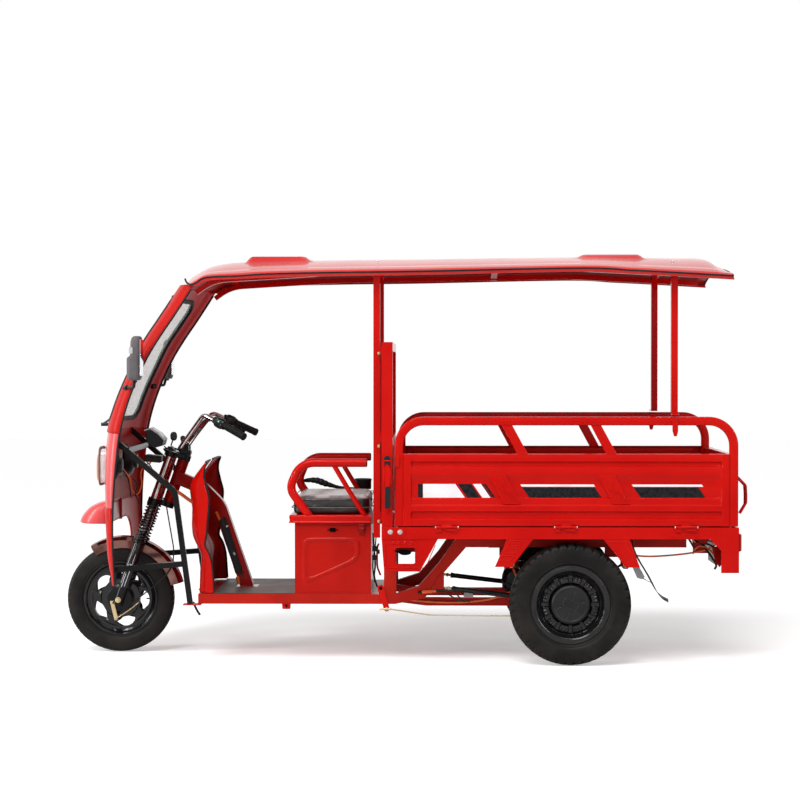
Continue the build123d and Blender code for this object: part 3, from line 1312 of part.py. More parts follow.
for name, shape in {
    "headlamp": headlamp(),
    "mirror": mirror_unit(),
    "armrest": armrest(),
    "side_gate": side_gate(),
    "leaf_spring": leaf_spring(),
    "push_rod": push_rod(),
    "mudflap": mudflap(),
    "tail_lamp": tail_lamp(),
    "fork_spring": fork_spring(-1),
    "grip": grip(),
    "control": control(),
    "rear_rim": rear_rim(),
    "rear_tyre": rear_tyre(),
    "hub_cap": hub_cap(),
}.items():
    export(f"{name}_left", shape)
    export(f"{name}_right", right_hand(shape))
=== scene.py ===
"""Looks of a roofed electric cargo tricycle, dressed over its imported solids.

Lengths are in millimetres in the part's own frame: the front wheel is towards
-X, the rider's left-hand side is -Y and the ground is Z = 0. A shape is worked
out as whole arrays of points, and becomes a mesh in metres when it is placed.
"""
from __future__ import annotations

import json
import logging
import math
from collections.abc import Callable, Sequence
from dataclasses import dataclass, replace
from enum import Enum
from functools import cache, cached_property

import bmesh
import bpy
import numpy as np
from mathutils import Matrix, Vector

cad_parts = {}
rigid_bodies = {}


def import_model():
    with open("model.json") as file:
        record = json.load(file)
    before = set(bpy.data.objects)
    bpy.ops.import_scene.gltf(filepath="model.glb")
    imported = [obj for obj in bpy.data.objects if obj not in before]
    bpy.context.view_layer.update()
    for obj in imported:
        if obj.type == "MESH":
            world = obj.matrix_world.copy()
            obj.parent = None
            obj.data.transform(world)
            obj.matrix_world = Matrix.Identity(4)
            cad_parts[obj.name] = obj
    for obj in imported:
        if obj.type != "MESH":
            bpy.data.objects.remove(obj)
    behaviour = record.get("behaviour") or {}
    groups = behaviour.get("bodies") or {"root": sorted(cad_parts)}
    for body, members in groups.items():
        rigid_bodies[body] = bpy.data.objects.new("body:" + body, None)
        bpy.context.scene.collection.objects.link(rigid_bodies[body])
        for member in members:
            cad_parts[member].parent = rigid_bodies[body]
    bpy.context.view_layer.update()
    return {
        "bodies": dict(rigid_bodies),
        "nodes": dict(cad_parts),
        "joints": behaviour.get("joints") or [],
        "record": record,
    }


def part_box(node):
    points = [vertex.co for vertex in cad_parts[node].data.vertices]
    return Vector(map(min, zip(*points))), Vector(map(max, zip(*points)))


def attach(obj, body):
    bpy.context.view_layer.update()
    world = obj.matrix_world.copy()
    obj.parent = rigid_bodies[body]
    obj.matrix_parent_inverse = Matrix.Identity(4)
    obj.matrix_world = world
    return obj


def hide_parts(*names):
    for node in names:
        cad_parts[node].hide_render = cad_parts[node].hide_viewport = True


Array = np.ndarray
Colour = tuple[float, float, float]
Point = tuple[float, float, float]
LOG = logging.getLogger("tricycle")
METRE = 1000.0
REAR: Point = (1.0, 0.0, 0.0)
ACROSS: Point = (0.0, 1.0, 0.0)
LEFT: Point = (0.0, -1.0, 0.0)
UP: Point = (0.0, 0.0, 1.0)


class Body(Enum):
    """The moving bodies of the tricycle."""

    CHASSIS = "chassis"
    STEERING = "steering"
    FRONT_WHEEL = "front_wheel"
    REAR_WHEEL_LEFT = "rear_wheel_left"
    REAR_WHEEL_RIGHT = "rear_wheel_right"
    SIDE_GATE_LEFT = "side_gate_left"
    SIDE_GATE_RIGHT = "side_gate_right"
    TAILGATE = "tailgate"
    LID = "seat_lid"


STEERED = (Body.STEERING, Body.STEERING)
REAR_WHEELS = (Body.REAR_WHEEL_LEFT, Body.REAR_WHEEL_RIGHT)


# ------------------------------------------------------------------ shading
class Signal:
    """A number that varies over a surface. Arithmetic on it adds Math nodes."""

    def __init__(self, recipe: Recipe, socket: bpy.types.NodeSocket) -> None:
        """Wrap one output socket of a recipe's tree."""
        self.recipe = recipe
        self.socket = socket

    def _maths(self, operation: str, *values: Signal | float) -> Signal:
        """Return a Math node's result for these values."""
        node = self.recipe.node("ShaderNodeMath", {"operation": operation}, dict(enumerate(values)))
        return Signal(self.recipe, node.outputs[0])

    def __add__(self, other: Signal | float) -> Signal:
        """Return the sum."""
        return self._maths("ADD", self, other)

    __radd__ = __add__

    def __rsub__(self, other: float) -> Signal:
        """Return a number less this signal."""
        return self._maths("SUBTRACT", other, self)

    def __mul__(self, other: Signal | float) -> Signal:
        """Return the product."""
        return self._maths("MULTIPLY", self, other)

    __rmul__ = __mul__

    def larger(self, other: Signal) -> Signal:
        """Return the larger of two signals."""
        return self._maths("MAXIMUM", self, other)

    def step(self, low: float, high: float) -> Signal:
        """Return 0 below low, 1 above high and a smooth rise between them."""
        settings = {"interpolation_type": "SMOOTHSTEP"}
        node = self.recipe.node("ShaderNodeMapRange", settings, {0: self, 1: low, 2: high})
        return Signal(self.recipe, node.outputs[0])


class Recipe:
    """The node tree of a material or a world, around the shader that it feeds."""

    def __init__(self, owner: bpy.types.Material | bpy.types.World,
                 shader: str = "Principled BSDF") -> None:
        """Start on the owner's own nodes.

        Args:
            owner: The material or world.
            shader: The name of its shader node.
        """
        owner.use_nodes = True
        self.tree = owner.node_tree
        self.shader = self.tree.nodes[shader]

    @cached_property
    def place(self) -> bpy.types.NodeSocket:
        """The part's own coordinates."""
        return self.node("ShaderNodeTexCoord").outputs["Object"]

    def node(
        self,
        kind: str,
        settings: dict[str, object] | None = None,
        inputs: dict[str | int, object] | None = None,
    ) -> bpy.types.Node:
        """Add one node.

        Args:
            kind: The node's type name.
            settings: Its own properties, set before its sockets.
            inputs: The values or links of its sockets, by name or number.

        Returns:
            The new node.
        """
        node = self.tree.nodes.new(kind)
        for name, value in (settings or {}).items():
            setattr(node, name, value)
        for name, value in (inputs or {}).items():
            self.feed(node.inputs[name], value)
        return node

    def feed(self, socket: bpy.types.NodeSocket, value: object) -> None:
        """Set a socket's value, or link it to a signal or an output socket."""
        if isinstance(value, Signal):
            self.tree.links.new(value.socket, socket)
        elif isinstance(value, bpy.types.NodeSocket):
            self.tree.links.new(value, socket)
        elif socket.type == "RGBA":
            socket.default_value = (*value, 1.0)
        else:
            socket.default_value = value

    def noise(self, scale: float, detail: float = 3.0, stretch: Point = (1.0, 1.0, 1.0)) -> Signal:
        """Return cloudy noise on the part's own coordinates, in cells per metre."""
        mapping = self.node("ShaderNodeMapping", None, {"Vector": self.place, "Scale": stretch})
        inputs = {"Vector": mapping.outputs[0], "Scale": scale, "Detail": detail}
        return Signal(self, self.node("ShaderNodeTexNoise", None, inputs).outputs["Fac"])

    def mix(self, share: Signal, first: object, second: object) -> bpy.types.NodeSocket:
        """Return a colour between two colours or colour sockets."""
        node = self.node("ShaderNodeMix", {"data_type": "RGBA"}, {0: share, 6: first, 7: second})
        return node.outputs[2]

    def relief(self, height: Signal, depth: float, edge: float) -> None:
        """Bump the surface by a height of this depth, with edges softened by a radius in metres."""
        inputs: dict[str | int, object] = {"Height": height, "Distance": depth, "Strength": 1.0}
        if edge > 0:
            inputs["Normal"] = self.node("ShaderNodeBevel", {"samples": 4}, {"Radius": edge}).outputs[0]
        self.set(Normal=self.node("ShaderNodeBump", None, inputs).outputs[0])

    def set(self, **values: object) -> None:
        """Feed the shader's sockets; an underscore in a name stands for a space."""
        for name, value in values.items():
            self.feed(self.shader.inputs[name.replace("_", " ")], value)


@dataclass(frozen=True)
class Finish:
    """A surface with cloudy colour and gloss, a fine grain and soft edges.

    Attributes:
        name: What the finish is called.
        slot: The record's material slot it stands for.
        colour: Its main colour.
        shade: The colour that its cloudiness leads to; in a wrap, the colour of its painted highlight.
        cloud: Clouds per metre.
        roughness: Its middle roughness.
        spread: How far the clouds move the roughness.
        metallic: 1 for bare metal.
        coat: The clear coat's weight.
        coat_roughness: The coat's own roughness.
        specular: The reflection level at right angles.
        grain: Grains per metre.
        depth: The grain's depth in metres.
        edge: The radius in metres to which edges are softened.
    """

    name: str
    slot: str
    colour: Colour
    shade: Colour
    cloud: float = 5.0
    roughness: float = 0.4
    spread: float = 0.1
    metallic: float = 0.0
    coat: float = 0.0
    coat_roughness: float = 0.06
    specular: float = 0.5
    grain: float = 300.0
    depth: float = 0.0001
    edge: float = 0.0015

    def dress(self, recipe: Recipe) -> None:
        """Feed the shader: clouds of noise blend the two colours and shift the roughness.

        Args:
            recipe: The node tree of the material.
        """
        clouds = recipe.noise(self.cloud, 4.0).step(0.3, 0.75)
        recipe.set(
            Base_Color=recipe.mix(clouds, self.colour, self.shade),
            Roughness=clouds * self.spread + (self.roughness - self.spread / 2),
            Metallic=self.metallic,
            Coat_Weight=self.coat,
            Coat_Roughness=self.coat_roughness,
            Specular_IOR_Level=self.specular,
        )
        recipe.relief(recipe.noise(self.grain, 2.0), self.depth, self.edge)


@dataclass(frozen=True)
class Glass(Finish):
    """A clear sheet or lens that lets most light through."""

    clearness: float = 0.8

    def dress(self, recipe: Recipe) -> None:
        """Feed the shader: its alpha is 1 less the clearness, with faint clouds."""
        recipe.set(
            Base_Color=recipe.mix(recipe.noise(self.cloud), self.colour, self.shade),
            Roughness=recipe.noise(30.0) * self.spread + self.roughness,
            Alpha=1.0 - self.clearness * recipe.noise(3.0).step(-0.6, 0.2),
            Coat_Weight=self.coat,
            Specular_IOR_Level=self.specular,
        )


@dataclass(frozen=True)
class Wrapped(Finish):
    """Dark upholstery in a crinkled clear wrap, with a painted highlight that lightens its upward faces."""

    def dress(self, recipe: Recipe) -> None:
        """Feed the shader: painted sheen = step(normal's rise) * (0.3 + 0.7 * crinkle), a highlight painted
        into the colour of faces that look up.

        Args:
            recipe: The node tree of the material.
        """
        crinkle = recipe.noise(self.cloud, 5.0, (1.0, 0.5, 1.6)).step(0.35, 0.62)
        up = recipe.node("ShaderNodeNewGeometry").outputs["Normal"]
        rise = Signal(recipe, recipe.node("ShaderNodeSeparateXYZ", None, {0: up}).outputs[2])
        # painted highlight: faces that look up are mixed towards the pale colour, as if lit from above
        painted_sheen = rise.step(0.55, 0.98) * (0.3 + 0.7 * crinkle)
        recipe.set(
            Base_Color=recipe.mix(painted_sheen, self.colour, self.shade),
            Roughness=self.roughness + self.spread * crinkle,
            Coat_Weight=self.coat,
            Coat_Roughness=self.coat_roughness,
            Specular_IOR_Level=self.specular,
        )
        recipe.relief(crinkle + 0.25 * recipe.noise(self.grain, 3.0), self.depth, self.edge)


RED = Finish("red_enamel", "red_paint", (0.5, 0.0045, 0.002), (0.42, 0.002, 0.001), 3.0, 0.14, 0.08,
             specular=0.1, grain=420.0, depth=0.00003, edge=0.002)
# a darker copy of the red: painted shade on the seat box
BOX_SHADED_RED = replace(RED, name="box_enamel_painted_shade", colour=(0.4, 0.007, 0.003), shade=(0.32, 0.004, 0.002),
                  roughness=0.16)
ROOF_RED = replace(RED, name="roof_enamel", coat=0.7, coat_roughness=0.25)
# a darker red for the inner faces of sheets: painted shade
SHADED_LINING = replace(RED, name="lining_painted_shade", colour=(0.42, 0.008, 0.005), shade=(0.32, 0.006, 0.004),
                 roughness=0.4)
# the cowl's red with a painted reflection mixed in: its colour is pinked to stand for light glancing off
# the front
COWL_SHEEN_RED = replace(RED, name="cowl_enamel_painted_sheen", colour=(0.56, 0.03, 0.032), shade=(0.48, 0.024, 0.026),
                   coat=1.0, coat_roughness=0.45)
# a darker copy of the red enamel: painted shade for the parts that sit in shade
SHADED_RED = replace(RED, name="shaded_red_enamel", slot="dark_red_paint",
                   colour=(0.3, 0.006, 0.003), shade=(0.22, 0.004, 0.003))
# a darker copy of the red for the frame below the bed: painted shade, with a duller gloss
FRAME_SHADED_RED = replace(RED, name="frame_enamel_painted_shade", colour=(0.42, 0.012, 0.005), shade=(0.3, 0.008, 0.004),
                    roughness=0.3)
BLACK = Finish("black_enamel", "black_paint", (0.005, 0.005, 0.006), (0.009, 0.008, 0.008), 6.0, 0.2, 0.12,
               specular=0.16, grain=350.0, depth=0.00004)
GLOSS = replace(BLACK, name="gloss_black", roughness=0.1, spread=0.05, specular=0.34)
POLISHED = replace(BLACK, name="polished_black", roughness=0.12)
# a black without reflection: painted shade where it fills the box slot and the lever's hole, plain black on
# the plug and bolts
BLACK_AND_PAINTED_SHADE = replace(BLACK, name="black_and_painted_shade", colour=(0.002, 0.002, 0.002), shade=(0.003, 0.003, 0.003),
               roughness=0.8, specular=0.0)
CHROME = Finish("chrome", "chrome_plate", (0.62, 0.58, 0.57), (0.4, 0.33, 0.32), 22.0, 0.1, 0.1,
                metallic=1.0, grain=60.0, depth=0.00008, edge=0.001)
MIRROR_SILVER = replace(CHROME, name="mirror_silver", colour=(0.8, 0.82, 0.83), shade=(0.76, 0.78, 0.8),
                        roughness=0.06, spread=0.02)
OILY_CHROME = replace(CHROME, name="oily_chrome", colour=(0.2, 0.19, 0.19), shade=(0.1, 0.1, 0.1), edge=0.0)
LAMP_MIRROR = replace(CHROME, name="lamp_mirror", roughness=0.12, edge=0.0)
# a brownish smoked chrome whose strong dark clouds are painted reflection streaks
SMOKED_PAINTED_STREAKS = replace(CHROME, name="smoked_chrome_painted_streaks", colour=(0.3, 0.15, 0.125), shade=(0.05, 0.02, 0.017),
                 cloud=9.0, roughness=0.16)
BRASS = Finish("yellow_plated_steel", "zinc_steel", (0.62, 0.46, 0.22), (0.5, 0.42, 0.3), 40.0, 0.34, 0.16,
               metallic=1.0, depth=0.00005, edge=0.0006)
ZINC = replace(BRASS, name="zinc_plated_steel", colour=(0.62, 0.6, 0.56), shade=(0.45, 0.43, 0.4))
TYRE = Finish("tyre_compound", "tyre_rubber", (0.007, 0.0064, 0.0062), (0.017, 0.0145, 0.013), 9.0, 0.5,
              0.2, specular=0.1, grain=500.0, depth=0.0002, edge=0.001)
RUBBER = Finish("trim_rubber", "soft_rubber", (0.008, 0.008, 0.009), (0.015, 0.014, 0.014), 9.0, 0.5, 0.15,
                specular=0.14, grain=700.0, depth=0.00008, edge=0.001)
PIPING = replace(RUBBER, name="seat_piping", colour=(0.16, 0.12, 0.12), shade=(0.1, 0.08, 0.08))
STRAP = replace(RUBBER, name="strap_rubber", colour=(0.05, 0.045, 0.045))
MAT = replace(RUBBER, name="floor_rubber", colour=(0.05, 0.035, 0.03), shade=(0.1, 0.06, 0.05), grain=240.0,
              depth=0.0004, cloud=7.0)
PLASTIC = Finish("moulded_black", "black_plastic", (0.008, 0.008, 0.009), (0.016, 0.016, 0.017), 8.0, 0.36,
                 0.12, specular=0.2, grain=900.0, depth=0.00012)
GREY = replace(PLASTIC, name="moulded_grey", colour=(0.11, 0.1, 0.105), shade=(0.16, 0.15, 0.155))
SILVER = replace(PLASTIC, name="moulded_silver", colour=(0.42, 0.4, 0.42), shade=(0.3, 0.29, 0.3))
WOVEN = replace(SILVER, name="woven_strap", slot="soft_rubber", grain=420.0, depth=0.0009)
# the pale second colour is the painted highlight on the pad's upward faces
VINYL = Wrapped("wrapped_vinyl", "black_vinyl", (0.014, 0.012, 0.012), (0.6, 0.57, 0.56), 14.0, 0.26, 0.3,
                coat=0.3, coat_roughness=0.12, specular=0.35, grain=60.0, depth=0.003, edge=0.0)
SCREEN = Glass("screen_glass", "clear_glass", (0.8, 0.9, 0.86), (0.77, 0.88, 0.84), 1.2, 0.06, 0.02,
               coat=0.3, clearness=0.66)
MIRROR_GREY = replace(PLASTIC, name="mirror_shell", colour=(0.09, 0.082, 0.085), shade=(0.13, 0.12, 0.122),
                      roughness=0.6)
LENS = Glass("lamp_lens", "lamp_lens", (0.85, 0.86, 0.85), (0.7, 0.72, 0.72), 20.0, 0.06, 0.05,
             coat=0.6, clearness=0.35)
AMBER = Finish("amber_lens", "lamp_lens", (0.85, 0.24, 0.01), (0.7, 0.16, 0.005), 30.0, 0.15, 0.05,
               coat=0.8)
RED_LENS = Finish("red_lens", "red_lens", (0.42, 0.006, 0.006), (0.3, 0.004, 0.004), 30.0, 0.16, 0.05,
                  coat=0.8)
CABLE = Finish("orange_sheath", "orange_rubber", (0.72, 0.13, 0.012), (0.55, 0.08, 0.008), 20.0, 0.45, 0.1)
PLATE = Finish("blank_plate", "plate_metal", (0.62, 0.62, 0.6), (0.5, 0.5, 0.48), 8.0, 0.4, 0.1)
WHITE_FILM = Finish("white_film", "plate_metal", (0.8, 0.78, 0.79), (0.62, 0.58, 0.62), 7.0, 0.3, 0.1,
                    coat=0.4, depth=0.00001, edge=0.0)
BLACK_FILM = Finish("black_film", "black_plastic", (0.006, 0.006, 0.008), (0.014, 0.014, 0.016), 60.0, 0.3,
                    0.1, specular=0.12, depth=0.00001, edge=0.0)
GREEN = replace(AMBER, name="green_button", slot="black_plastic", colour=(0.05, 0.5, 0.3),
                shade=(0.03, 0.4, 0.25))
GREEN_SHEATH = replace(GREEN, name="green_sheath", colour=(0.02, 0.2, 0.1), shade=(0.02, 0.14, 0.08))


@cache
def material_of(finish: Finish) -> bpy.types.Material:
    """Return the one material of a finish."""
    material = bpy.data.materials.new(finish.name)
    finish.dress(Recipe(material))
    return material


# ------------------------------------------------------------------- shapes
@dataclass
class Shell:
    """Points in millimetres and the faces between them, in groups of one corner count."""

    points: Array
    faces: list[Array]

    def __add__(self, other: Shell) -> Shell:
        """Join two shells into one."""
        shift = len(self.points)
        return Shell(np.vstack([self.points, other.points]), self.faces + [f + shift for f in other.faces])

    def mirrored(self) -> Shell:
        """Return the mirror image in the centre plane, with its faces still outward."""
        return Shell(self.points * np.array([1.0, -1.0, 1.0]), [f[:, ::-1] for f in self.faces])

    def turned(self, degrees: float, centre: Sequence[float]) -> Shell:
        """Turn the shell about a wheel's axle.

        Args:
            degrees: The angle, right-handed about the axle.
            centre: A point on the axle, which lies across the part.

        Returns:
            The turned shell: arm * cos + (axis x arm) * sin + axis * (axis . arm) * (1 - cos).
        """
        axis = np.array(ACROSS)
        arm = self.points - np.asarray(centre, float)
        turn = math.radians(degrees)
        along = np.outer(arm @ axis, axis) * (1 - math.cos(turn))
        spun = arm * math.cos(turn) + np.cross(axis, arm) * math.sin(turn) + along
        return Shell(spun + np.asarray(centre, float), self.faces)

    def flipped(self) -> Shell:
        """Return the shell with its faces turned round."""
        return Shell(self.points, [f[:, ::-1] for f in self.faces])

    def repeated(self, count: int, centre: Sequence[float]) -> Shell:
        """Return copies of the shell evenly round a wheel's axle."""
        return joined([self.turned(360.0 * index / count, centre) for index in range(count)])


def joined(shells: Sequence[Shell]) -> Shell:
    """Return several shells as one."""
    counts = np.cumsum([0] + [len(shell.points) for shell in shells[:-1]])
    faces = [face + int(shift) for shell, shift in zip(shells, counts) for face in shell.faces]
    return Shell(np.vstack([shell.points for shell in shells]), faces)


def both(shell: Shell) -> Shell:
    """Return a left-hand shell with its mirror image."""
    return shell + shell.mirrored()


def unit(vectors: Array) -> Array:
    """Return vectors at length one."""
    return vectors / np.maximum(np.linalg.norm(vectors, axis=-1, keepdims=True), 1e-9)


def smoothstep(value: Array, low: float, high: float) -> Array:
    """Return 0 below low, 1 above high, and 3t^2 - 2t^3 between them."""
    share = np.clip((np.asarray(value, float) - low) / (high - low), 0.0, 1.0)
    return share * share * (3.0 - 2.0 * share)


def curve(points: Sequence[Sequence[float]], count: int) -> Array:
    """Return a smooth line through points, a Catmull-Rom spline at even steps of its parameter.

    Args:
        points: The places that the line passes.
        count: How many points it gets.

    Returns:
        The line's points, one row each.
    """
    known = np.asarray(points, float)
    padded = np.vstack([2 * known[0] - known[1], known, 2 * known[-1] - known[-2]])
    place = np.linspace(0.0, len(known) - 1.0, count)
    start = np.minimum(place.astype(int), len(known) - 2)
    t = (place - start)[:, None]
    a, b, c, d = (padded[start + shift] for shift in range(4))
    return 0.5 * (2 * b + (c - a) * t + (2 * a - 5 * b + 4 * c - d) * t**2 + (3 * b - a - 3 * c + d) * t**3)


def table(rows: Sequence[Sequence[float]], places: Array) -> Array:
    """Read a table smoothly at some places.

    Between two rows the value is the cubic whose slope at each row is the mean
    of the slopes beside it.

    Args:
        rows: Rows of a place and the values there.
        places: The places to read it at; past an end, the end's values hold.

    Returns:
        One row of values for each place.
    """
    known = np.asarray(rows, float)
    x, y = known[:, 0], known[:, 1:]
    slope = np.gradient(y, x, axis=0)
    spot = np.clip(np.asarray(places, float), x[0], x[-1])
    low = np.clip(np.searchsorted(x, spot, side="right") - 1, 0, len(x) - 2)
    step = (x[low + 1] - x[low])[..., None]
    t = ((spot - x[low])[..., None]) / step
    ends = (2 * t**3 - 3 * t**2 + 1) * y[low] + (3 * t**2 - 2 * t**3) * y[low + 1]
    return ends + ((t**3 - 2 * t**2 + t) * slope[low] + (t**3 - t**2) * slope[low + 1]) * step


def bend(points: Sequence[Sequence[float]], radii: Sequence[float], steps: int = 8) -> Array:
    """Return straight runs joined by true arcs.

    Args:
        points: The corners, ends included.
        radii: One radius for each corner between the ends.
        steps: How many steps each arc takes.

    Returns:
        The path's points. An arc is a rational quadratic whose middle weight is
        the cosine of half the turn, which makes it part of a circle.
    """
    corners = np.asarray(points, float)
    t = np.linspace(0.0, 1.0, steps + 1)[:, None]
    path = [corners[:1]]
    for before, corner, after, radius in zip(corners, corners[1:], corners[2:], radii):
        inward, outward = unit(before - corner), unit(after - corner)
        half = math.acos(float(np.clip(inward @ outward, -1.0, 1.0))) / 2
        reach = radius / math.tan(half)
        weight = math.sin(half)
        shares = ((1 - t) ** 2, 2 * weight * t * (1 - t), t**2)
        ends = (corner + inward * reach, corner, corner + outward * reach)
        path.append(sum(s * e for s, e in zip(shares, ends)) / sum(shares))
    return np.vstack(path + [corners[-1:]])


def lattice(points: Array, wrap_rows: bool = False, wrap_columns: bool = False,
            caps: bool = False) -> Shell:
    """Return the quads of a grid of points.

    Args:
        points: An array of rows, columns and coordinates.
        wrap_rows: Whether the last row joins the first.
        wrap_columns: Whether the last column joins the first.
        caps: Whether the first and the last row are filled.

    Returns:
        The grid as a shell.
    """
    rows, columns = points.shape[:2]
    index = np.arange(rows * columns).reshape(rows, columns)
    ends = [index[:1, ::-1], index[-1:]] if caps else []
    if wrap_rows:
        index = np.vstack([index, index[:1]])
    if wrap_columns:
        index = np.hstack([index, index[:, :1]])
    quads = np.stack([index[:-1, :-1], index[:-1, 1:], index[1:, 1:], index[1:, :-1]], -1)
    return Shell(points.reshape(-1, 3), [quads.reshape(-1, 4)] + ends)


def ringed(width: float, height: float, power: float = 2.0, sides: int = 16) -> Array:
    """Return a superellipse outline: |x/w|^p + |y/h|^p = 1, with half sizes w and h."""
    turn = np.arange(sides) * 2 * np.pi / sides
    bulge = np.stack([np.cos(turn), np.sin(turn)], -1)
    return np.sign(bulge) * np.abs(bulge) ** (2.0 / power) * np.array([width, height])


def sweep(path: Array, section: Array, across: Sequence[float] | Array, closed: bool = False) -> Shell:
    """Carry a closed outline along a path.

    Args:
        path: The path's points.
        section: The outline, as distances to the side and upwards, or one for each point.
        across: The direction that the outline's first axis keeps to, or one for each point.
        closed: Whether the path joins its own start.

    Returns:
        A tube whose rows stand square to the path: point + side * a + up * b.
    """
    if closed:
        tangent = unit(np.roll(path, -1, 0) - np.roll(path, 1, 0))
    else:
        tangent = unit(np.gradient(path, axis=0))
    side = np.broadcast_to(np.asarray(across, float), path.shape)
    side = unit(side - tangent * np.sum(side * tangent, -1, keepdims=True))
    up = np.cross(tangent, side)
    outline = np.broadcast_to(section, (len(path), *section.shape[-2:]))
    points = path[:, None] + side[:, None] * outline[..., :1] + up[:, None] * outline[..., 1:]
    return lattice(points, wrap_rows=closed, wrap_columns=True, caps=not closed)


def tube(path: Array, radius: float, across: Sequence[float] = ACROSS, sides: int = 14) -> Shell:
    """Return a round tube along a path."""
    return sweep(path, ringed(radius, radius, 2.0, sides), across)


def strands(routes: Sequence[Sequence[Point]], radii: Sequence[float], count: int = 40,
            sides: int = 10) -> Shell:
    """Return smooth round wires, each through the points of its route."""
    return joined([tube(curve(route, count), radius, sides=sides) for route, radius in zip(routes, radii)])


def rod(start: Sequence[float], end: Sequence[float], radius: float, sides: int = 16) -> Shell:
    """Make a round bar between two points, as a circle carried along a line.

    Args:
        start: The middle of one end.
        end: The middle of the other end.
        radius: The bar's radius.
        sides: How many sides stand for the round.

    Returns:
        The bar, its ends chamfered and closed.
    """
    low, high = np.asarray(start, float), np.asarray(end, float)
    along = unit(high - low)
    lip = along * min(radius * 0.2, 1.5)
    across = np.eye(3)[int(np.argmin(np.abs(along)))]
    path = np.array([low, low + lip, high - lip, high])
    outline = ringed(1.0, 1.0, 2.0, sides)[None] * np.array([0.8, 1.0, 1.0, 0.8])[:, None, None] * radius
    return sweep(path, outline, across)


def lathe(profile: Sequence[Sequence[float]], centre: Sequence[float], axis: Sequence[float] = ACROSS,
          sides: int = 64, closed: bool = False) -> Shell:
    """Turn a profile of points (a, b) about an axis: centre + axis * b + (cos t, sin t) * a.

    Args:
        profile: Radius and distance along the axis of each profile point.
        centre: The point that distances are counted from.
        axis: The axis's direction.
        sides: How many steps a full turn takes.
        closed: Whether the profile joins its own start, as a tyre's does.

    Returns:
        The turned shell. A profile that starts or ends on the axis is closed there.
    """
    rows = np.asarray(profile, float)
    along = unit(np.asarray(axis, float))
    first = unit(np.cross(along, np.eye(3)[int(np.argmin(np.abs(along)))]))
    second = np.cross(along, first)
    turn = np.arange(sides) * 2 * np.pi / sides
    spoke = np.cos(turn)[:, None] * first + np.sin(turn)[:, None] * second
    points = np.asarray(centre, float) + along * rows[:, None, 1:] + spoke[None] * rows[:, None, :1]
    return lattice(points, wrap_rows=closed, wrap_columns=True)


def slab(outline: Array, offset: Sequence[float]) -> Shell:
    """Return a flat plate: an outline in space and its copy at an offset, with walls between."""
    edge = np.asarray(outline, float)
    return lattice(np.stack([edge, edge + np.asarray(offset, float)]), wrap_columns=True, caps=True)


def block(low: Sequence[float], high: Sequence[float]) -> Shell:
    """Return the box between two corners, for a piece that gets its edges from a bevel."""
    (x0, y0, z0), (x1, y1, z1) = low, high
    return slab(np.array([(x0, y0, z0), (x1, y0, z0), (x1, y0, z1), (x0, y0, z1)]), (0.0, y1 - y0, 0.0))


def side_plate(outline: Sequence[Sequence[float]], y_low: float, y_high: float) -> Shell:
    """Return a plate of (x, z) corners between two places across the part."""
    edge = np.array([(x, y_low, z) for x, z in outline])
    return slab(edge, (0.0, y_high - y_low, 0.0))


def bolt(centre: Sequence[float], out: Sequence[float], radius: float = 7.0, washer: float = 1.5) -> Shell:
    """Return a domed hexagon bolt head on a round washer."""
    disc = [(0.01, 0.0), (radius * washer, 0.0), (radius * washer, 1.6), (radius, 2.0)]
    head = [(radius, 1.6), (radius, 6.0), (radius * 0.75, 7.6), (0.01, 8.0)]
    return lathe(disc, centre, out, 20) + lathe(head, centre, out, 6)


@dataclass
class Piece:
    """How one shell becomes an object of the scene.

    Attributes:
        name: The object's name.
        finish: Its finish.
        body: The body it rides on.
        replaces: The solids that it stands for.
        bevel: The width of its bevelled edges.
        steps: The bevel's segments.
        wall: The thickness that an open sheet gets, inwards.
        outward: Whether its faces are turned outwards by their own closed shape.
        sharp: The angle above which an edge stays crisp.
        lining: The finish of a wall's inner side, where it has its own.
    """

    name: str
    finish: Finish
    body: Body = Body.CHASSIS
    replaces: tuple[str, ...] = ()
    bevel: float = 0.0
    steps: int = 2
    wall: float = 0.0
    outward: bool = True
    sharp: float = 35.0
    lining: Finish | None = None

    def place(self, shell: Shell) -> bpy.types.Object:
        """Make the shell a mesh at its place in the part.

        Args:
            shell: The piece's points and faces.

        Returns:
            The object, dressed and riding on its body.
        """
        mesh = bpy.data.meshes.new(self.name)
        faces = [corner for group in shell.faces for corner in group.tolist()]
        mesh.from_pydata((shell.points / METRE).tolist(), [], faces)
        work = bmesh.new()
        work.from_mesh(mesh)
        bmesh.ops.remove_doubles(work, verts=work.verts, dist=1e-5)
        bmesh.ops.dissolve_degenerate(work, edges=work.edges, dist=1e-6)
        if self.outward:
            bmesh.ops.recalc_face_normals(work, faces=work.faces)
        work.to_mesh(mesh)
        work.free()
        mesh.polygons.foreach_set("use_smooth", np.ones(len(mesh.polygons), bool))
        mesh.set_sharp_from_angle(angle=math.radians(self.sharp))
        thing = bpy.data.objects.new(self.name, mesh)
        bpy.context.scene.collection.objects.link(thing)
        for finish in filter(None, (self.finish, self.lining)):
            mesh.materials.append(material_of(finish))
        self.finish_edges(thing)
        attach(thing, self.body.value)
        if self.replaces:
            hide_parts(*self.replaces)
        LOG.info("%s: %d faces on %s", self.name, len(mesh.polygons), self.body.value)
        return thing

    def finish_edges(self, thing: bpy.types.Object) -> None:
        """Give the object its wall and its bevels.

        Args:
            thing: The object of this piece.
        """
        if self.wall:
            solid = thing.modifiers.new("wall", "SOLIDIFY")
            solid.thickness = self.wall / METRE
            solid.offset = -1.0
            solid.material_offset = 1 if self.lining else 0
        if self.bevel:
            soft = thing.modifiers.new("edges", "BEVEL")
            soft.width = self.bevel / METRE
            soft.segments = self.steps
            soft.limit_method = "ANGLE"
            soft.angle_limit = math.radians(self.sharp)
            soft.harden_normals = True


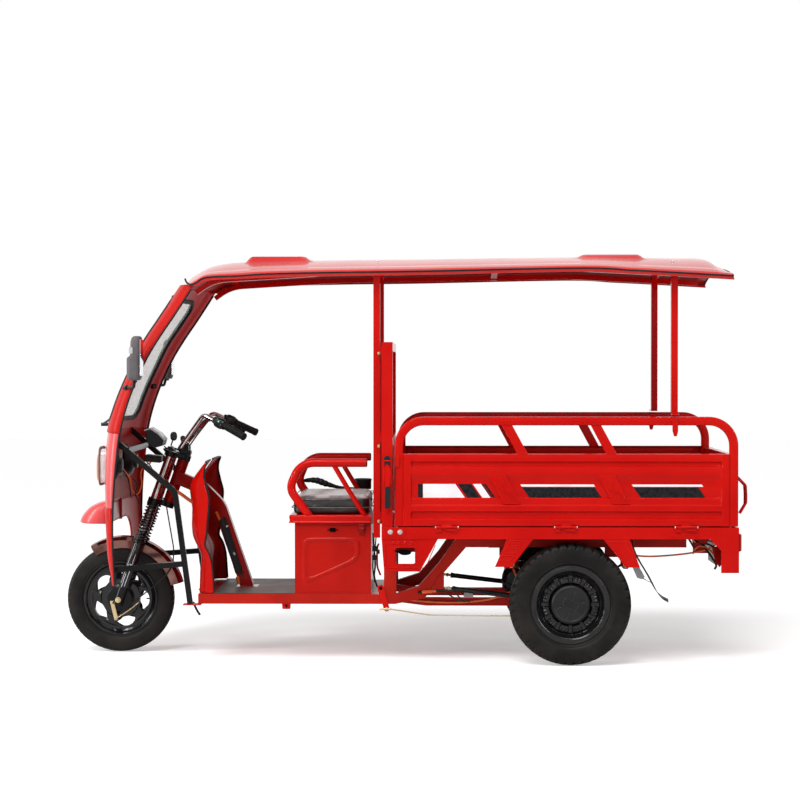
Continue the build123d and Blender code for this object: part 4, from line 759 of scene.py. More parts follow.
def pair(shell: Shell, name: str, finish: Finish, bodies: tuple[Body, Body] = (Body.CHASSIS, Body.CHASSIS),
         solids: tuple[str, ...] = (), **options: object) -> None:
    """Place a left-hand shell and its mirror image as two pieces.

    Args:
        shell: The left-hand shape.
        name: The pieces' name, before _left and _right.
        finish: The finish of both.
        bodies: The body of the left piece and that of the right one.
        solids: The CAD solids that they stand for, named in the same way.
        options: What else is said about each piece.
    """
    for side, body, hand in (("left", bodies[0], shell), ("right", bodies[1], shell.mirrored())):
        stood = tuple(f"{solid}_{side}" for solid in solids)
        Piece(f"{name}_{side}", finish, body, stood, **options).place(hand)


# ------------------------------------------------------------------- studio
@dataclass
class Studio:
    """The camera, lamps, world and floor."""

    eye: Point = (131.0, -10300.0, 1330.0)
    yaw_deg: float = 0.727
    pitch_deg: float = -0.862
    lens: float = 99.25
    floor_size: float = 60000.0
    floor_z: float = -1.2
    floor_tone: float = 0.86
    floor_glow: float = 0.4
    sun_power: float = 1.7
    sun_angle_deg: float = 28.0
    sun_way: Point = (0.22, 0.62, -0.78)
    lamp_aim: Point = (0.0, 0.0, 800.0)
    sky_light: float = 0.27
    sky_seen: float = 1.0
    lamps: tuple[tuple[str, Point, tuple[float, float], float], ...] = (
        ("key_lamp", (-3400.0, -4200.0, 3300.0), (220.0, 3000.0), 70.0),
        ("front_lamp", (-5200.0, -1500.0, 1900.0), (900.0, 2600.0), 140.0),
        ("top_lamp", (300.0, -1500.0, 4600.0), (4200.0, 200.0), 70.0),
        ("rear_lamp", (4600.0, -4200.0, 2400.0), (220.0, 2600.0), 60.0))

    def build(self) -> None:
        """Set up everything that isn't part of the tricycle."""
        bpy.context.scene.view_settings.view_transform = "Standard"
        self.camera()
        self.world()
        self.floor()
        self.sun()
        for row in self.lamps:
            self.lamp(*row)

    def camera(self) -> None:
        """Place the camera level with the side of the tricycle."""
        camera = bpy.data.objects.new("camera", bpy.data.cameras.new("camera"))
        camera.data.lens = self.lens
        camera.location = Vector(self.eye) / METRE
        camera.rotation_euler = (math.radians(90.0 + self.pitch_deg), 0.0, math.radians(self.yaw_deg))
        bpy.context.scene.collection.objects.link(camera)
        bpy.context.scene.camera = camera

    def lamp(self, name: str, place: Point, size: tuple[float, float], watts: float) -> None:
        """Add a soft rectangular lamp that faces the middle of the tricycle.

        Args:
            name: The lamp's name.
            place: Its middle.
            size: Its width and height.
            watts: Its power.
        """
        light = bpy.data.lights.new(name, "AREA")
        light.shape = "RECTANGLE"
        light.size, light.size_y = (length / METRE for length in size)
        light.energy = watts
        thing = bpy.data.objects.new(name, light)
        thing.location = Vector(place) / METRE
        aim = Vector(self.lamp_aim) / METRE - thing.location
        thing.rotation_euler = aim.to_track_quat("-Z", "Y").to_euler()
        bpy.context.scene.collection.objects.link(thing)

    def sun(self) -> None:
        """Add a broad, soft light from above the camera's side."""
        light = bpy.data.lights.new("sky_lamp", "SUN")
        light.energy = self.sun_power
        light.angle = math.radians(self.sun_angle_deg)
        thing = bpy.data.objects.new("sky_lamp", light)
        thing.rotation_euler = Vector(self.sun_way).to_track_quat("-Z", "Y").to_euler()
        bpy.context.scene.collection.objects.link(thing)

    def world(self) -> None:
        """Make a world that is white to look at and in reflections, and softer as a light."""
        world = bpy.data.worlds.new("studio")
        bpy.context.scene.world = world
        recipe = Recipe(world, "Background")
        rays = recipe.node("ShaderNodeLightPath").outputs
        camera, glossy, through = (Signal(recipe, rays[f"Is {kind} Ray"])
                                   for kind in ("Camera", "Glossy", "Transmission"))
        seen = camera.larger(glossy.larger(through))
        recipe.set(Color=(1.0, 1.0, 1.0), Strength=self.sky_light + (self.sky_seen - self.sky_light) * seen)

    def floor(self) -> None:
        """Lay a white floor that keeps the tricycle's shadow."""
        half = self.floor_size / 2
        x, y = np.meshgrid(np.linspace(-half, half, 9), np.linspace(-half, half, 9), indexing="ij")
        ground = lattice(np.stack([x, y, np.full_like(x, self.floor_z)], -1))
        mesh = bpy.data.meshes.new("floor")
        mesh.from_pydata((ground.points / METRE).tolist(), [], ground.faces[0].tolist())
        thing = bpy.data.objects.new("floor", mesh)
        bpy.context.scene.collection.objects.link(thing)
        white = bpy.data.materials.new("floor_white")
        recipe = Recipe(white)
        seen = Signal(recipe, recipe.node("ShaderNodeLightPath").outputs["Is Camera Ray"])
        glow = recipe.mix(seen, (0.0, 0.0, 0.0), (self.floor_glow,) * 3)
        recipe.set(Base_Color=(self.floor_tone,) * 3, Roughness=1.0, Specular_IOR_Level=0.0,
                   Emission_Color=glow, Emission_Strength=1.0)
        mesh.materials.append(white)


# ------------------------------------------------------------ solids' finishes
SLOT_FINISH: dict[str, Finish] = {
    finish.slot: finish
    for finish in (RED, SHADED_RED, BLACK, CHROME, BRASS, TYRE, RUBBER, PLASTIC, VINYL, SCREEN, LENS,
                   RED_LENS, PLATE, CABLE)
}
SOLID_FINISH: dict[str, Finish] = {
    "floor_mat": MAT,
    "seat_box": BOX_SHADED_RED,
    "front_mudguard": SMOKED_PAINTED_STREAKS,
    "frame": FRAME_SHADED_RED,
}


def dress_solids(frame: dict[str, object]) -> None:
    """Give each solid of the part the finish of its slot, or its own.
    """
    slots = {row["node"]: row["material_slot"] for row in frame["record"]["subparts"]}
    for name, thing in frame["nodes"].items():
        finish = SOLID_FINISH.get(name, SLOT_FINISH[slots[name]])
        thing.data.materials.clear()
        thing.data.materials.append(material_of(finish))


# ------------------------------------------------------------------- wheels
FRONT_AXLE: Point = (-1305.0, 0.0, 250.0)
REAR_AXLE: Point = (765.0, -463.0, 272.0)


class Tread(Enum):
    """How a tyre's shoulders are cut: groove depth, share of the pitch and reach down the side."""

    ROAD = (4.0, 0.3, 0.86)
    LUGGED = (8.5, 0.36, 0.74)


@dataclass
class Tyre:
    """A tyre whose shoulders are cut into lugs."""

    name: str
    body: Body
    centre: Point
    radius: float
    width: float
    bead: float
    lugs: int
    tread: Tread

    def build(self) -> None:
        """Place the tyre, and its mirror image where it stands on the left."""
        if self.body is Body.FRONT_WHEEL:
            Piece(self.name, TYRE, self.body, (self.name,), outward=False).place(self.shell())
        else:
            pair(self.shell(), self.name, TYRE, REAR_WHEELS, (self.name,), outward=False)

    def profile(self) -> Array:
        """Return the closed cross-section as (radius, side) points, outside first."""
        half, height = self.width / 2, self.radius - self.bead
        rise = [(0.02, 0.7), (0.1, 0.76), (0.16, 0.86), (0.19, 0.85), (0.3, 0.95), (0.5, 1.0), (0.72, 0.95),
                (0.87, 0.86), (0.955, 0.68), (0.99, 0.36), (1.0, 0.0)]
        side = np.array([(self.bead + r * height, y * half) for r, y in rise])
        outside = curve(np.vstack([side * (1, -1), side[-2::-1]]), 85)
        inside = np.array([(self.bead, half * 0.62), (self.bead + height * 0.6, half * 0.8),
                           (self.bead + height * 0.6, -half * 0.8), (self.bead, -half * 0.62)])
        return np.vstack([outside, inside])

    def shell(self) -> Shell:
        """Return the tyre: r = profile - depth * (shoulder * comb + 0.6 * channel).

        The comb cuts the shoulders into lugs at an even pitch, and the channel
        is a zigzag line on each side of the crown.
        """
        outline = self.profile()
        depth, share, reach = self.tread.value
        height = self.radius - self.bead
        steps = self.lugs * 10
        turn = np.arange(steps)[None] * 2 * np.pi / steps
        radius, side = outline[:, :1], outline[:, 1:]
        rise = (radius - self.bead) / height
        offset = np.abs(side) / (self.width / 2)
        shoulder = smoothstep(rise, reach, reach + 0.05) * smoothstep(offset, 0.34, 0.44)
        phase = turn * self.lugs / (2 * np.pi) + 0.25 * np.sign(side) + 0.5 * offset
        comb = smoothstep(np.abs((phase % 1.0) - 0.5) * 2, 1 - share, 1 - share * 0.55)
        zigzag = 0.2 + 0.05 * np.abs((phase % 1.0) - 0.5) * 4
        channel = (1 - smoothstep(np.abs(offset - zigzag), 0.03, 0.07)) * (rise > 0.9)
        reduced = radius - depth * shoulder * comb - depth * 0.6 * channel
        x, y, z = self.centre
        points = np.stack([x + reduced * np.cos(turn), np.broadcast_to(y + side, reduced.shape),
                           z + reduced * np.sin(turn)], -1)
        return lattice(points, wrap_rows=True, wrap_columns=True)


@dataclass
class FrontWheel:
    """The five-spoke cast wheel: barrel, spokes and drum."""

    windows: int = 5
    first_window_deg: float = -5.0
    window_middle: float = 112.0
    window_half_height: float = 22.0
    window_half_width: float = 43.0
    hub: float = 50.0
    barrel: float = 146.0

    def build(self) -> None:
        """Place the wheel."""
        rim = [(171, -36), (172, -34), (170, -32), (165, -31), (162, -20), (151, -13), (151, 13),
               (162, 20), (165, 31), (170, 32), (172, 34), (171, 36), (166, 37), (159, 32), (156, 21),
               (145, 15), (145, -15), (156, -21), (159, -32), (166, -37)]
        drum = [(7.6, -47), (24, -47), (26, -44), (52, -44), (58, -40), (58, -22), (64, -19), (64, 19),
                (58, 22), (58, 40), (52, 44), (26, 44), (24, 47), (7.6, 47)]
        Piece("front_wheel_barrel", GLOSS, Body.FRONT_WHEEL, ("front_rim",)).place(
            lathe(rim, FRONT_AXLE, sides=128, closed=True))
        hub = lathe(drum, FRONT_AXLE, sides=72, closed=True)
        Piece("front_wheel_drum", BLACK, Body.FRONT_WHEEL).place(hub)
        Piece("front_wheel_spokes", GLOSS, Body.FRONT_WHEEL, wall=30.0, outward=False,
              bevel=1.6).place(self.spokes())
        valve = rod((FRONT_AXLE[0] + 118, -6, 246), (FRONT_AXLE[0] + 150, -4, 245), 3.4)
        Piece("front_valve", BLACK, Body.FRONT_WHEEL).place(valve)

    def spokes(self) -> Shell:
        """Return the spokes' near face.

        A spoke reaches to each side by 36 degrees less the half angle of the
        window beside it: asin(w * sqrt(1 - ((r - m) / h)^2) / r). Its ridge
        stands out as (1 - |s|) of its own half width.
        """
        radii = np.concatenate([
            np.linspace(self.hub, self.window_middle - self.window_half_height, 8),
            self.window_middle - self.window_half_height * np.cos(np.linspace(0, np.pi, 21))[1:-1],
            np.linspace(self.window_middle + self.window_half_height, self.barrel + 2, 4),
        ])[:, None]
        depth = np.clip(1 - ((radii - self.window_middle) / self.window_half_height) ** 2, 0, 1)
        gap = np.arcsin(self.window_half_width * np.sqrt(depth) / radii)
        share = np.linspace(-1, 1, 17)[None]
        middle = math.radians(self.first_window_deg + 180.0 / self.windows)
        turn = middle + share * (np.pi / self.windows - gap)
        swell = smoothstep(radii, self.hub, self.hub + 20) * (1 - smoothstep(radii, 128, 146))
        ridge = 9.0 * swell * (1 - np.abs(share)) * smoothstep(gap, 0.05, 0.3)
        x, y, z = FRONT_AXLE
        points = np.stack([x + radii * np.cos(turn), y - 15.0 - ridge, z + radii * np.sin(turn)], -1)
        return lattice(points).flipped().repeated(self.windows, FRONT_AXLE)


@dataclass
class RearWheel:
    """A pressed steel wheel with a deep lip, a ring of pockets and a flat cap."""

    pockets: int = 12
    cap_face_y: float = -513.0
    disc_y: float = -476.0
    lip_y: float = -508.0

    def build(self) -> None:
        """Place both rear wheels and caps."""
        bodies = REAR_WHEELS
        pair(self.disc(), "rear_wheel_disc", GLOSS, bodies, ("rear_rim",), wall=4.0, outward=False)
        barrel = [(168, -45), (175, -45.5), (176.5, -43), (174, -41), (169, -40), (166, -30), (152, -20),
                  (152, 10), (166, 30), (169, 40), (174, 41), (175, 44), (168, 45), (161, 30), (147, 12),
                  (147, -22), (160, -34)]
        pair(lathe(barrel, REAR_AXLE, sides=128, closed=True), "rear_wheel_barrel", GLOSS, bodies)
        drum = [(15.2, -20), (60, -20), (94, -8), (94, 78), (88, 83), (15.2, 83)]
        pair(lathe(drum, REAR_AXLE, sides=72, closed=True), "rear_wheel_drum", BLACK, bodies)
        pair(self.cap(), "rear_wheel_cap", PLASTIC, bodies, ("hub_cap",), wall=3.0, outward=False)

    def disc(self) -> Shell:
        """Return the pressed face: y = table(r) - 11 * block + 4 * block * notch.

        A block stands between each two pockets, and notches cut its outer half.
        """
        rows = [(20.0, self.disc_y), (84.0, self.disc_y), (92.0, self.disc_y - 2),
                (130.0, self.disc_y - 2), (137.0, self.disc_y + 2), (143.0, self.disc_y - 6),
                (149.0, self.lip_y + 8), (155.0, self.lip_y + 3), (163.0, self.lip_y + 1),
                (168.0, self.lip_y)]
        radii = np.concatenate([[20, 60, 84], np.linspace(88, 134, 24), np.linspace(136, 168, 16)])
        steps = self.pockets * 24
        turn = np.arange(steps)[None] * 2 * np.pi / steps
        phase = np.abs(((turn * self.pockets / (2 * np.pi)) % 1.0) - 0.5) * 2
        block = (1 - smoothstep(phase, 0.58, 0.72)) * smoothstep(radii, 92, 98)[:, None]
        block = block * (1 - smoothstep(radii, 122, 128))[:, None]
        notch = (1 - smoothstep(np.abs(phase - 0.25), 0.05, 0.16)) * smoothstep(radii, 108, 112)[:, None]
        y = table(rows, radii) - 11.0 * block + 4.0 * block * notch
        x, _, z = REAR_AXLE
        points = np.stack([x + radii[:, None] * np.cos(turn), y, z + radii[:, None] * np.sin(turn)], -1)
        return lattice(points, wrap_columns=True).flipped()

    def cap(self) -> Shell:
        """Return the cap: a flat face with a blank raised badge rim and creased rays."""
        radii = np.concatenate([[0.01], np.linspace(3, 78, 46), [80, 82, 84, 85.5, 86, 86, 86]])[:, None]
        turn = np.arange(168)[None] * 2 * np.pi / 168
        a, b = radii * np.cos(turn), radii * np.sin(turn)
        tilt = math.radians(-24.0)
        u, v = a * math.cos(tilt) + b * math.sin(tilt), b * math.cos(tilt) - a * math.sin(tilt)
        corner = np.hypot(np.clip(np.abs(u) - 24, 0, None), np.clip(np.abs(v) - 8, 0, None)) - 10
        badge = 1 - smoothstep(np.abs(corner), 0.8, 2.2)
        rays = np.abs(((turn / (2 * np.pi) * 6 + 0.3) % 1.0) - 0.5) * radii * 2 * np.pi / 6
        crease = (1 - smoothstep(rays, 1.0, 3.2)) * smoothstep(corner, 8, 14)
        crease *= 1 - smoothstep(radii, 62, 68)
        rim = smoothstep(radii, 70, 73)
        lip = np.clip(radii - 78, 0, 8)
        fall = np.where(np.arange(len(radii))[:, None] >= len(radii) - 2, 14.0, 0.35 * lip**1.5)
        fall = np.where(np.arange(len(radii))[:, None] == len(radii) - 1, 30.0, fall)
        y = self.cap_face_y - 1.6 * badge + 1.8 * crease - 2.0 * rim + 4.0 + fall
        x, _, z = REAR_AXLE
        return lattice(np.stack([x + a, y, z + b], -1), wrap_columns=True).flipped()


# ----------------------------------------------------------------- steering
RAKE = math.radians(19.6)
STEER_UP: Point = (math.sin(RAKE), 0.0, math.cos(RAKE))
FORK_OFFSET = 60.0
LEG_Y = 84.0


def steer_point(along: float, behind: float, y: float = 0.0) -> Point:
    """Return a point counted up the steering axis, behind it and across."""
    x = FRONT_AXLE[0] + FORK_OFFSET * math.cos(RAKE) + along * math.sin(RAKE) + behind * math.cos(RAKE)
    z = FRONT_AXLE[2] - FORK_OFFSET * math.sin(RAKE) + along * math.cos(RAKE) - behind * math.sin(RAKE)
    return (x, y, z)


@dataclass
class Fork:
    """The coil springs and the bright and black sleeves of the fork."""

    spring_low: float = 289.0
    spring_high: float = 472.0
    coils: float = 12.0
    coil_radius: float = 22.4
    wire_radius: float = 4.3
    closing: float = 0.2

    def build(self) -> None:
        """Place the springs, sleeves, ridges, axle nuts and brake arm on the legs."""
        bodies = STEERED
        pair(self.spring(), "fork_coil", GLOSS, bodies, ("fork_spring",), outward=False)
        sleeves = self.leg([(19.4, 499.4), (19.4, 540), (18.6, 543), (18.6, 700), (19.4, 705.6)])
        pair(sleeves, "fork_tube", replace(CHROME, edge=0.0), bodies, outward=False)
        pair(self.leg([(15.2, 330), (18.5, 340), (18.5, 440), (15.2, 450)]), "fork_damper",
             OILY_CHROME, bodies, outward=False)
        cups = self.leg([(22, 283), (27.5, 284), (27.5, 291), (24, 293), (24, 297), (15.2, 298)])
        cups += self.leg([(15.2, 456), (22, 457), (24, 466), (27.5, 468), (27.5, 498), (20, 499)])
        pair(cups, "fork_cup", BLACK, bodies, outward=False)
        shoe = self.leg([(21, 60), (25.5, 66), (26, 80), (26, 196), (24.5, 204), (24.5, 272), (21, 282)])
        pair(shoe, "fork_shoe", GLOSS, bodies, outward=False)
        ridge = sweep(np.array([steer_point(a, -FORK_OFFSET, -LEG_Y - 21.4) for a in (40, 60, 200, 232)]),
                      ringed(3.2, 6.0, 3.0, 12), ACROSS)
        pair(ridge, "fork_ridge", POLISHED, bodies)
        nut = bolt((FRONT_AXLE[0], -LEG_Y - 31.6, FRONT_AXLE[2]), LEFT, 9.0, 1.45)
        pair(nut, "front_axle_nut", BRASS, bodies)
        arm_bolts = bolt((-1338, -76.5, 231), LEFT, 5.5) + bolt((-1319, -76.5, 160), LEFT, 4.5)
        arm = side_plate([(-1348, 240), (-1330, 242), (-1311, 165), (-1315, 152), (-1327, 152)], -77.5,
                         -74.0)
        Piece("brake_arm", BRASS, Body.STEERING, bevel=1.0).place(arm)
        Piece("brake_arm_bolts", BRASS, Body.STEERING).place(arm_bolts)
        link = tube(curve([(-1319, -79, 160), (-1290, -79, 178), (-1250, -78, 205), (-1212, -76, 236)],
                          24), 1.8)
        Piece("brake_pull", BRASS, Body.STEERING, outward=False).place(link)

    def leg(self, profile: Sequence[Sequence[float]]) -> Shell:
        """Turn a profile of radius and height about the left leg."""
        return lathe(profile, steer_point(0.0, -FORK_OFFSET, -LEG_Y), STEER_UP, 40)

    def spring(self) -> Shell:
        """Return the coil: a helix whose turns close up a little at its ends and its middle."""
        t = np.linspace(0.0, 1.0, int(self.coils * 26))
        turn = 2 * np.pi * self.coils * t
        length = self.spring_high - self.spring_low - 2 * self.wire_radius
        ease = self.closing / self.coils * np.sin(4 * np.pi * t)
        height = self.spring_low + self.wire_radius + length * (t - ease)
        along = np.array(STEER_UP)
        first = np.array([math.cos(RAKE), 0.0, -math.sin(RAKE)])
        start = np.asarray(steer_point(0.0, -FORK_OFFSET, -LEG_Y))
        radial = np.cos(turn)[:, None] * first + np.sin(turn)[:, None] * np.array(ACROSS)
        path = start + height[:, None] * along + self.coil_radius * radial
        return sweep(path, ringed(self.wire_radius, self.wire_radius, 2.0, 10), along)


# -------------------------------------------------------------------- gates
HINGE_X = (215.0, 742.0, 1275.0)


@dataclass
class SideGate:
    """A drop side: tube hoop, pressed sheet, struts, brace plates and stripes."""

    front_x: float = -17.5
    rear_x: float = 1506.0
    base_z: float = 623.0
    top_z: float = 1109.0
    panel_top_z: float = 943.5
    face_y: float = -525.0
    thickness: float = 34.0
    tube: float = 39.0
    corner: float = 130.0
    field: tuple[float, float] = (53.5, 1435.0)
    slant: float = 0.7
    strut_x: tuple[float, float] = (458.0, 852.0)
    brace_x: tuple[float, float] = (399.0, 884.0)
    stripe_z: tuple[float, float] = (810.0, 749.0)
    post_x: float = 1230.0
    profile: tuple[tuple[float, float], ...] = ((0.0, 5.0), (33.0, 5.0), (38.0, 15.0), (53.0, 15.0),
                                                (58.0, 5.0), (92.0, 5.0), (118.0, 13.5), (194.0, 13.5),
                                                (199.0, 7.0), (224.0, 7.0), (230.0, 2.0), (254.0, 2.0),
                                                (260.0, 13.0), (283.0, 13.0), (289.0, 3.0), (320.5, 3.0))

    def build(self) -> None:
        """Place both side gates."""
        self.hand(Body.SIDE_GATE_LEFT, "left", lambda shell: shell)
        self.hand(Body.SIDE_GATE_RIGHT, "right", Shell.mirrored)

    def hand(self, body: Body, side: str, turn: Callable[[Shell], Shell]) -> None:
        """Place one gate, made on the left and turned to its own side.

        Args:
            body: The gate's body.
            side: The side's name.
            turn: What turns a left-hand shell to this side.
        """
        Piece(f"gate_hoop_{side}", RED, body, (f"side_gate_{side}",),
              outward=False).place(turn(self.hoop()))
        Piece(f"gate_sheet_{side}", RED, body, wall=2.5, outward=False,
              lining=SHADED_LINING).place(turn(self.sheet()))
        Piece(f"gate_struts_{side}", RED, body, bevel=3.0).place(turn(self.struts()))
        Piece(f"gate_braces_{side}", RED, body, bevel=1.5).place(turn(self.braces()))
        Piece(f"gate_beads_{side}", RED, body, outward=False).place(turn(self.beads()))
        Piece(f"gate_hinges_{side}", RED, body, bevel=1.0).place(turn(self.hinges()))
        Piece(f"gate_catch_{side}", RED, body, bevel=2.0).place(turn(self.catches()))
        white, black = self.stripes()
        Piece(f"gate_white_{side}", WHITE_FILM, body).place(turn(white))
        Piece(f"gate_black_{side}", BLACK_FILM, body).place(turn(black))

    def hoop(self) -> Shell:
        """Carry a rounded tube section up, over and down."""
        half = self.tube / 2
        low, high = self.base_z, self.top_z - half
        y = self.face_y + self.thickness / 2
        ends = (self.front_x + half, self.rear_x - half)
        path = bend([(ends[0], y, low), (ends[0], y, high), (ends[1], y, high), (ends[1], y, low)],
                    [self.corner - half] * 2, 14)
        return sweep(path, ringed(self.thickness / 2, half, 5.0, 32), ACROSS)

    def sheet(self) -> Shell:
        """Return the pressing: y = flange + (profile(z) - flange) * mask(x), folded in above and below."""
        face = self.face_y
        rows = [(0.0, face + 26.0, self.panel_top_z)]
        rows += [(0.0, face + depth, self.panel_top_z - down) for down, depth in self.profile]
        rows += [(0.0, face + 26.0, self.base_z)]
        outline = bend(rows, [2.0] * (len(rows) - 2), 3)
        low, high = self.front_x + self.tube - 3, self.rear_x - self.tube + 3
        x = np.concatenate([np.linspace(low, self.field[0] - 3, 3),
                            np.linspace(self.field[0], self.field[0] + 7, 8),
                            np.linspace(self.field[0] + 40, self.field[1] - 40, 24),
                            np.linspace(self.field[1] - 7, self.field[1], 8),
                            np.linspace(self.field[1] + 3, high, 3)])
        mask = smoothstep(x, self.field[0], self.field[0] + 7) * (
            1 - smoothstep(x, self.field[1] - 7, self.field[1]))
        flange = np.where(outline[:, 1] < face + 20, face + 1.5, outline[:, 1])
        y = flange[:, None] + (outline[:, 1] - flange)[:, None] * mask
        points = np.stack(np.broadcast_arrays(x, y, outline[:, 2:]), -1)
        return lattice(points).flipped()

    def struts(self) -> Shell:
        """Return the two slanting bars below the top tube."""
        top, low = self.top_z - self.tube + 2, self.panel_top_z - 2
        bars = [side_plate([(a, top), (a + 46, top), (a + 117, low), (a + 70, low)], self.face_y + 4,
                           self.face_y + 26) for a in self.strut_x]
        return joined(bars)

    def braces(self) -> Shell:
        """Return the two slanting plates across the flat of the sheet."""
        plates = [side_plate([(a, 852), (a + 77, 852), (a + 143, 720), (a + 66, 720)], self.face_y + 2.5,
                             self.face_y + 14) for a in self.brace_x]
        return joined(plates)

    def beads(self) -> Shell:
        """Return the raised crossing lines on the brace plates."""
        beads = []
        for a in self.brace_x:
            lines = ([(16, 840), (36, 822), (44, 796), (66, 776), (92, 756), (98, 734)],
                     [(58, 842), (68, 822), (62, 800), (76, 782), (108, 760), (124, 734)])
            beads += [tube(curve([(a + x, self.face_y + 2.2, z) for x, z in line], 28), 2.4, sides=8)
                      for line in lines]
        return joined(beads)

    def hinges(self) -> Shell:
        """Return the strip and half-round tongue of each hinge."""
        turn = np.linspace(0.0, np.pi, 12)
        tongues = []
        for x in HINGE_X:
            tongue = [(x + 22 - 26 * math.cos(a), 611 - 9 * math.sin(a)) for a in turn]
            tongues.append(rod((x - 23.4, -532, 619), (x + 23.4, -532, 619), 5.6))
            tongues.append(side_plate([(x - 24, 638), (x + 24, 638), (x + 24, 620), (x - 24, 620)], -533,
                                      -526))
            tongues.append(side_plate([(place - 4, z) for place, z in tongue], -536.0, -533.5))
        return joined(tongues)

    def catches(self) -> Shell:
        """Return the catch that meets the rear post, and the front hook plate."""
        post = self.post_x
        catch = side_plate([(post - 25, 1109), (post + 8, 1109), (post + 8, 1044), (post + 2, 1022),
                            (post - 10, 1022), (post - 17, 1046), (post - 18, 1084), (post - 28, 1096)],
                           -531, -524)
        hook = side_plate([(-17, 936), (4, 936), (4, 886), (-17, 886)], -533, -524)
        return catch + hook

    def film(self, left: float, right: float, high: float, low: float, square_start: bool = False) -> Shell:
        """Make one slanting stripe between two heights.

        Args:
            left: The stripe's start along the gate.
            right: Its end.
            high: Its upper edge.
            low: Its lower edge.
            square_start: Whether its start is upright.

        Returns:
            The stripe, as a thin plate that leans by slant times its height.
        """
        shift = (high - low) * self.slant
        start = left if square_start else left + shift
        y = self.face_y + 13.5
        return side_plate([(left, high), (right, high), (right + shift, low), (start, low)], y - 0.7,
                          y - 0.2)

    def stripes(self) -> tuple[Shell, Shell]:
        """Return the white and the black stripes."""
        high, low = self.stripe_z
        white = [self.film(109, 252, high, low, True), self.film(330, 366, high, low),
                 self.film(541, 866, 808, 798), self.film(1035, 1345, 808, 798)]
        face = self.face_y + 13.5
        start = side_plate([(87, high), (108, high), (108, low), (87, low)], face - 0.7, face - 0.2)
        black = [start, self.film(263, 322, high, low), self.film(368, 374, high, low),
                 self.film(377, 388, high, low), self.film(549, 870, 795, low),
                 self.film(1043, 1330, 795, low)]
        return joined(white), joined(black)


@dataclass
class Tailgate:
    """The grips on the tailgate's bow handles."""

    x: float = 1508.0
    y: float = -441.0
    radius: float = 8.4

    def build(self) -> None:
        """Place both grips."""
        route = [(self.x + out, self.y, z) for out, z in ((38.0, 800.0), (40.5, 760.0), (40.0, 720.0))]
        bodies = (Body.TAILGATE, Body.TAILGATE)
        pair(tube(curve(route, 16), self.radius), "tail_grip", SHADED_RED, bodies)


# --------------------------------------------------------------------- cowl
def stations(path: Array, marks: Sequence[Sequence[float]], counts: Sequence[int]) -> Array:
    """Return points along a path, evenly within each run between its marks.

    Args:
        path: The path's points.
        marks: The points nearest to which one run ends and the next starts.
        counts: How many steps each run takes.

    Returns:
        The points, from the path's start to its end.
    """
    steps = np.linalg.norm(np.diff(path, axis=0), axis=1)
    along = np.concatenate([[0.0], np.cumsum(steps)])
    near = [along[int(np.argmin(np.linalg.norm(path - np.asarray(mark), axis=1)))] for mark in marks]
    ends = [0.0, *near, along[-1]]
    places = [np.linspace(low, high, count, endpoint=False)
              for low, high, count in zip(ends, ends[1:], counts)]
    spots = np.append(np.concatenate(places), along[-1])
    return np.stack([np.interp(spots, along, column) for column in path.T], -1)


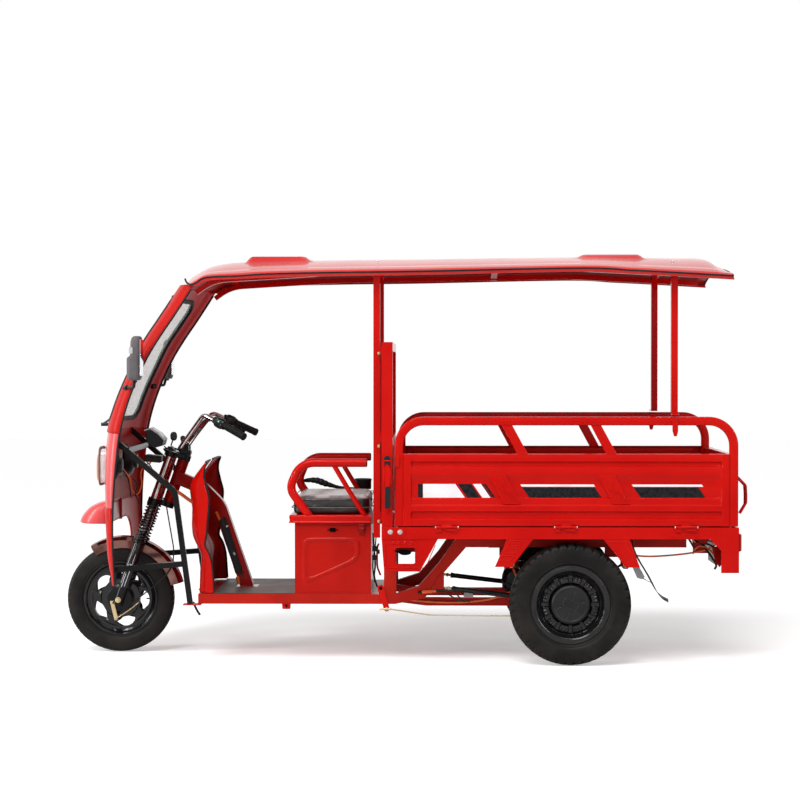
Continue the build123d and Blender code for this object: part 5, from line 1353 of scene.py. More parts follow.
@dataclass
class Cowl:
    """The front cowl: one curved sheet with a windscreen and room for the wheel."""

    half: float = 500.0
    power: float = 2.6
    beak_root: float = -1322.0
    base: float = 353.0
    top: float = 1694.0
    window: tuple[float, float, float, float] = (428.0, 1085.0, 1642.0, 60.0)
    wheel: tuple[float, float, float] = (392.0, 612.0, 90.0)
    across: int = 72
    trim: tuple[tuple[float, float], ...] = ((300, -1259), (353, -1262), (481, -1269), (565, -1272),
                                             (707, -1270), (806, -1264), (905, -1255), (1027, -1240),
                                             (1107, -1222), (1187, -1197), (1247, -1174), (1327, -1138),
                                             (1387, -1107), (1466, -1058), (1557, -996), (1690, -910),
                                             (1760, -866))
    nose: tuple[tuple[float, float], ...] = ((300, -1290), (353, -1292), (481, -1320), (565, -1326),
                                             (707, -1338), (806, -1344), (905, -1344), (1027, -1334),
                                             (1141, -1306), (1237, -1268), (1339, -1220), (1441, -1172),
                                             (1532, -1112), (1690, -1004), (1760, -958))

    def build(self) -> None:
        """Place the cowl, its screen, its trims and its beak."""
        Piece("cowl_shell", COWL_SHEEN_RED, replaces=("cowl",), wall=5.0, outward=False,
              lining=SHADED_LINING).place(self.shell())
        Piece("cowl_screen", SCREEN, replaces=("windscreen",), wall=4.0, outward=False).place(self.screen())
        Piece("cowl_screen_seal", RUBBER, outward=False).place(self.seal())
        Piece("cowl_edge_trim", RUBBER, outward=False).place(self.edge_trim())
        Piece("cowl_beak", COWL_SHEEN_RED, wall=4.0, outward=False).place(self.beak())
        Piece("cowl_beak_trim", GREY, outward=False).place(self.beak_trim())

    def at(self, turn: Array, z: Array, inset: float = 0.0) -> Array:
        """Return points of the cowl.

        x = trim(z) - (trim(z) - nose(z)) * |cos t|^(2/p) and
        y = half * sign(sin t) * |sin t|^(2/p).

        Args:
            turn: The angle t round each level, from -90 to 90 degrees, in radians.
            z: The height.
            inset: How far inside the outer face.

        Returns:
            The points.
        """
        trim, nose = table(self.trim, z)[..., 0], table(self.nose, z)[..., 0] + inset
        share = 2.0 / self.power
        x = trim - (trim - nose) * np.abs(np.cos(turn)) ** share
        y = (self.half - inset) * np.sign(np.sin(turn)) * np.abs(np.sin(turn)) ** share
        return np.stack([x, y, z], -1)

    def angle(self, y: Array) -> Array:
        """Return the angle at a place across the cowl."""
        return np.sign(y) * np.arcsin((np.abs(y) / self.half) ** (self.power / 2))

    def border(self, inner: Array, low: float, high: float, ways: Sequence[str], counts: Sequence[int],
               rings: int) -> Shell:
        """Return the rings between an opening and the level lines and edges round it.

        Args:
            inner: The opening's outline as (y, z) points.
            low: The height of the border's lower side.
            high: The height of its upper side.
            ways: The sides in order: up, over, down and back.
            counts: How many steps each side takes.
            rings: How many rings there are.

        Returns:
            The border as a shell.
        """
        right = np.pi / 2
        corners = {"up": ((-right, low), (-right, high)), "over": ((-right, high), (right, high)),
                   "down": ((right, high), (right, low)), "back": ((right, low), (-right, low))}
        sides = [np.linspace(*corners[way], count, endpoint=False) for way, count in zip(ways, counts)]
        outer = np.vstack(sides + [np.array([corners[ways[-1]][1]])])
        core = np.stack([self.angle(inner[:, 0]), inner[:, 1]], -1)
        share = np.linspace(0.0, 1.0, rings)[:, None, None]
        grid = core * (1 - share) + outer * share
        return lattice(self.at(grid[..., 0], grid[..., 1]))

    def window_outline(self) -> Array:
        """Return the windscreen opening, from one lower corner round to it again."""
        half, low, high, corner = self.window
        path = bend([(0.0, low, 0.0), (-half, low, 0.0), (-half, high, 0.0), (half, high, 0.0),
                     (half, low, 0.0), (0.0, low, 0.0)], [corner] * 4, 16)[:-1, :2]
        cut = int(np.argmin(np.linalg.norm(path - np.array([-half, low]), axis=1)))
        loop = np.vstack([path[cut:], path[:cut + 1]])
        marks = [(-half, high), (half, high), (half, low)]
        return stations(loop, marks, [40, self.across, 40, self.across])

    def shell(self) -> Shell:
        """Return the cowl's outer face."""
        half, top, corner = self.wheel
        arch = bend([(-half, self.base, 0.0), (-half, top, 0.0), (half, top, 0.0), (half, self.base, 0.0)],
                    [corner] * 2, 16)[:, :2]
        arch = stations(arch, [(-half, top), (half, top)], [20, self.across, 20])
        turn = np.linspace(-np.pi / 2, np.pi / 2, self.across + 1)
        levels = np.linspace(700.0, 1030.0, 24)[:, None]
        band = lattice(self.at(np.broadcast_to(turn, (24, len(turn))),
                               np.broadcast_to(levels, (24, len(turn)))))
        glass = self.border(self.window_outline(), 1030.0, self.top, ("up", "over", "down", "back"),
                            (40, self.across, 40, self.across), 9)
        wheel = self.border(arch, self.base, 700.0, ("up", "over", "down"), (20, self.across, 20), 9)
        return joined([band, glass.flipped(), wheel.flipped()]).flipped()

    def screen(self) -> Shell:
        """Return the screen, spread between the opening's outline and its middle height."""
        edge = self.window_outline()[:-1]
        middle = np.array([0.0, (self.window[1] + self.window[2]) / 2])
        share = np.linspace(1.0, 0.02, 26)[:, None, None]
        spots = middle + (edge - middle) * share
        return lattice(self.at(self.angle(spots[..., 0]), spots[..., 1]), wrap_columns=True)

    def seal(self) -> Shell:
        """Carry the rubber's section round the opening, inside and outside of the sheet."""
        edge = self.window_outline()[:-1]
        outer = self.at(self.angle(edge[:, 0]), edge[:, 1])
        lean = unit(self.at(self.angle(edge[:, 0]), edge[:, 1], 5.0) - outer)
        path = outer + lean * 2.0
        return sweep(path, ringed(9.0, 11.0, 3.2, 20), lean, closed=True)

    def edge_trim(self) -> Shell:
        """Return the rubber that caps both upright edges."""
        z = np.linspace(self.base + 2, 1676.0, 90)
        path = self.at(np.full(90, -np.pi / 2), z) + np.array([-3.0, -1.0, 0.0])
        return both(tube(path, 4.6, ACROSS, 12))

    def beak(self) -> Shell:
        """Return the lip above the wheel: x = root - reach(z) * (1 - |u|^3)^(1/3), for u from -1 to 1."""
        u = np.linspace(-1.0, 1.0, 49)[None]
        rows = np.array([(706.0, 12.0, 140.0), (704.0, 46.0, 146.0), (696.0, 78.0, 149.0),
                         (676.0, 118.0, 150.0), (650.0, 144.0, 150.0), (626.0, 160.0, 150.0),
                         (608.0, 165.0, 150.0)])
        rows = curve(rows, 34)
        plan = (1 - np.abs(u) ** 3) ** (1 / 3)
        x = self.beak_root - rows[:, 1:2] * plan
        points = np.stack([x, rows[:, 2:3] * u, np.broadcast_to(rows[:, :1], x.shape)], -1)
        return lattice(points).flipped()

    def beak_trim(self) -> Shell:
        """Return the grey edge under the beak."""
        u = np.linspace(-0.999, 0.999, 60)
        x = self.beak_root - 161.0 * (1 - np.abs(u) ** 3) ** (1 / 3)
        path = np.stack([x, 146.0 * u, np.full(60, 609.0)], -1)
        return sweep(path, ringed(4.0, 3.0, 3.0, 12), UP)


@dataclass
class Headlamp:
    """A lamp in its bezel with an amber outer edge."""

    y: float = -262.0
    z: float = 880.0
    front: float = -1366.0
    width: float = 200.0
    height: float = 165.0
    bowl_depth: float = 34.0

    def build(self) -> None:
        """Place both lamps' bowls, bulbs and amber sides over the clear lenses."""
        pair(self.lens(), "lamp_lens", LENS, solids=("headlamp",), outward=False)
        rim = self.outline(1.0, 12.0, 5.0)
        pair(sweep(rim, ringed(4.0, 6.0, 3.0, 12), REAR, closed=True), "lamp_rim", GREY, outward=False)
        bowl = [(8, 26), (30, 20), (52, 6), (64, -8), (66, -8), (66, -12), (50, 2), (30, 14), (8, 20)]
        pair(lathe(bowl, (self.front + self.bowl_depth, self.y + 14, self.z), REAR, 48, closed=True),
             "lamp_bowl", LAMP_MIRROR)
        back = [(80, 6), (80, 12), (62, 34), (36, 46), (34, 60), (0.01, 62)]
        pair(lathe(back, (self.front + 44, self.y, self.z), REAR, 48), "lamp_back", PLASTIC)
        bulb = [(0.01, -14), (6, -12), (9, -6), (9, 14), (0.01, 20)]
        pair(lathe(bulb, (self.front + self.bowl_depth, self.y + 14, self.z), REAR, 24), "lamp_bulb",
             WHITE_FILM)
        amber = curve([(self.front + 8, -346, self.z + 52), (self.front + 5, -349, self.z + 20),
                       (self.front + 5, -349, self.z - 40), (self.front + 9, -346, self.z - 64)], 20)
        pair(sweep(amber, ringed(5.0, 12.0, 3.0, 14), REAR), "lamp_indicator", AMBER)

    def outline(self, scale: float, x: float, grow: float = 0.0) -> Array:
        """Return a rounded-rectangle ring of the lamp at a depth behind its face."""
        ring = ringed(self.width / 2 * scale + grow - 4, self.height / 2 * scale + grow - 4, 5.0, 96)
        return np.stack([np.full(96, self.front + x), self.y + ring[:, 0], self.z + ring[:, 1]], -1)

    def lens(self) -> Shell:
        """Return the domed lens, ring by ring from its middle."""
        rings = [self.outline(s, 26 * (1 - math.sqrt(1 - min(s, 0.999) ** 6)) * 0.5) for s in
                 (0.02, 0.2, 0.4, 0.6, 0.75, 0.87, 0.95, 1.0)]
        rings += [self.outline(1.0, x) for x in (16.0, 26.0, 44.0)]
        return lattice(np.stack(rings), wrap_columns=True)


# --------------------------------------------------------------------- roof
@dataclass
class Roof:
    """The pressed roof: an arch with a shouldered side, two raised pads and a rubber edge."""

    half: float = 508.0
    lip: float = 20.0
    edge: tuple[tuple[float, float], ...] = ((-934, 1692), (-916, 1699), (-900, 1707), (-868, 1726),
                                             (-820, 1733), (-711, 1737), (-585, 1745), (-291, 1752),
                                             (95, 1757), (802, 1771), (1037, 1761), (1250, 1750),
                                             (1400, 1741), (1440, 1739), (1485, 1736))
    crown: tuple[tuple[float, float], ...] = (
        (-1002, 1694), (-967, 1735), (-947, 1753), (-898, 1781), (-857, 1799), (-760, 1814), (-600, 1820),
        (-291, 1825), (95, 1829), (802, 1838), (1037, 1837), (1250, 1834), (1392, 1830), (1440, 1803),
        (1478, 1780))
    pads: tuple[tuple[float, float, float], ...] = ((-712.0, -395.0, 1835.0), (804.0, 1127.0, 1843.0))

    def build(self) -> None:
        """Place the panel and its rubber."""
        Piece("roof_skin", ROOF_RED, replaces=("roof_panel",), wall=4.5, outward=False,
              lining=SHADED_LINING).place(self.skin())
        Piece("roof_edge_rubber", RUBBER, outward=False).place(self.rubber())
        Piece("roof_rear_rubber", RUBBER, outward=False).place(self.rear_rubber())
        bolts = [bolt((x, -self.half * 0.62, 1806.0), (0, -0.25, 1), 5.0) for x in (-98.0, 1236.0)]
        Piece("roof_bolts", ZINC).place(both(joined(bolts)))

    def ribs(self, share: Array) -> tuple[Array, Array]:
        """Return the edge's and the crown's points at shares along the rows of the two tables."""
        rows = np.linspace(0.0, 1.0, len(self.edge))
        edge, crown = (table(np.column_stack([rows, side]), share) for side in (self.edge, self.crown))
        return edge, crown

    def skin(self) -> Shell:
        """Return the panel.

        Each arch runs from edge to crown as 1 - u^2, raised by a shoulder
        beside the edge, and every pad lifts it to its own height over a
        smooth slope.
        """
        share = np.linspace(0.0, 1.0, 260)[:, None]
        edge, crown = (side[:, None] for side in self.ribs(share[:, 0]))
        u = np.sin(np.linspace(-np.pi / 2, np.pi / 2, 91))[None]
        arch = (1 - np.abs(u) ** 2)[..., None]
        shoulder = 5.0 * (smoothstep(np.abs(u), 0.8, 0.9) * (1 - smoothstep(np.abs(u), 0.97, 1.0)))
        place = edge + (crown - edge) * arch
        x, z = place[..., 0], place[..., 1] + shoulder
        y = np.broadcast_to(self.half * u, x.shape)
        for low, high, top in self.pads:
            lift = smoothstep(x, low, low + 42) * (1 - smoothstep(x, high - 42, high))
            lift = lift * (1 - smoothstep(np.abs(y), 216.0, 258.0))
            z = z + (top - z) * lift
        grid = np.stack([x, y, z], -1)
        down = unit((edge - crown)[:, 0])
        down = np.stack([down[:, 0], np.zeros(len(down)), down[:, 1]], -1)
        down[:, 2] = np.minimum(down[:, 2], -0.2)
        lips = [grid[:, :1] + down[:, None] * depth for depth in (self.lip, self.lip * 0.5)]
        right = [row * np.array([1.0, -1.0, 1.0]) for row in reversed(lips)]
        return lattice(np.concatenate([lips[0], lips[1], grid, right[0], right[1]], 1)).flipped()

    def rubber(self) -> Shell:
        """Return the black strip along each long side, turned up at the front."""
        share = np.linspace(0.045, 0.998, 200)
        edge, _ = self.ribs(share)
        path = np.stack([edge[:, 0], np.full(200, -self.half + 1.0), edge[:, 1] - 3.0], -1)
        tip = curve([(-950, -self.half + 12, 1722), (-941, -self.half + 8, 1704), path[0]], 10)[:-1]
        return both(sweep(np.vstack([tip, path]), ringed(4.5, 4.0, 3.0, 12), ACROSS))

    def rear_rubber(self) -> Shell:
        """Return the rubber across the rear edge."""
        u = np.linspace(-1.0, 1.0, 60)
        x = 1485.0 - 7.0 * (1 - u**2)
        path = np.stack([x - 2.0, (self.half - 3) * u, 1734.0 + 44.0 * (1 - u**2)], -1)
        return sweep(path, ringed(3.5, 6.0, 3.0, 12), REAR)


# --------------------------------------------------------------------- seat
@dataclass
class SeatBox:
    """The box under the seat: embossed side, slot, toggle lock, lid tray and cushion."""

    half: float = 345.0
    front: float = -471.0
    rear: float = -126.0
    panel: tuple[tuple[float, float], ...] = ((-429.0, 551.0), (-183.0, 551.0), (-183.0, 462.0),
                                              (-429.0, 352.0))

    def build(self) -> None:
        """Place the side panels, slot, lock, lid and cushion."""
        pair(self.side(), "box_side", BOX_SHADED_RED, outward=False)
        # painted shade: a dark plate stands for the open slot in the box side
        slot = side_plate([(-313, 602), (-286, 602), (-286, 584), (-313, 584)], -349.5, -345.2)
        tabs = side_plate([(-323, 595), (-276, 595), (-276, 591), (-323, 591)], -349.4, -345.6)
        Piece("box_slot_shade", BLACK_AND_PAINTED_SHADE, bevel=1.0).place(slot + tabs)
        Piece("box_lock", SHADED_RED, bevel=1.5).place(self.lock())
        Piece("lid_rim", RED, Body.LID).place(self.tray())
        self.cushion()

    def side(self) -> Shell:
        """Return the pressed side: y = -half - 1 - 3.6 * ridge + 0.5 * inside.

        Both masks come from the distance to the slanted panel: the ridge runs
        along its outline, and the other is 1 within it.
        """
        x = np.linspace(self.front + 6, self.rear - 6, 130)
        z = np.linspace(312.0, 612.0, 120)[:, None]
        distance = self.distance(*np.broadcast_arrays(x, z))
        ridge = 1 - smoothstep(np.abs(distance + 2.0), 3.0, 11.0)
        inside = smoothstep(-distance, 2.0, 14.0)
        y = -self.half - 1.0 - 3.6 * ridge + 0.5 * inside
        grid = np.stack(np.broadcast_arrays(x, y, z), -1)
        back = grid.copy()
        back[..., 1] = -self.half + 1.0
        return lattice(np.concatenate([back[:1], grid, back[-1:]], 0)).flipped()

    def distance(self, x: Array, z: Array) -> Array:
        """Measure how far points lie from the slanted panel, as a soft maximum over its sides.

        Args:
            x: Places along the box.
            z: Heights.

        Returns:
            The distances, below zero inside: log(sum(exp(sharp * distance to a side))) / sharp.
        """
        corners = np.asarray(self.panel)
        middle = corners.mean(0)
        sides = []
        for start, end in zip(corners, np.roll(corners, -1, 0)):
            normal = unit(np.array([end[1] - start[1], start[0] - end[0]]))
            normal = normal * np.sign((start - middle) @ normal)
            sides.append((x - start[0]) * normal[0] + (z - start[1]) * normal[1])
        sharp = 0.075
        return np.log(np.exp(np.stack(sides) * sharp).sum(0)) / sharp

    def lock(self) -> Shell:
        """Return the toggle lock on the left side."""
        y = -self.half
        base = side_plate([(-188, 630), (-150, 630), (-150, 606), (-156, 572), (-180, 570), (-188, 590)],
                          y - 6, y)
        arm = side_plate([(-182, 622), (-158, 622), (-160, 586), (-178, 586)], y - 14, y - 5)
        claw = rod((-184, y - 12, 600), (-154, y - 12, 600), 4.0)
        claw += rod((-184, y - 12, 618), (-154, y - 12, 618), 4.5)
        return base + arm + claw

    def tray(self) -> Shell:
        """Return the lid's rolled rim, carried round the box."""
        y = 350.0
        path = bend([(-127, -y, 645), (-487, -y, 645), (-487, y, 645), (-127, y, 645)], [14.0, 14.0], 8)
        out = unit(np.cross(unit(np.gradient(path, axis=0)), UP))
        section = curve([(-10, 15.7), (0, 16.4), (6, 15.2), (9.4, 10), (9.8, 3), (8.2, -5), (8.0, -11),
                         (10.4, -16), (13, -18), (11.5, -20), (8, -17), (6.4, -10), (6.3, 4), (5, 11),
                         (-2, 14.6), (-10, 15.0)], 46)
        return sweep(path, section, -out)

    def cushion(self) -> None:
        """Blow up the seat pad, wrap it in vinyl and run its piping."""
        blank = self.blank()
        pad = Piece("seat_cushion", VINYL, Body.LID, ("cushion",), outward=True, sharp=180.0).place(blank)
        inflate(pad, 5.0, 4.0, 20, 6.0)
        limit_to(pad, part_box("cushion"))
        for index, (z, inset) in enumerate(((692.0, 1.0), (733.0, 2.5))):
            line = self.loop(z, inset)
            piece = sweep(line, ringed(2.2, 2.2, 2.0, 8), UP, closed=True)
            Piece(f"seat_piping_{index + 1}", PIPING, Body.LID, outward=False).place(piece)

    def loop(self, z: float, inset: float) -> Array:
        """Return the cushion's outline at a height."""
        x0, x1, y = -489.0 + inset, -127.0 - inset, 318.0 - inset
        corners = [(-300, -y, z), (x0, -y, z), (x0, y, z), (x1, y, z), (x1, -y, z), (-300, -y, z)]
        return bend(corners, [36.0] * 4, 8)[:-1]

    def blank(self) -> Shell:
        """Return the pad before it swells: stacked outlines, drawn in at the top and the base."""
        rows = [(662, 150), (662, 60), (663, 12), (668, 7), (680, 5), (692, 7), (704, 5), (722, 5),
                (731, 8), (737, 15), (740, 34), (741, 80), (741, 140)]
        rings = np.stack([self.loop(z, inset) for z, inset in rows])
        return lattice(rings, wrap_columns=True, caps=True)


def inflate(thing: bpy.types.Object, voxel: float, pressure: float, frames: int, cap: float) -> None:
    """Swell a closed pad with cloth pressure.

    Args:
        thing: The pad.
        voxel: The remesh size in millimetres.
        pressure: The pressure inside.
        frames: How many frames the cloth runs.
        cap: The furthest a point may move, in millimetres.
    """
    voxels = thing.modifiers.new("voxels", "REMESH")
    voxels.mode = "VOXEL"
    voxels.voxel_size = voxel / METRE
    voxels.use_smooth_shade = True
    apply_modifiers(thing)
    count = len(thing.data.vertices)
    start = np.empty(count * 3)
    thing.data.vertices.foreach_get("co", start)
    cloth = thing.modifiers.new("cloth", "CLOTH")
    cloth.settings.use_pressure = True
    cloth.settings.uniform_pressure_force = pressure
    cloth.settings.tension_stiffness = 12.0
    cloth.settings.compression_stiffness = 12.0
    cloth.settings.bending_stiffness = 0.6
    cloth.settings.effector_weights.gravity = 0.0
    cloth.point_cache.frame_start = 1
    cloth.point_cache.frame_end = frames
    for frame in range(1, frames + 1):
        bpy.context.scene.frame_set(frame)
    apply_modifiers(thing)
    bpy.context.scene.frame_set(1)
    moved = np.empty(count * 3)
    thing.data.vertices.foreach_get("co", moved)
    step = (moved - start).reshape(-1, 3)
    length = np.linalg.norm(step, axis=1, keepdims=True)
    step = step * np.minimum(1.0, cap / METRE / np.maximum(length, 1e-9))
    thing.data.vertices.foreach_set("co", (start.reshape(-1, 3) + step).ravel())
    thing.data.update()


def apply_modifiers(thing: bpy.types.Object) -> None:
    """Make the mesh what its modifiers give, and drop them.

    Args:
        thing: The object whose modifiers are applied.
    """
    graph = bpy.context.evaluated_depsgraph_get()
    mesh = bpy.data.meshes.new_from_object(thing.evaluated_get(graph), depsgraph=graph)
    thing.modifiers.clear()
    old = thing.data
    thing.data = mesh
    bpy.data.meshes.remove(old)
    mesh.polygons.foreach_set("use_smooth", np.ones(len(mesh.polygons), bool))


def limit_to(thing: bpy.types.Object, room: tuple[Vector, Vector]) -> None:
    """Press a pad's points back into its room.

    Args:
        thing: The pad's object, its mesh in metres.
        room: The room's lowest and highest corners.
    """
    low, high = (np.array(corner) for corner in room)
    spots = np.empty(len(thing.data.vertices) * 3)
    thing.data.vertices.foreach_get("co", spots)
    inside = np.clip(spots.reshape(-1, 3), low, high)
    thing.data.vertices.foreach_set("co", inside.ravel())
    thing.data.update()


@dataclass
class SeatSides:
    """The armrest hoops, and the hand brake with the round pot behind it."""

    y: float = -338.0
    top: float = 896.0
    tube_radius: float = 19.2
    brace_radius: float = 11.3
    brake_y: float = 382.0

    def build(self) -> None:
        """Place the hoops, their caps, the lever and the pot."""
        bodies = (Body.LID, Body.LID)
        y = self.y
        path = bend([(-147, y, self.top), (-446, y, self.top), (-496, y, 779), (-408, y, 656)],
                    [92.0, 66.0], 16)
        hoop = tube(path, self.tube_radius, ACROSS, 28)
        brace = tube(bend([(-296, y, self.top - 8), (-226, y, 770), (-154, y, 656)], [300.0], 6),
                     self.brace_radius)
        pair(hoop + brace, "armrest_hoop", RED, bodies, ("armrest",), outward=False)
        cap = lathe([(0.01, 0), (17.4, 0), (17.4, 3), (15, 4.4), (0.01, 4.6)], (-147.4, y, self.top), REAR,
                    28)
        pair(cap, "armrest_cap", PLASTIC, bodies)
        feet = [lathe([(24, 0), (24, 2), (20, 4)], (x, y, 660.4), UP, 28) for x in (-410.0, -156.0)]
        pair(joined(feet), "armrest_weld", RED, bodies, outward=False, wall=1.5)
        Piece("brake_lever", PLASTIC, replaces=("hand_brake",)).place(self.lever())
        Piece("brake_pot", PLASTIC).place(self.pot())
        Piece("brake_bracket", BLACK, bevel=1.5).place(self.bracket())

    def lever(self) -> Shell:
        """Return the hand lever: a swollen, curved handle that narrows to a bar."""
        y = self.brake_y
        spine = curve([(-481, y, 776), (-462, y, 779), (-432, y, 781), (-400, y, 777), (-368, y, 765),
                       (-336, y, 755), (-300, y, 746), (-250, y, 741), (-205, y, 738)], 70)
        swell = curve([(3, 0), (9, 0), (12.5, 0), (15.5, 0), (15, 0), (10.5, 0), (8, 0), (7, 0), (7, 0)],
                      70)[:, :1]
        grip = swell + 1.1 * np.sin(np.arange(70)[:, None] * 1.1) * (swell > 11)
        return sweep(spine, ringed(1.0, 1.0, 2.4, 24)[None] * grip[:, None], ACROSS)

    def pot(self) -> Shell:
        """Return the round pot with its rolled rim and sunk top."""
        profile = [(0.01, 738), (38, 738), (40, 742), (40, 778), (42, 781), (42, 788), (38, 789),
                   (37, 784), (36, 764), (0.01, 763)]
        return lathe(profile, (-183.5, self.brake_y, 0), UP, 48)

    def bracket(self) -> Shell:
        """Return the bracket from the box to the lever and pot."""
        y = self.brake_y
        foot = block((-205, 346.5, 560), (-165, 352, 612)) + block((-205, 350, 560), (-165, y, 566))
        return foot + block((-205, y - 4, 560), (-165, y + 4, 744))


# -------------------------------------------------------------- leg shield
@dataclass
class LegShield:
    """The curved shield in front of the driver's legs, with rubber on its edge."""

    half: float = 345.0
    front_line: tuple[tuple[float, float], ...] = ((306, -909), (400, -906), (488, -904), (530, -925),
                                                   (562, -938), (592, -942), (700, -940), (811, -942),
                                                   (835, -928), (862, -908), (896, -882))
    rear_line: tuple[tuple[float, float], ...] = ((306, -838), (380, -843), (436, -848), (489, -864),
                                                  (515, -879), (545, -878), (573, -872), (621, -868),
                                                  (690, -862), (732, -860), (790, -874), (845, -884),
                                                  (880, -878), (896, -870))

    def build(self) -> None:
        """Place the shield and its rubber."""
        Piece("shield_sheet", RED, replaces=("leg_shield",), wall=3.0, outward=False,
              lining=SHADED_LINING).place(self.sheet())
        Piece("shield_rubber", RUBBER, outward=False).place(self.rubber())

    def sheet(self) -> Shell:
        """Return the sheet: the front line across the middle, bent round to the rear line at its sides."""
        z = np.linspace(306.0, 896.0, 110)
        front = table(self.front_line, z)[:, 0][:, None]
        rear = table(self.rear_line, z)[:, 0][:, None]
        across = np.linspace(0.0, 1.0, 26)[None]
        pleat = 7.0 * np.cos(across * np.pi * 3.0) * smoothstep(1 - across, 0.05, 0.3)
        top = 1 - smoothstep(z, 760.0, 896.0)[:, None]
        corner = 60.0
        flat_y = (self.half - corner) * across
        flat_x = front + pleat * top
        arc = np.linspace(0.0, np.pi / 2, 12)[None][:, 1:]
        depth = np.minimum(corner, (rear - front) * 0.9)
        arc_y = self.half - corner + corner * np.sin(arc) + 0 * front
        arc_x = front + pleat[:, -1:] * top + depth * (1 - np.cos(arc))
        wall = np.linspace(0.0, 1.0, 8)[None][:, 1:]
        wall_x = arc_x[:, -1:] + (rear - arc_x[:, -1:]) * wall
        wall_y = self.half - 7.0 * wall**3 + 0 * front
        x = np.hstack([flat_x, arc_x, wall_x])
        y = np.hstack([np.broadcast_to(flat_y, flat_x.shape), arc_y, wall_y])
        notch = 54.0 * smoothstep(z, 640.0, 680.0)[:, None]
        y = notch + y * (1 - notch / self.half)
        left = np.stack([x, -y, np.broadcast_to(z[:, None], x.shape)], -1)
        return both(lattice(left))

    def rubber(self) -> Shell:
        """Return the rubber along the rear edges and over the top."""
        z = np.linspace(312.0, 890.0, 90)
        rear = table(self.rear_line, z)[:, 0]
        front = table(self.front_line, np.array([896.0]))[0, 0]
        upright = np.stack([rear + 1, np.full(90, -self.half + 6), z], -1)
        over = curve([upright[-1], (-872, -self.half + 22, 896), (front + 2, -self.half + 70, 897),
                      (front, -self.half * 0.5, 897), (front, -58, 897)], 30)[1:]
        return both(tube(np.vstack([upright, over]), 4.6, ACROSS, 10))


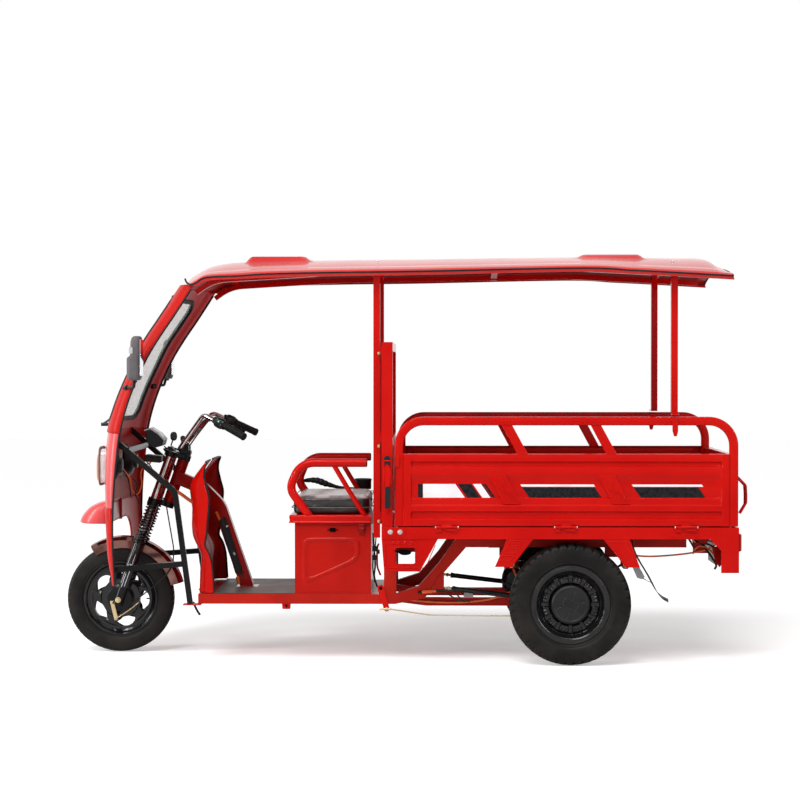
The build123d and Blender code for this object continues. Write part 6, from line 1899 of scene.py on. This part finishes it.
# ----------------------------------------------------------------- controls
@dataclass
class Handlebar:
    """What sits on the handlebar: grips, switches, clamp, keys and instrument."""

    grip_radius: float = 17.0
    clamp_x: float = -1003.0
    clamp_y: float = 38.0
    case_half: float = 78.0
    hood_half: float = 74.0
    window_half: float = 56.0

    def build(self) -> None:
        """Place the grips, switch blocks, clamp, instrument and the parts round them."""
        bodies = STEERED
        start, along, length = self.axis()
        pair(self.grip(start, along, length), "grip_sleeve", RUBBER, bodies, ("grip",), outward=False)
        pair(self.switch(start, along), "switch_block", PLASTIC, bodies, ("control",))
        pair(self.buttons(start, along), "switch_buttons", GREY, bodies)
        button = lathe([(0.01, 0), (5.5, 0), (5.5, 3), (4, 4.2), (0.01, 4.6)],
                       start - along * 30 + (0, -23, 5), (0, -1, 0.2), 24)
        Piece("green_button", GREEN, Body.STEERING).place(button)
        blade = curve([start - along * 34 + (-22, 8, 2), start + (-44, -6, -4),
                       start + along * 60 + (-42, -4, -6), start + along * 104 + (-30, -4, -8)], 30)
        lever = sweep(blade, ringed(7.0, 3.2, 3.0, 14), (0.3, 0.0, 1.0))
        Piece("brake_lever_right", BLACK, Body.STEERING).place(lever.mirrored())
        Piece("instrument_case", PLASTIC, Body.STEERING, ("instrument",), bevel=6.0,
              steps=3).place(self.case())
        Piece("instrument_top", SILVER, Body.STEERING, bevel=1.5).place(self.top())
        Piece("instrument_window", GLOSS, Body.STEERING, bevel=1.0).place(self.window())
        Piece("clamp_blocks", BLACK, Body.STEERING, ("bar_clamp",), bevel=3.0).place(self.clamp())
        Piece("clamp_bolts", ZINC, Body.STEERING).place(self.clamp_bolts())
        Piece("key_switch", PLASTIC, Body.STEERING, bevel=3.0).place(self.key_switch())
        Piece("key_bows", GLOSS, Body.STEERING).place(self.key_bows())
        Piece("control_wires", PLASTIC, Body.STEERING, outward=False).place(self.wires())

    def axis(self) -> tuple[Array, Array, float]:
        """Return the left grip's inner end, direction and length."""
        low, high = (np.array(corner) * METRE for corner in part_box("grip_left"))
        start = np.array([low[0] + 10, high[1] - 10, high[2] - 14])
        end = np.array([high[0] - 10, low[1] + 10, low[2] + 14])
        return start, unit(end - start), float(np.linalg.norm(end - start))

    def grip(self, start: Array, along: Array, length: float) -> Shell:
        """Make the ribbed grip with a flange at its inner end and a bead at the other.

        Args:
            start: The grip's inner end.
            along: Its direction, outwards.
            length: Its length.

        Returns:
            The grip: radius + 0.9 * clipped sin(2 pi place / 7), with a flange and a bead.
        """
        place = np.linspace(0.0, length, 140)
        wave = np.clip(np.sin(place / 7.0 * 2 * np.pi) * 2, -1, 1) * (place > 14) * (place < length - 14)
        radius = self.grip_radius - 1.0 + 0.9 * wave
        radius = np.where(place < 6, 20.5, radius)
        radius = np.where(place > length - 9, self.grip_radius + 0.8, radius)
        profile = np.vstack([[(11.2, 0.0)], np.stack([radius, place], -1),
                             [(12.0, length + 1.5), (0.01, length + 2)]])
        return lathe(profile, start, along, 32)

    def switch(self, start: Array, along: Array) -> Shell:
        """Make a rounded switch housing, as an outline scaled along the bar.

        Args:
            start: The grip's inner end.
            along: The grip's direction, outwards.

        Returns:
            The housing and the collar inside it.
        """
        place = np.array([-50, -49, -45, -38, -20, -10, -5, -2.0])
        scale = np.array([0.55, 0.8, 0.94, 1.0, 1.03, 1.0, 0.9, 0.7])
        outline = ringed(24.0, 21.0, 3.0, 32)[None] * scale[:, None, None]
        body = sweep(start + along * place[:, None], outline, UP)
        collar = lathe([(13, -62), (17, -61), (17, -49), (13, -48)], start, along, 28)
        return body + collar

    def buttons(self, start: Array, along: Array) -> Shell:
        """Return the rocker and push buttons of one housing."""
        spots = ((-14, (6, -20, 8), 5.0), (-24, (4, -22, -9), 4.0), (-38, (0, -21, 12), 4.5))
        knobs = []
        for place, shift, radius in spots:
            dome = [(radius, -1), (radius, 3.4), (radius * 0.7, 4.6), (0.01, 4.8)]
            knobs.append(lathe(dome, start + along * place + np.array(shift), (0.2, -1, 0.1), 20))
        return joined(knobs)

    def case(self) -> Shell:
        """Return the instrument's case."""
        return side_plate([(-1184, 1034), (-1160, 1042), (-1122, 1016), (-1097, 989), (-1104, 963),
                           (-1132, 955), (-1158, 957), (-1178, 984)], -self.case_half, self.case_half)

    def top(self) -> Shell:
        """Return the pale hood over the case."""
        return side_plate([(-1189, 1036), (-1161, 1047), (-1119, 1020), (-1094, 991), (-1098, 988),
                           (-1123, 1014), (-1161, 1040), (-1185, 1031)], -self.hood_half, self.hood_half)

    def window(self) -> Shell:
        """Return the dark display set in the hood."""
        return side_plate([(-1152, 1043), (-1121, 1022.6), (-1104, 1003.6), (-1106, 1001), (-1123, 1019),
                           (-1153, 1039)], -self.window_half, self.window_half)

    def clamp(self) -> Shell:
        """Return the two bar clamps and the bridge between them."""
        x = self.clamp_x
        outline = [(x - 20, 926), (x + 20, 926), (x + 20, 962), (x + 8, 972), (x - 12, 972), (x - 20, 962)]
        halves = [side_plate(outline, y - 15, y + 15) for y in (-self.clamp_y, self.clamp_y)]
        bridge = side_plate([(-1052, 930), (-1004, 922), (-1000, 906), (-1056, 912)], -54.0, 54.0)
        return joined(halves) + bridge

    def clamp_bolts(self) -> Shell:
        """Return the clamp's cap screws."""
        return joined([bolt((self.clamp_x + shift, y, 972), UP, 4.0, 1.3)
                       for y in (-self.clamp_y, self.clamp_y) for shift in (-10, 6)])

    def key_switch(self) -> Shell:
        """Return the square switch case behind the head tube and the small one above it."""
        case = side_plate([(-1028, 958), (-1014, 966), (-976, 938), (-976, 926), (-992, 884),
                           (-1022, 890)], -26.0, 26.0)
        return case + side_plate([(-1106, 948), (-1066, 960), (-1050, 938), (-1090, 924)], -34.0, 34.0)

    def key_bows(self) -> Shell:
        """Return the two dark oval bows standing above the clamp."""
        bows = []
        for x, z, wide, tall in ((-1056.0, 1006.0, 16.0, 21.0), (-1013.0, 995.0, 12.0, 14.0)):
            ring = ringed(wide, tall, 2.4, 32)
            rows = [(0.02, -5.0), (0.8, -5.0), (1.0, -2.5), (1.0, 2.5), (0.8, 5.0), (0.02, 5.0)]
            grid = np.stack([np.stack([x + ring[:, 0] * s, np.full(32, -20.0 + y), z + ring[:, 1] * s], -1)
                             for s, y in rows])
            bows.append(lattice(grid, wrap_columns=True))
            bows.append(rod((x - 4, -20, z - tall + 3), (x - 14, -16, z - tall - 24), 3.2))
        return joined(bows)

    def wires(self) -> Shell:
        """Return the sheathed wires from the switches down to the head."""
        routes = (
            [(-868, -196, 1082), (-905, -170, 1078), (-950, -120, 1020), (-985, -70, 968),
             (-1010, -40, 925)],
            [(-868, 196, 1082), (-900, 172, 1084), (-945, 122, 1028), (-980, 72, 975), (-1012, 44, 922)],
            [(-1100, -30, 960), (-1075, -34, 935), (-1060, -36, 905), (-1052, -36, 870)],
            [(-1090, 30, 955), (-1040, 36, 940), (-1012, 40, 905), (-1014, 40, 862)],
        )
        return strands(routes, (3.4, 3.4, 3.0, 4.0))


# -------------------------------------------------------------------- front
@dataclass
class FrontFittings:
    """Small parts between the cowl and the driver: horn, wires, bolts, stand and film lines."""

    channel_y: float = -44.2
    rail_y: float = -344.0
    line_y: float = -LEG_Y - 26.2

    def build(self) -> None:
        """Place each of them on its own body."""
        horn = side_plate([(-1186, 922), (-1112, 914), (-1116, 882), (-1188, 888)], -44.0, 44.0)
        Piece("horn_case", PLASTIC, Body.STEERING, bevel=4.0).place(horn)
        Piece("horn_ribs", BLACK, Body.STEERING, bevel=1.0).place(self.horn_ribs())
        loop = curve([(-1284, -118, 905), (-1282, -112, 862), (-1250, -104, 812), (-1240, -100, 756),
                      (-1214, -98, 741), (-1197, -94, 786), (-1202, -86, 832), (-1190, -60, 868),
                      (-1160, -40, 884)], 70)
        Piece("orange_loop", CABLE, outward=False).place(tube(loop, 3.6, sides=12))
        under = curve([(-1092, -34, 800), (-1060, -48, 762), (-1022, -52, 740), (-984, -50, 712),
                       (-950, -48, 690)], 40)
        Piece("orange_sheath", CABLE, outward=False).place(tube(under, 8.0, sides=16))
        green = curve([(-1290, -122, 880), (-1276, -118, 830), (-1262, -116, 780), (-1240, -110, 740)], 30)
        Piece("green_wire", GREEN_SHEATH, outward=False).place(tube(green, 1.6, sides=8))
        Piece("lamp_wires", PLASTIC, outward=False).place(self.lamp_wires())
        Piece("leg_lines", WHITE_FILM, Body.STEERING).place(both(self.leg_lines()))
        bolts = [bolt((x, self.channel_y, z), LEFT, 5.0) for x, z in ((-806, 588), (-770, 460))]
        Piece("channel_bolts", ZINC).place(joined(bolts))
        lip = side_plate([(-841, 616), (-833, 619), (-759, 371), (-767, 368)], -47.5, -43.8)
        lip += side_plate([(-820, 624), (-812, 627), (-732, 372), (-740, 369)], -47.5, -43.8)
        Piece("channel_lips", BLACK, bevel=1.0).place(lip)
        plugs = rod((-758, -38, 352), (-751, -38, 318), 8.5) + rod((-857, -38, 655), (-838, -38, 612), 7.0)
        Piece("channel_plugs", CABLE).place(plugs)
        tip = tube(curve([(-936, -300, 262), (-930, -300, 246), (-918, -301, 222), (-905, -302, 202)], 24),
                   5.2)
        Piece("stand_tip", PLASTIC, outward=False).place(both(tip))
        clip = side_plate([(-530, 262), (-490, 262), (-492, 234), (-528, 234)],
                          self.rail_y, self.rail_y + 22)
        Piece("rail_clip", RED, bevel=3.0).place(both(clip))
        Piece("rail_clip_bolts", BLACK_AND_PAINTED_SHADE).place(both(bolt((-510, self.rail_y, 249), LEFT, 4.0, 1.3)))

    def horn_ribs(self) -> Shell:
        """Return the ribs along the horn's sides."""
        return joined([side_plate([(-1182, z), (-1118, z - 6), (-1118, z - 9), (-1182, z - 3)], -46.5, 46.5)
                       for z in (914.0, 905.0, 896.0)])

    def lamp_wires(self) -> Shell:
        """Return the dark wires behind the lamps."""
        routes = (
            [(-1262, -250, 860), (-1244, -240, 830), (-1238, -228, 800), (-1234, -222, 770),
             (-1228, -220, 730)],
            [(-1262, 250, 870), (-1225, 240, 880), (-1200, 232, 860), (-1184, 230, 830), (-1170, 236, 800)],
            [(-1220, -222, 820), (-1200, -224, 790), (-1208, -226, 750), (-1194, -224, 712),
             (-1184, -222, 684)],
        )
        return strands(routes, [3.0] * 3)

    def leg_lines(self) -> Shell:
        """Return the thin pale lines on the outer face of the left lower leg."""
        y = self.line_y
        first = np.array([steer_point(a, -FORK_OFFSET + 6, y) for a in (70, 120, 180, 225)])
        second = np.array([steer_point(a, -FORK_OFFSET - 6, y) for a in (60, 100, 130)])
        ring = ringed(5.0, 17.0, 6.0, 32)
        loop = np.array([steer_point(158 + b, -FORK_OFFSET - 3 + a, y) for a, b in ring])
        line = ringed(0.5, 0.9, 3.0, 8)
        return (sweep(first, line, ACROSS) + sweep(second, line, ACROSS)
                + sweep(loop, line, ACROSS, closed=True))


# ---------------------------------------------------------------------- bed
@dataclass
class BedFittings:
    """Raised lines, dimples, bolts and toggles on the bed's sills, skirts and corners."""

    skirt_y: float = -522.0
    bracket_y: float = -524.0
    toggle_y: float = -543.5
    rib: float = 1.9

    def build(self) -> None:
        """Place each of them on both sides."""
        Piece("skirt_lines", RED, outward=False).place(both(self.skirt_lines()))
        Piece("skirt_dimples", RED, outward=False).place(both(self.dimples()))
        Piece("skirt_plug", BLACK_AND_PAINTED_SHADE).place(both(self.plug()))
        Piece("bracket_lines", RED, outward=False).place(both(self.bracket_lines()))
        corner = side_plate([(-70, 616), (30, 616), (30, 575), (-70, 575)], -526.6, -524.5)
        Piece("corner_plate", RED, bevel=1.0).place(both(corner))
        bolts = joined([bolt((x, -526.4, 597), LEFT, 8.0, 1.35) for x in (-36.0, 7.0)])
        Piece("corner_bolts", ZINC).place(both(bolts))
        Piece("hinge_ends", ZINC).place(both(self.hinge_ends()))
        base = side_plate([(-66, 924), (-57, 936), (-43, 936), (-34, 924), (-34, 893), (-66, 893)], -541.0,
                          -536.0)
        Piece("toggle_base", PLASTIC, bevel=1.5).place(both(base))
        Piece("toggle_claw", RED, bevel=1.5).place(both(self.claw()))
        grip = side_plate([(-60, 799), (-35, 799), (-34, 704), (-61, 704)], -546.0, -536.5)
        Piece("toggle_grip", PLASTIC, bevel=3.0, steps=3).place(both(grip))
        rivets = joined([bolt((-88, -459.6, z), LEFT, 5.0, 1.4) for z in (976, 640, 1390)])
        Piece("post_bolts", BRASS).place(both(rivets))
        Piece("box_wires", PLASTIC, outward=False).place(self.box_wires())
        Piece("box_connectors", BLACK, bevel=2.0).place(self.connectors())
        bar = tube(curve([(-92, -300, 528), (-99, -300, 505), (-99, -300, 430), (-90, -300, 398),
                          (-84, -300, 384)], 30), 4.5)
        Piece("box_bar", SHADED_RED, outward=False).place(bar)

    def loop(self, x: float, z: float, wide: float, tall: float, y: float, slant: float = 0.0) -> Shell:
        """Return a raised rounded rectangle, leaning by slant times its height."""
        ring = ringed(wide, tall, 5.0, 36)
        path = np.stack([x + ring[:, 0] + slant * ring[:, 1], np.full(36, y), z + ring[:, 1]], -1)
        return sweep(path, ringed(1.6, 2.0, 2.0, 8), ACROSS, closed=True)

    def skirt_lines(self) -> Shell:
        """Return the rim of the skirt's opening, the frame round its dimples and the bent line beside."""
        y = self.skirt_y
        line = tube(bend([(164, y, 540), (129, y, 458), (112, y, 437), (20, y, 437)], [20.0, 14.0]),
                    self.rib, sides=8)
        edge = tube(bend([(-58, y, 540), (-58, y, 437), (6, y, 437)], [12.0]), self.rib, sides=8)
        return self.loop(29, 491, 50, 39, y) + self.loop(19, 551, 57, 9.5, y) + line + edge

    def dimples(self) -> Shell:
        """Return the four shallow domes above the opening."""
        dome = [(0.01, 3.4), (4, 2.8), (6.5, 1.2), (7.5, 0)]
        return joined([lathe(dome, (x, self.skirt_y, 551), LEFT, 20) for x in (-24.0, 4.0, 33.0, 61.0)])

    def plug(self) -> Shell:
        """Return the black oval connector behind the opening."""
        ring = ringed(28.0, 12.0, 2.0, 28)
        front = np.stack([29 + ring[:, 0], np.full(28, -514.0), 505 + ring[:, 1]], -1)
        return slab(front, (0.0, 16.0, 0.0)) + rod((8, -506, 505), (-14, -506, 512), 5.0)

    def bracket_lines(self) -> Shell:
        """Return the pressed windows of the front bracket and the line on the rear one."""
        y = self.bracket_y
        spots = ((517.0, 547.0), (500.0, 514.0), (480.0, 480.0))
        windows = [self.loop(x, z, 25, 11, y, 0.5) for x, z in spots]
        line = tube(bend([(928, y, 552), (1008, y, 552), (1050, y, 452)], [10.0]), self.rib, sides=8)
        edge = tube(bend([(934, y, 544), (1010, y, 450)], []), self.rib, sides=8)
        return joined(windows) + line + edge

    def hinge_ends(self) -> Shell:
        """Return the pale pin ends of the gate's hinges."""
        ends = []
        for x in HINGE_X:
            for side in (-1, 1):
                ends.append(rod((x + side * 45, -531.6, 619), (x + side * 52, -531.6, 619), 4.6))
        return joined(ends)

    def claw(self) -> Shell:
        """Return the toggle's claw and link."""
        claw = side_plate([(-62, 880), (-50, 902), (-38, 884), (-32, 872), (-38, 800), (-59, 800)], -547.0,
                          -541.0)
        y = self.toggle_y
        links = [rod((x, y, 806), (x - 1, y, 914), 2.6) for x in (-63.0, -31.0)]
        return claw + joined(links) + rod((-66, y, 914), (-30, y, 914), 3.0)

    def box_wires(self) -> Shell:
        """Return the wires that come out behind the seat box."""
        routes = (
            [(-118, -296, 575), (-116, -298, 530), (-112, -300, 490), (-108, -300, 430), (-112, -298, 380),
             (-100, -290, 330)],
            [(-104, -288, 570), (-108, -292, 520), (-116, -296, 470), (-120, -296, 420), (-110, -292, 350)],
        )
        return strands(routes, (4.0, 3.0), count=50)

    def connectors(self) -> Shell:
        """Return the dark plug housings on those wires."""
        low = block((-123, -306, 452), (-101, -284, 476))
        return low + block((-122, -306, 492), (-98, -282, 516)) + block((-104, -300, 480), (-88, -286, 500))


# ------------------------------------------------------------- running gear
@dataclass
class RunningGear:
    """The motor, springs, rods, pedal linkage, straps and tail wiring below the bed."""

    rail_y: float = -327.0
    half_span: float = 257.0
    spring_half: float = 25.0
    eye_z: float = 437.0
    leaf_shares: tuple[float, ...] = (1.0, 0.86, 0.7, 0.54, 0.38)
    leaf_pitch: float = 6.6
    leaf_rise: float = 8.0
    leaf_sag: float = 80.0
    buckle_y: float = -353.0
    lever_y: float = -355.0
    lamp_x: float = 1513.0

    def build(self) -> None:
        """Place them over their plain solids."""
        Piece("motor_case", BLACK, replaces=("motor",)).place(self.motor())
        cable = tube(curve([(498, -204, 470), (512, -208, 430), (530, -208, 385), (545, -200, 345)], 30),
                     5.0)
        Piece("motor_orange_cable", CABLE, outward=False).place(both(cable))
        pair(self.leaves(), "spring_leaves", BLACK, solids=("leaf_spring",), outward=False)
        pair(self.saddle(), "spring_saddle", SHADED_RED, bevel=2.0)
        pair(self.clamps(), "spring_clamps", ZINC, outward=False)
        pair(self.eyes(), "spring_eyes", BRASS)
        pair(self.shackles(), "spring_shackles", SHADED_RED, bevel=1.5)
        rods, ends = self.push_rods()
        pair(rods, "push_rod_bar", BLACK, solids=("push_rod",))
        pair(ends, "push_rod_ends", BRASS)
        Piece("pedal_lever", RED, replaces=("brake_linkage",), bevel=1.5).place(self.pedal())
        # painted shade: a black disc stands for the hole through the pedal lever
        Piece("pedal_hole_shade", BLACK_AND_PAINTED_SHADE).place(lathe([(0.01, 0), (7, 0), (7, 1.2), (0.01, 1.4)],
                                              (-82, self.lever_y - 0.4, 330), LEFT, 24))
        Piece("pedal_linkage", BRASS, outward=False).place(self.linkage())
        y = self.buckle_y
        buckle = rod((104, y, 313), (150, y, 316), 8.0, 6) + rod((150, y, 316), (168, y, 317), 5.0)
        Piece("brake_turnbuckle", CABLE).place(buckle)
        sleeve = rod((168, y, 317), (206, y, 319), 6.5) + rod((86, y, 312), (104, y, 313), 6.0)
        Piece("brake_sleeve", BLACK).place(sleeve)
        lines = [[(206, y, 319), (300, -352, 322), (420, -350, 300), (520, -346, 296)],
                 [(200, -350, 312), (240, -345, 292), (262, -340, 276), (300, -338, 268)],
                 [(236, -345, 330), (262, -345, 300), (290, -345, 276), (322, -345, 268)]]
        Piece("brake_wires", PLASTIC, outward=False).place(strands(lines, [3.0] * 3, sides=8))
        pair(self.flap(), "mud_strap", STRAP, solids=("mudflap",), wall=2.6, outward=False)
        strap = side_plate([(1040, 446), (1068, 448), (1100, 392), (1090, 380), (1066, 386)], -441.0,
                           -439.0)
        Piece("woven_strap", WOVEN).place(both(strap))
        Piece("tail_wires", PLASTIC, outward=False).place(both(self.tail_wires()))
        orange = tube(curve([(1330, -330, 500), (1356, -336, 520), (1390, -352, 512), (1424, -380, 480)],
                            30), 3.6)
        Piece("tail_orange_wire", CABLE, outward=False).place(both(orange))
        Piece("tail_bracket", SHADED_RED, bevel=1.5).place(both(self.tail_bracket()))
        self.tail_lamps()

    def motor(self) -> Shell:
        """Return the motor: a ribbed barrel between two rounded ends."""
        ribs = [(85.0 if index % 2 else 79.0, -152.0 + 5.5 * index) for index in range(26)]
        profile = [(0.01, -181), (34, -181), (36, -178), (66, -176), (80, -166), (85, -156), *ribs,
                   (85, 8), (80, 20), (0.01, 20)]
        return lathe(profile, (561.0, 0.0, 340.0), ACROSS, 72)

    def arc(self, x: Array, drop: float) -> Array:
        """Return the height of a leaf's middle: top - sag * (1 - (x / half span)^2) - drop."""
        sag = self.leaf_sag * (1 - (x / self.half_span) ** 2)
        return self.eye_z + self.leaf_rise - sag - drop

    def leaves(self) -> Shell:
        """Return the stacked leaves, each shorter than the one above."""
        sheets = []
        for index, share in enumerate(self.leaf_shares):
            x = np.linspace(-self.half_span * share, self.half_span * share, 41)
            path = np.stack([REAR_AXLE[0] + x, np.full(41, self.rail_y),
                             self.arc(x, self.leaf_pitch * index)], -1)
            sheets.append(sweep(path, ringed(self.spring_half, 2.9, 8.0, 24), ACROSS))
        return joined(sheets)

    def saddle(self) -> Shell:
        """Return the plates that hold the stack on the axle."""
        x = REAR_AXLE[0]
        low, high = self.rail_y - 33.0, self.rail_y + 33.0
        lower = block((x - 56, low, 298), (x + 56, high, 328))
        return lower + block((x - 56, low, 370), (x + 56, high, 380))

    def clamps(self) -> Shell:
        """Return the two U-bolts and their nuts."""
        bows = []
        for x in (REAR_AXLE[0] - 34.0, REAR_AXLE[0] + 34.0):
            spots = ((-1, 286), (-1, 388), (1, 388), (1, 286))
            ends = [(x, self.rail_y + side * 30.0, z) for side, z in spots]
            bows.append(tube(bend(ends, [9.0, 9.0]), 5.0, REAR, 12))
            bows += [bolt((x, self.rail_y + side * 30.0, 297), (0, 0, -1), 8.0, 1.3) for side in (-1, 1)]
        return joined(bows)

    def eyes(self) -> Shell:
        """Return the bushes and pin heads at both ends of the spring."""
        heads = []
        for x in (-self.half_span, self.half_span):
            centre = (REAR_AXLE[0] + x, self.rail_y, self.eye_z)
            bush = [(9, -27), (17.5, -27), (17.5, 27), (9, 27)]
            heads.append(lathe(bush, centre, ACROSS, 32, closed=True))
            heads.append(bolt((centre[0], self.rail_y - 33.5, centre[2]), LEFT, 10.0, 1.3))
        return joined(heads)

    def shackles(self) -> Shell:
        """Return the plates that hang the spring's ends from the frame."""
        plates = []
        for x, top in ((REAR_AXLE[0] - self.half_span, 500.0), (REAR_AXLE[0] + self.half_span, 510.0)):
            for y in (self.rail_y - 33.0, self.rail_y + 28.0):
                plates.append(side_plate([(x - 19, self.eye_z - 6), (x - 10, self.eye_z - 18),
                                          (x + 10, self.eye_z - 18), (x + 19, self.eye_z - 6),
                                          (x + 15, top), (x - 15, top)], y, y + 5.0))
        return joined(plates)

    def push_rods(self) -> tuple[Shell, Shell]:
        """Return the left rod's bar and its plated ends."""
        front, rear = np.array([206.0, self.rail_y, 330.0]), np.array([720.0, self.rail_y, 269.0])
        along = unit(rear - front)
        bar = rod(front + along * 40, rear - along * 30, 11.5)
        bar += rod(front + along * 34, front + along * 48, 13.0)
        bar += rod(rear - along * 40, rear, 9.0)
        ends = rod(front, front + along * 38, 6.0) + rod(front + along * 14, front + along * 24, 10.0, 6)
        return bar, ends

    def pedal(self) -> Shell:
        """Return the pedal lever: a tapered link with round ends."""
        turn = np.linspace(0.0, np.pi, 15)
        lean = math.atan2(94.0, -27.0) - np.pi / 2
        top = [(-82 + 15.5 * math.cos(a + lean), 330 + 15.5 * math.sin(a + lean)) for a in turn]
        low = [(-55 + 12.5 * math.cos(a + lean + np.pi), 237 + 12.5 * math.sin(a + lean + np.pi))
               for a in turn]
        return side_plate(top + low, self.lever_y, self.lever_y + 8)

    def linkage(self) -> Shell:
        """Return the pivot, the clevis, the long pull rod and the arm on the axle."""
        y = self.lever_y - 4
        pivot = lathe([(0.01, 0), (7, 0), (7, 8), (5, 9), (5, 17), (0.01, 18)], (-55, -354, 237), LEFT, 20)
        clevis = rod((-86, y, 236), (-50, y, 237), 4.6) + rod((-50, y, 237), (-36, y, 236), 6.0, 6)
        pull = tube(bend([(-40, y, 236), (140, y, 209), (690, y, 204)], [300.0]), 3.0, sides=10)
        arm = side_plate([(684, 196), (700, 196), (724, 252), (706, 256)], y - 6, y + 2)
        return pivot + clevis + pull + arm

    def flap(self) -> Shell:
        """Return the long strap behind the wheel, one smooth sheet that curls back at its foot."""
        line = curve([(1040, 0, 556), (1046, 0, 520), (1069, 0, 471), (1112, 0, 399), (1149, 0, 330),
                      (1176, 0, 300), (1204, 0, 284)], 46)
        across = np.linspace(-66.0, 66.0, 9)
        lean = 0.1 * smoothstep(np.linspace(0, 1, 46), 0.5, 1.0)[:, None] * across[None]
        x = line[:, :1] + lean
        z = np.broadcast_to(line[:, 2:], x.shape)
        return lattice(np.stack([x, np.broadcast_to(-446.0 + across[None], x.shape), z], -1))

    def tail_wires(self) -> Shell:
        """Return the loose wires in the rear corner."""
        routes = (
            [(1330, -300, 560), (1352, -330, 536), (1400, -360, 528), (1440, -400, 500), (1462, -440, 468)],
            [(1350, -320, 556), (1376, -340, 520), (1410, -380, 470), (1424, -400, 440), (1416, -410, 424)],
            [(1360, -320, 548), (1402, -330, 545), (1446, -380, 530), (1494, -430, 545)],
        )
        return strands(routes, (4.0, 5.0, 3.0), sides=8)

    def tail_bracket(self) -> Shell:
        """Return the small brackets that carry the rear wiring."""
        upper = side_plate([(1342, 562), (1398, 562), (1388, 532), (1350, 538)], -360.0, -354.0)
        middle = side_plate([(1404, 520), (1440, 528), (1462, 470), (1440, 430), (1420, 452)],
                            -404.0, -399.0)
        outer = side_plate([(1440, 500), (1466, 508), (1470, 432), (1450, 432)], -430.0, -425.0)
        return joined([upper, middle, outer])

    def tail_lamps(self) -> None:
        """Place the lamps' bases and their three lenses."""
        base = block((self.lamp_x - 3.8, -513, 509), (self.lamp_x + 1, -393, 590))
        pair(base, "lamp_base", PLASTIC, solids=("tail_lamp",), bevel=2.0)
        for name, finish, low, high in (("stop", RED_LENS, -511.0, -468.0), ("turn", AMBER, -466.0, -438.0),
                                        ("back", LENS, -436.0, -395.0)):
            pair(block((self.lamp_x, low, 511), (self.lamp_x + 9.5, high, 588)), f"lamp_{name}", finish,
                 bevel=4.0, steps=3)


# ------------------------------------------------------------------ mirrors
@dataclass
class Mirrors:
    """Both mirrors: tapered housings on bent stems, with their glasses facing the rider."""

    y: float = -600.0
    glass_x: float = -1132.0
    glass_half: float = 52.0

    def build(self) -> None:
        """Place the housings, glasses, blank badges and stems."""
        pair(self.housing(), "mirror_case", MIRROR_GREY, solids=("mirror",))
        front, rear = self.glass_x, self.glass_x + 2.6
        glass = side_plate([(front, 1290), (rear, 1290), (rear, 1450), (front, 1450)],
                           self.y - self.glass_half, self.y + self.glass_half)
        pair(glass, "mirror_glass", MIRROR_SILVER, bevel=1.0)
        blank = side_plate([(-1178, 1416), (-1162, 1416), (-1162, 1388), (-1178, 1388)], self.y - 62,
                           self.y - 60.6)
        pair(blank, "mirror_blank", SILVER)
        stem = tube(bend([(-1161, -600, 1290), (-1170, -560, 1240), (-1220, -474, 1236)], [16.0]), 7.0)
        stem += rod((-1161, -600, 1284), (-1161, -600, 1262), 11.0)
        stem += rod((-1207, -497, 1236), (-1222, -470, 1235), 12.0)
        pair(stem, "mirror_stem", BLACK, outward=False)

    def housing(self) -> Shell:
        """Return the housing, ring by ring: height, front, rear and half width of each."""
        rows = np.array([(1270, -1172, -1146, 24), (1272, -1184, -1138, 44), (1278, -1191, -1134, 55),
                         (1292, -1193, -1132, 60), (1362, -1193, -1131, 61), (1370, -1191, -1130.5, 61),
                         (1378, -1180, -1130, 60.6), (1386, -1177, -1130, 60.4), (1440, -1176, -1130, 58),
                         (1456, -1172, -1131, 52), (1463, -1165, -1135, 44), (1465.6, -1156, -1142, 28)])
        outline = ringed(1.0, 1.0, 3.6, 48)
        middle, half = (rows[:, 1] + rows[:, 2]) / 2, (rows[:, 2] - rows[:, 1]) / 2
        x = middle[:, None] + half[:, None] * outline[None, :, 0]
        y = self.y + rows[:, 3:] * outline[None, :, 1]
        return lattice(np.stack([x, y, np.broadcast_to(rows[:, :1], x.shape)], -1), wrap_columns=True,
                       caps=True)


ASSEMBLIES: tuple = (
    Tyre("front_tyre", Body.FRONT_WHEEL, FRONT_AXLE, 250.0, 90.0, 165.0, 58, Tread.ROAD),
    Tyre("rear_tyre", Body.REAR_WHEEL_LEFT, REAR_AXLE, 272.0, 114.0, 169.0, 42, Tread.LUGGED),
    FrontWheel(),
    RearWheel(),
    Fork(),
    SideGate(),
    Tailgate(),
    Cowl(),
    Headlamp(),
    Roof(),
    SeatBox(),
    SeatSides(),
    LegShield(),
    Handlebar(),
    FrontFittings(),
    BedFittings(),
    RunningGear(),
    Mirrors(),
)


def corners(box: tuple[Vector, Vector]) -> list[list[float]]:
    """Return a box's two corners as plain lists."""
    return [list(corner) for corner in box]


def main() -> None:
    """Dress the tricycle, piece by piece."""
    logging.basicConfig(level=logging.INFO, format="%(message)s")
    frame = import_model()
    Studio().build()
    dress_solids(frame)
    for assembly in ASSEMBLIES:
        LOG.info("-- %s", type(assembly).__name__)
        assembly.build()


if __name__ == "__main__":
    main()
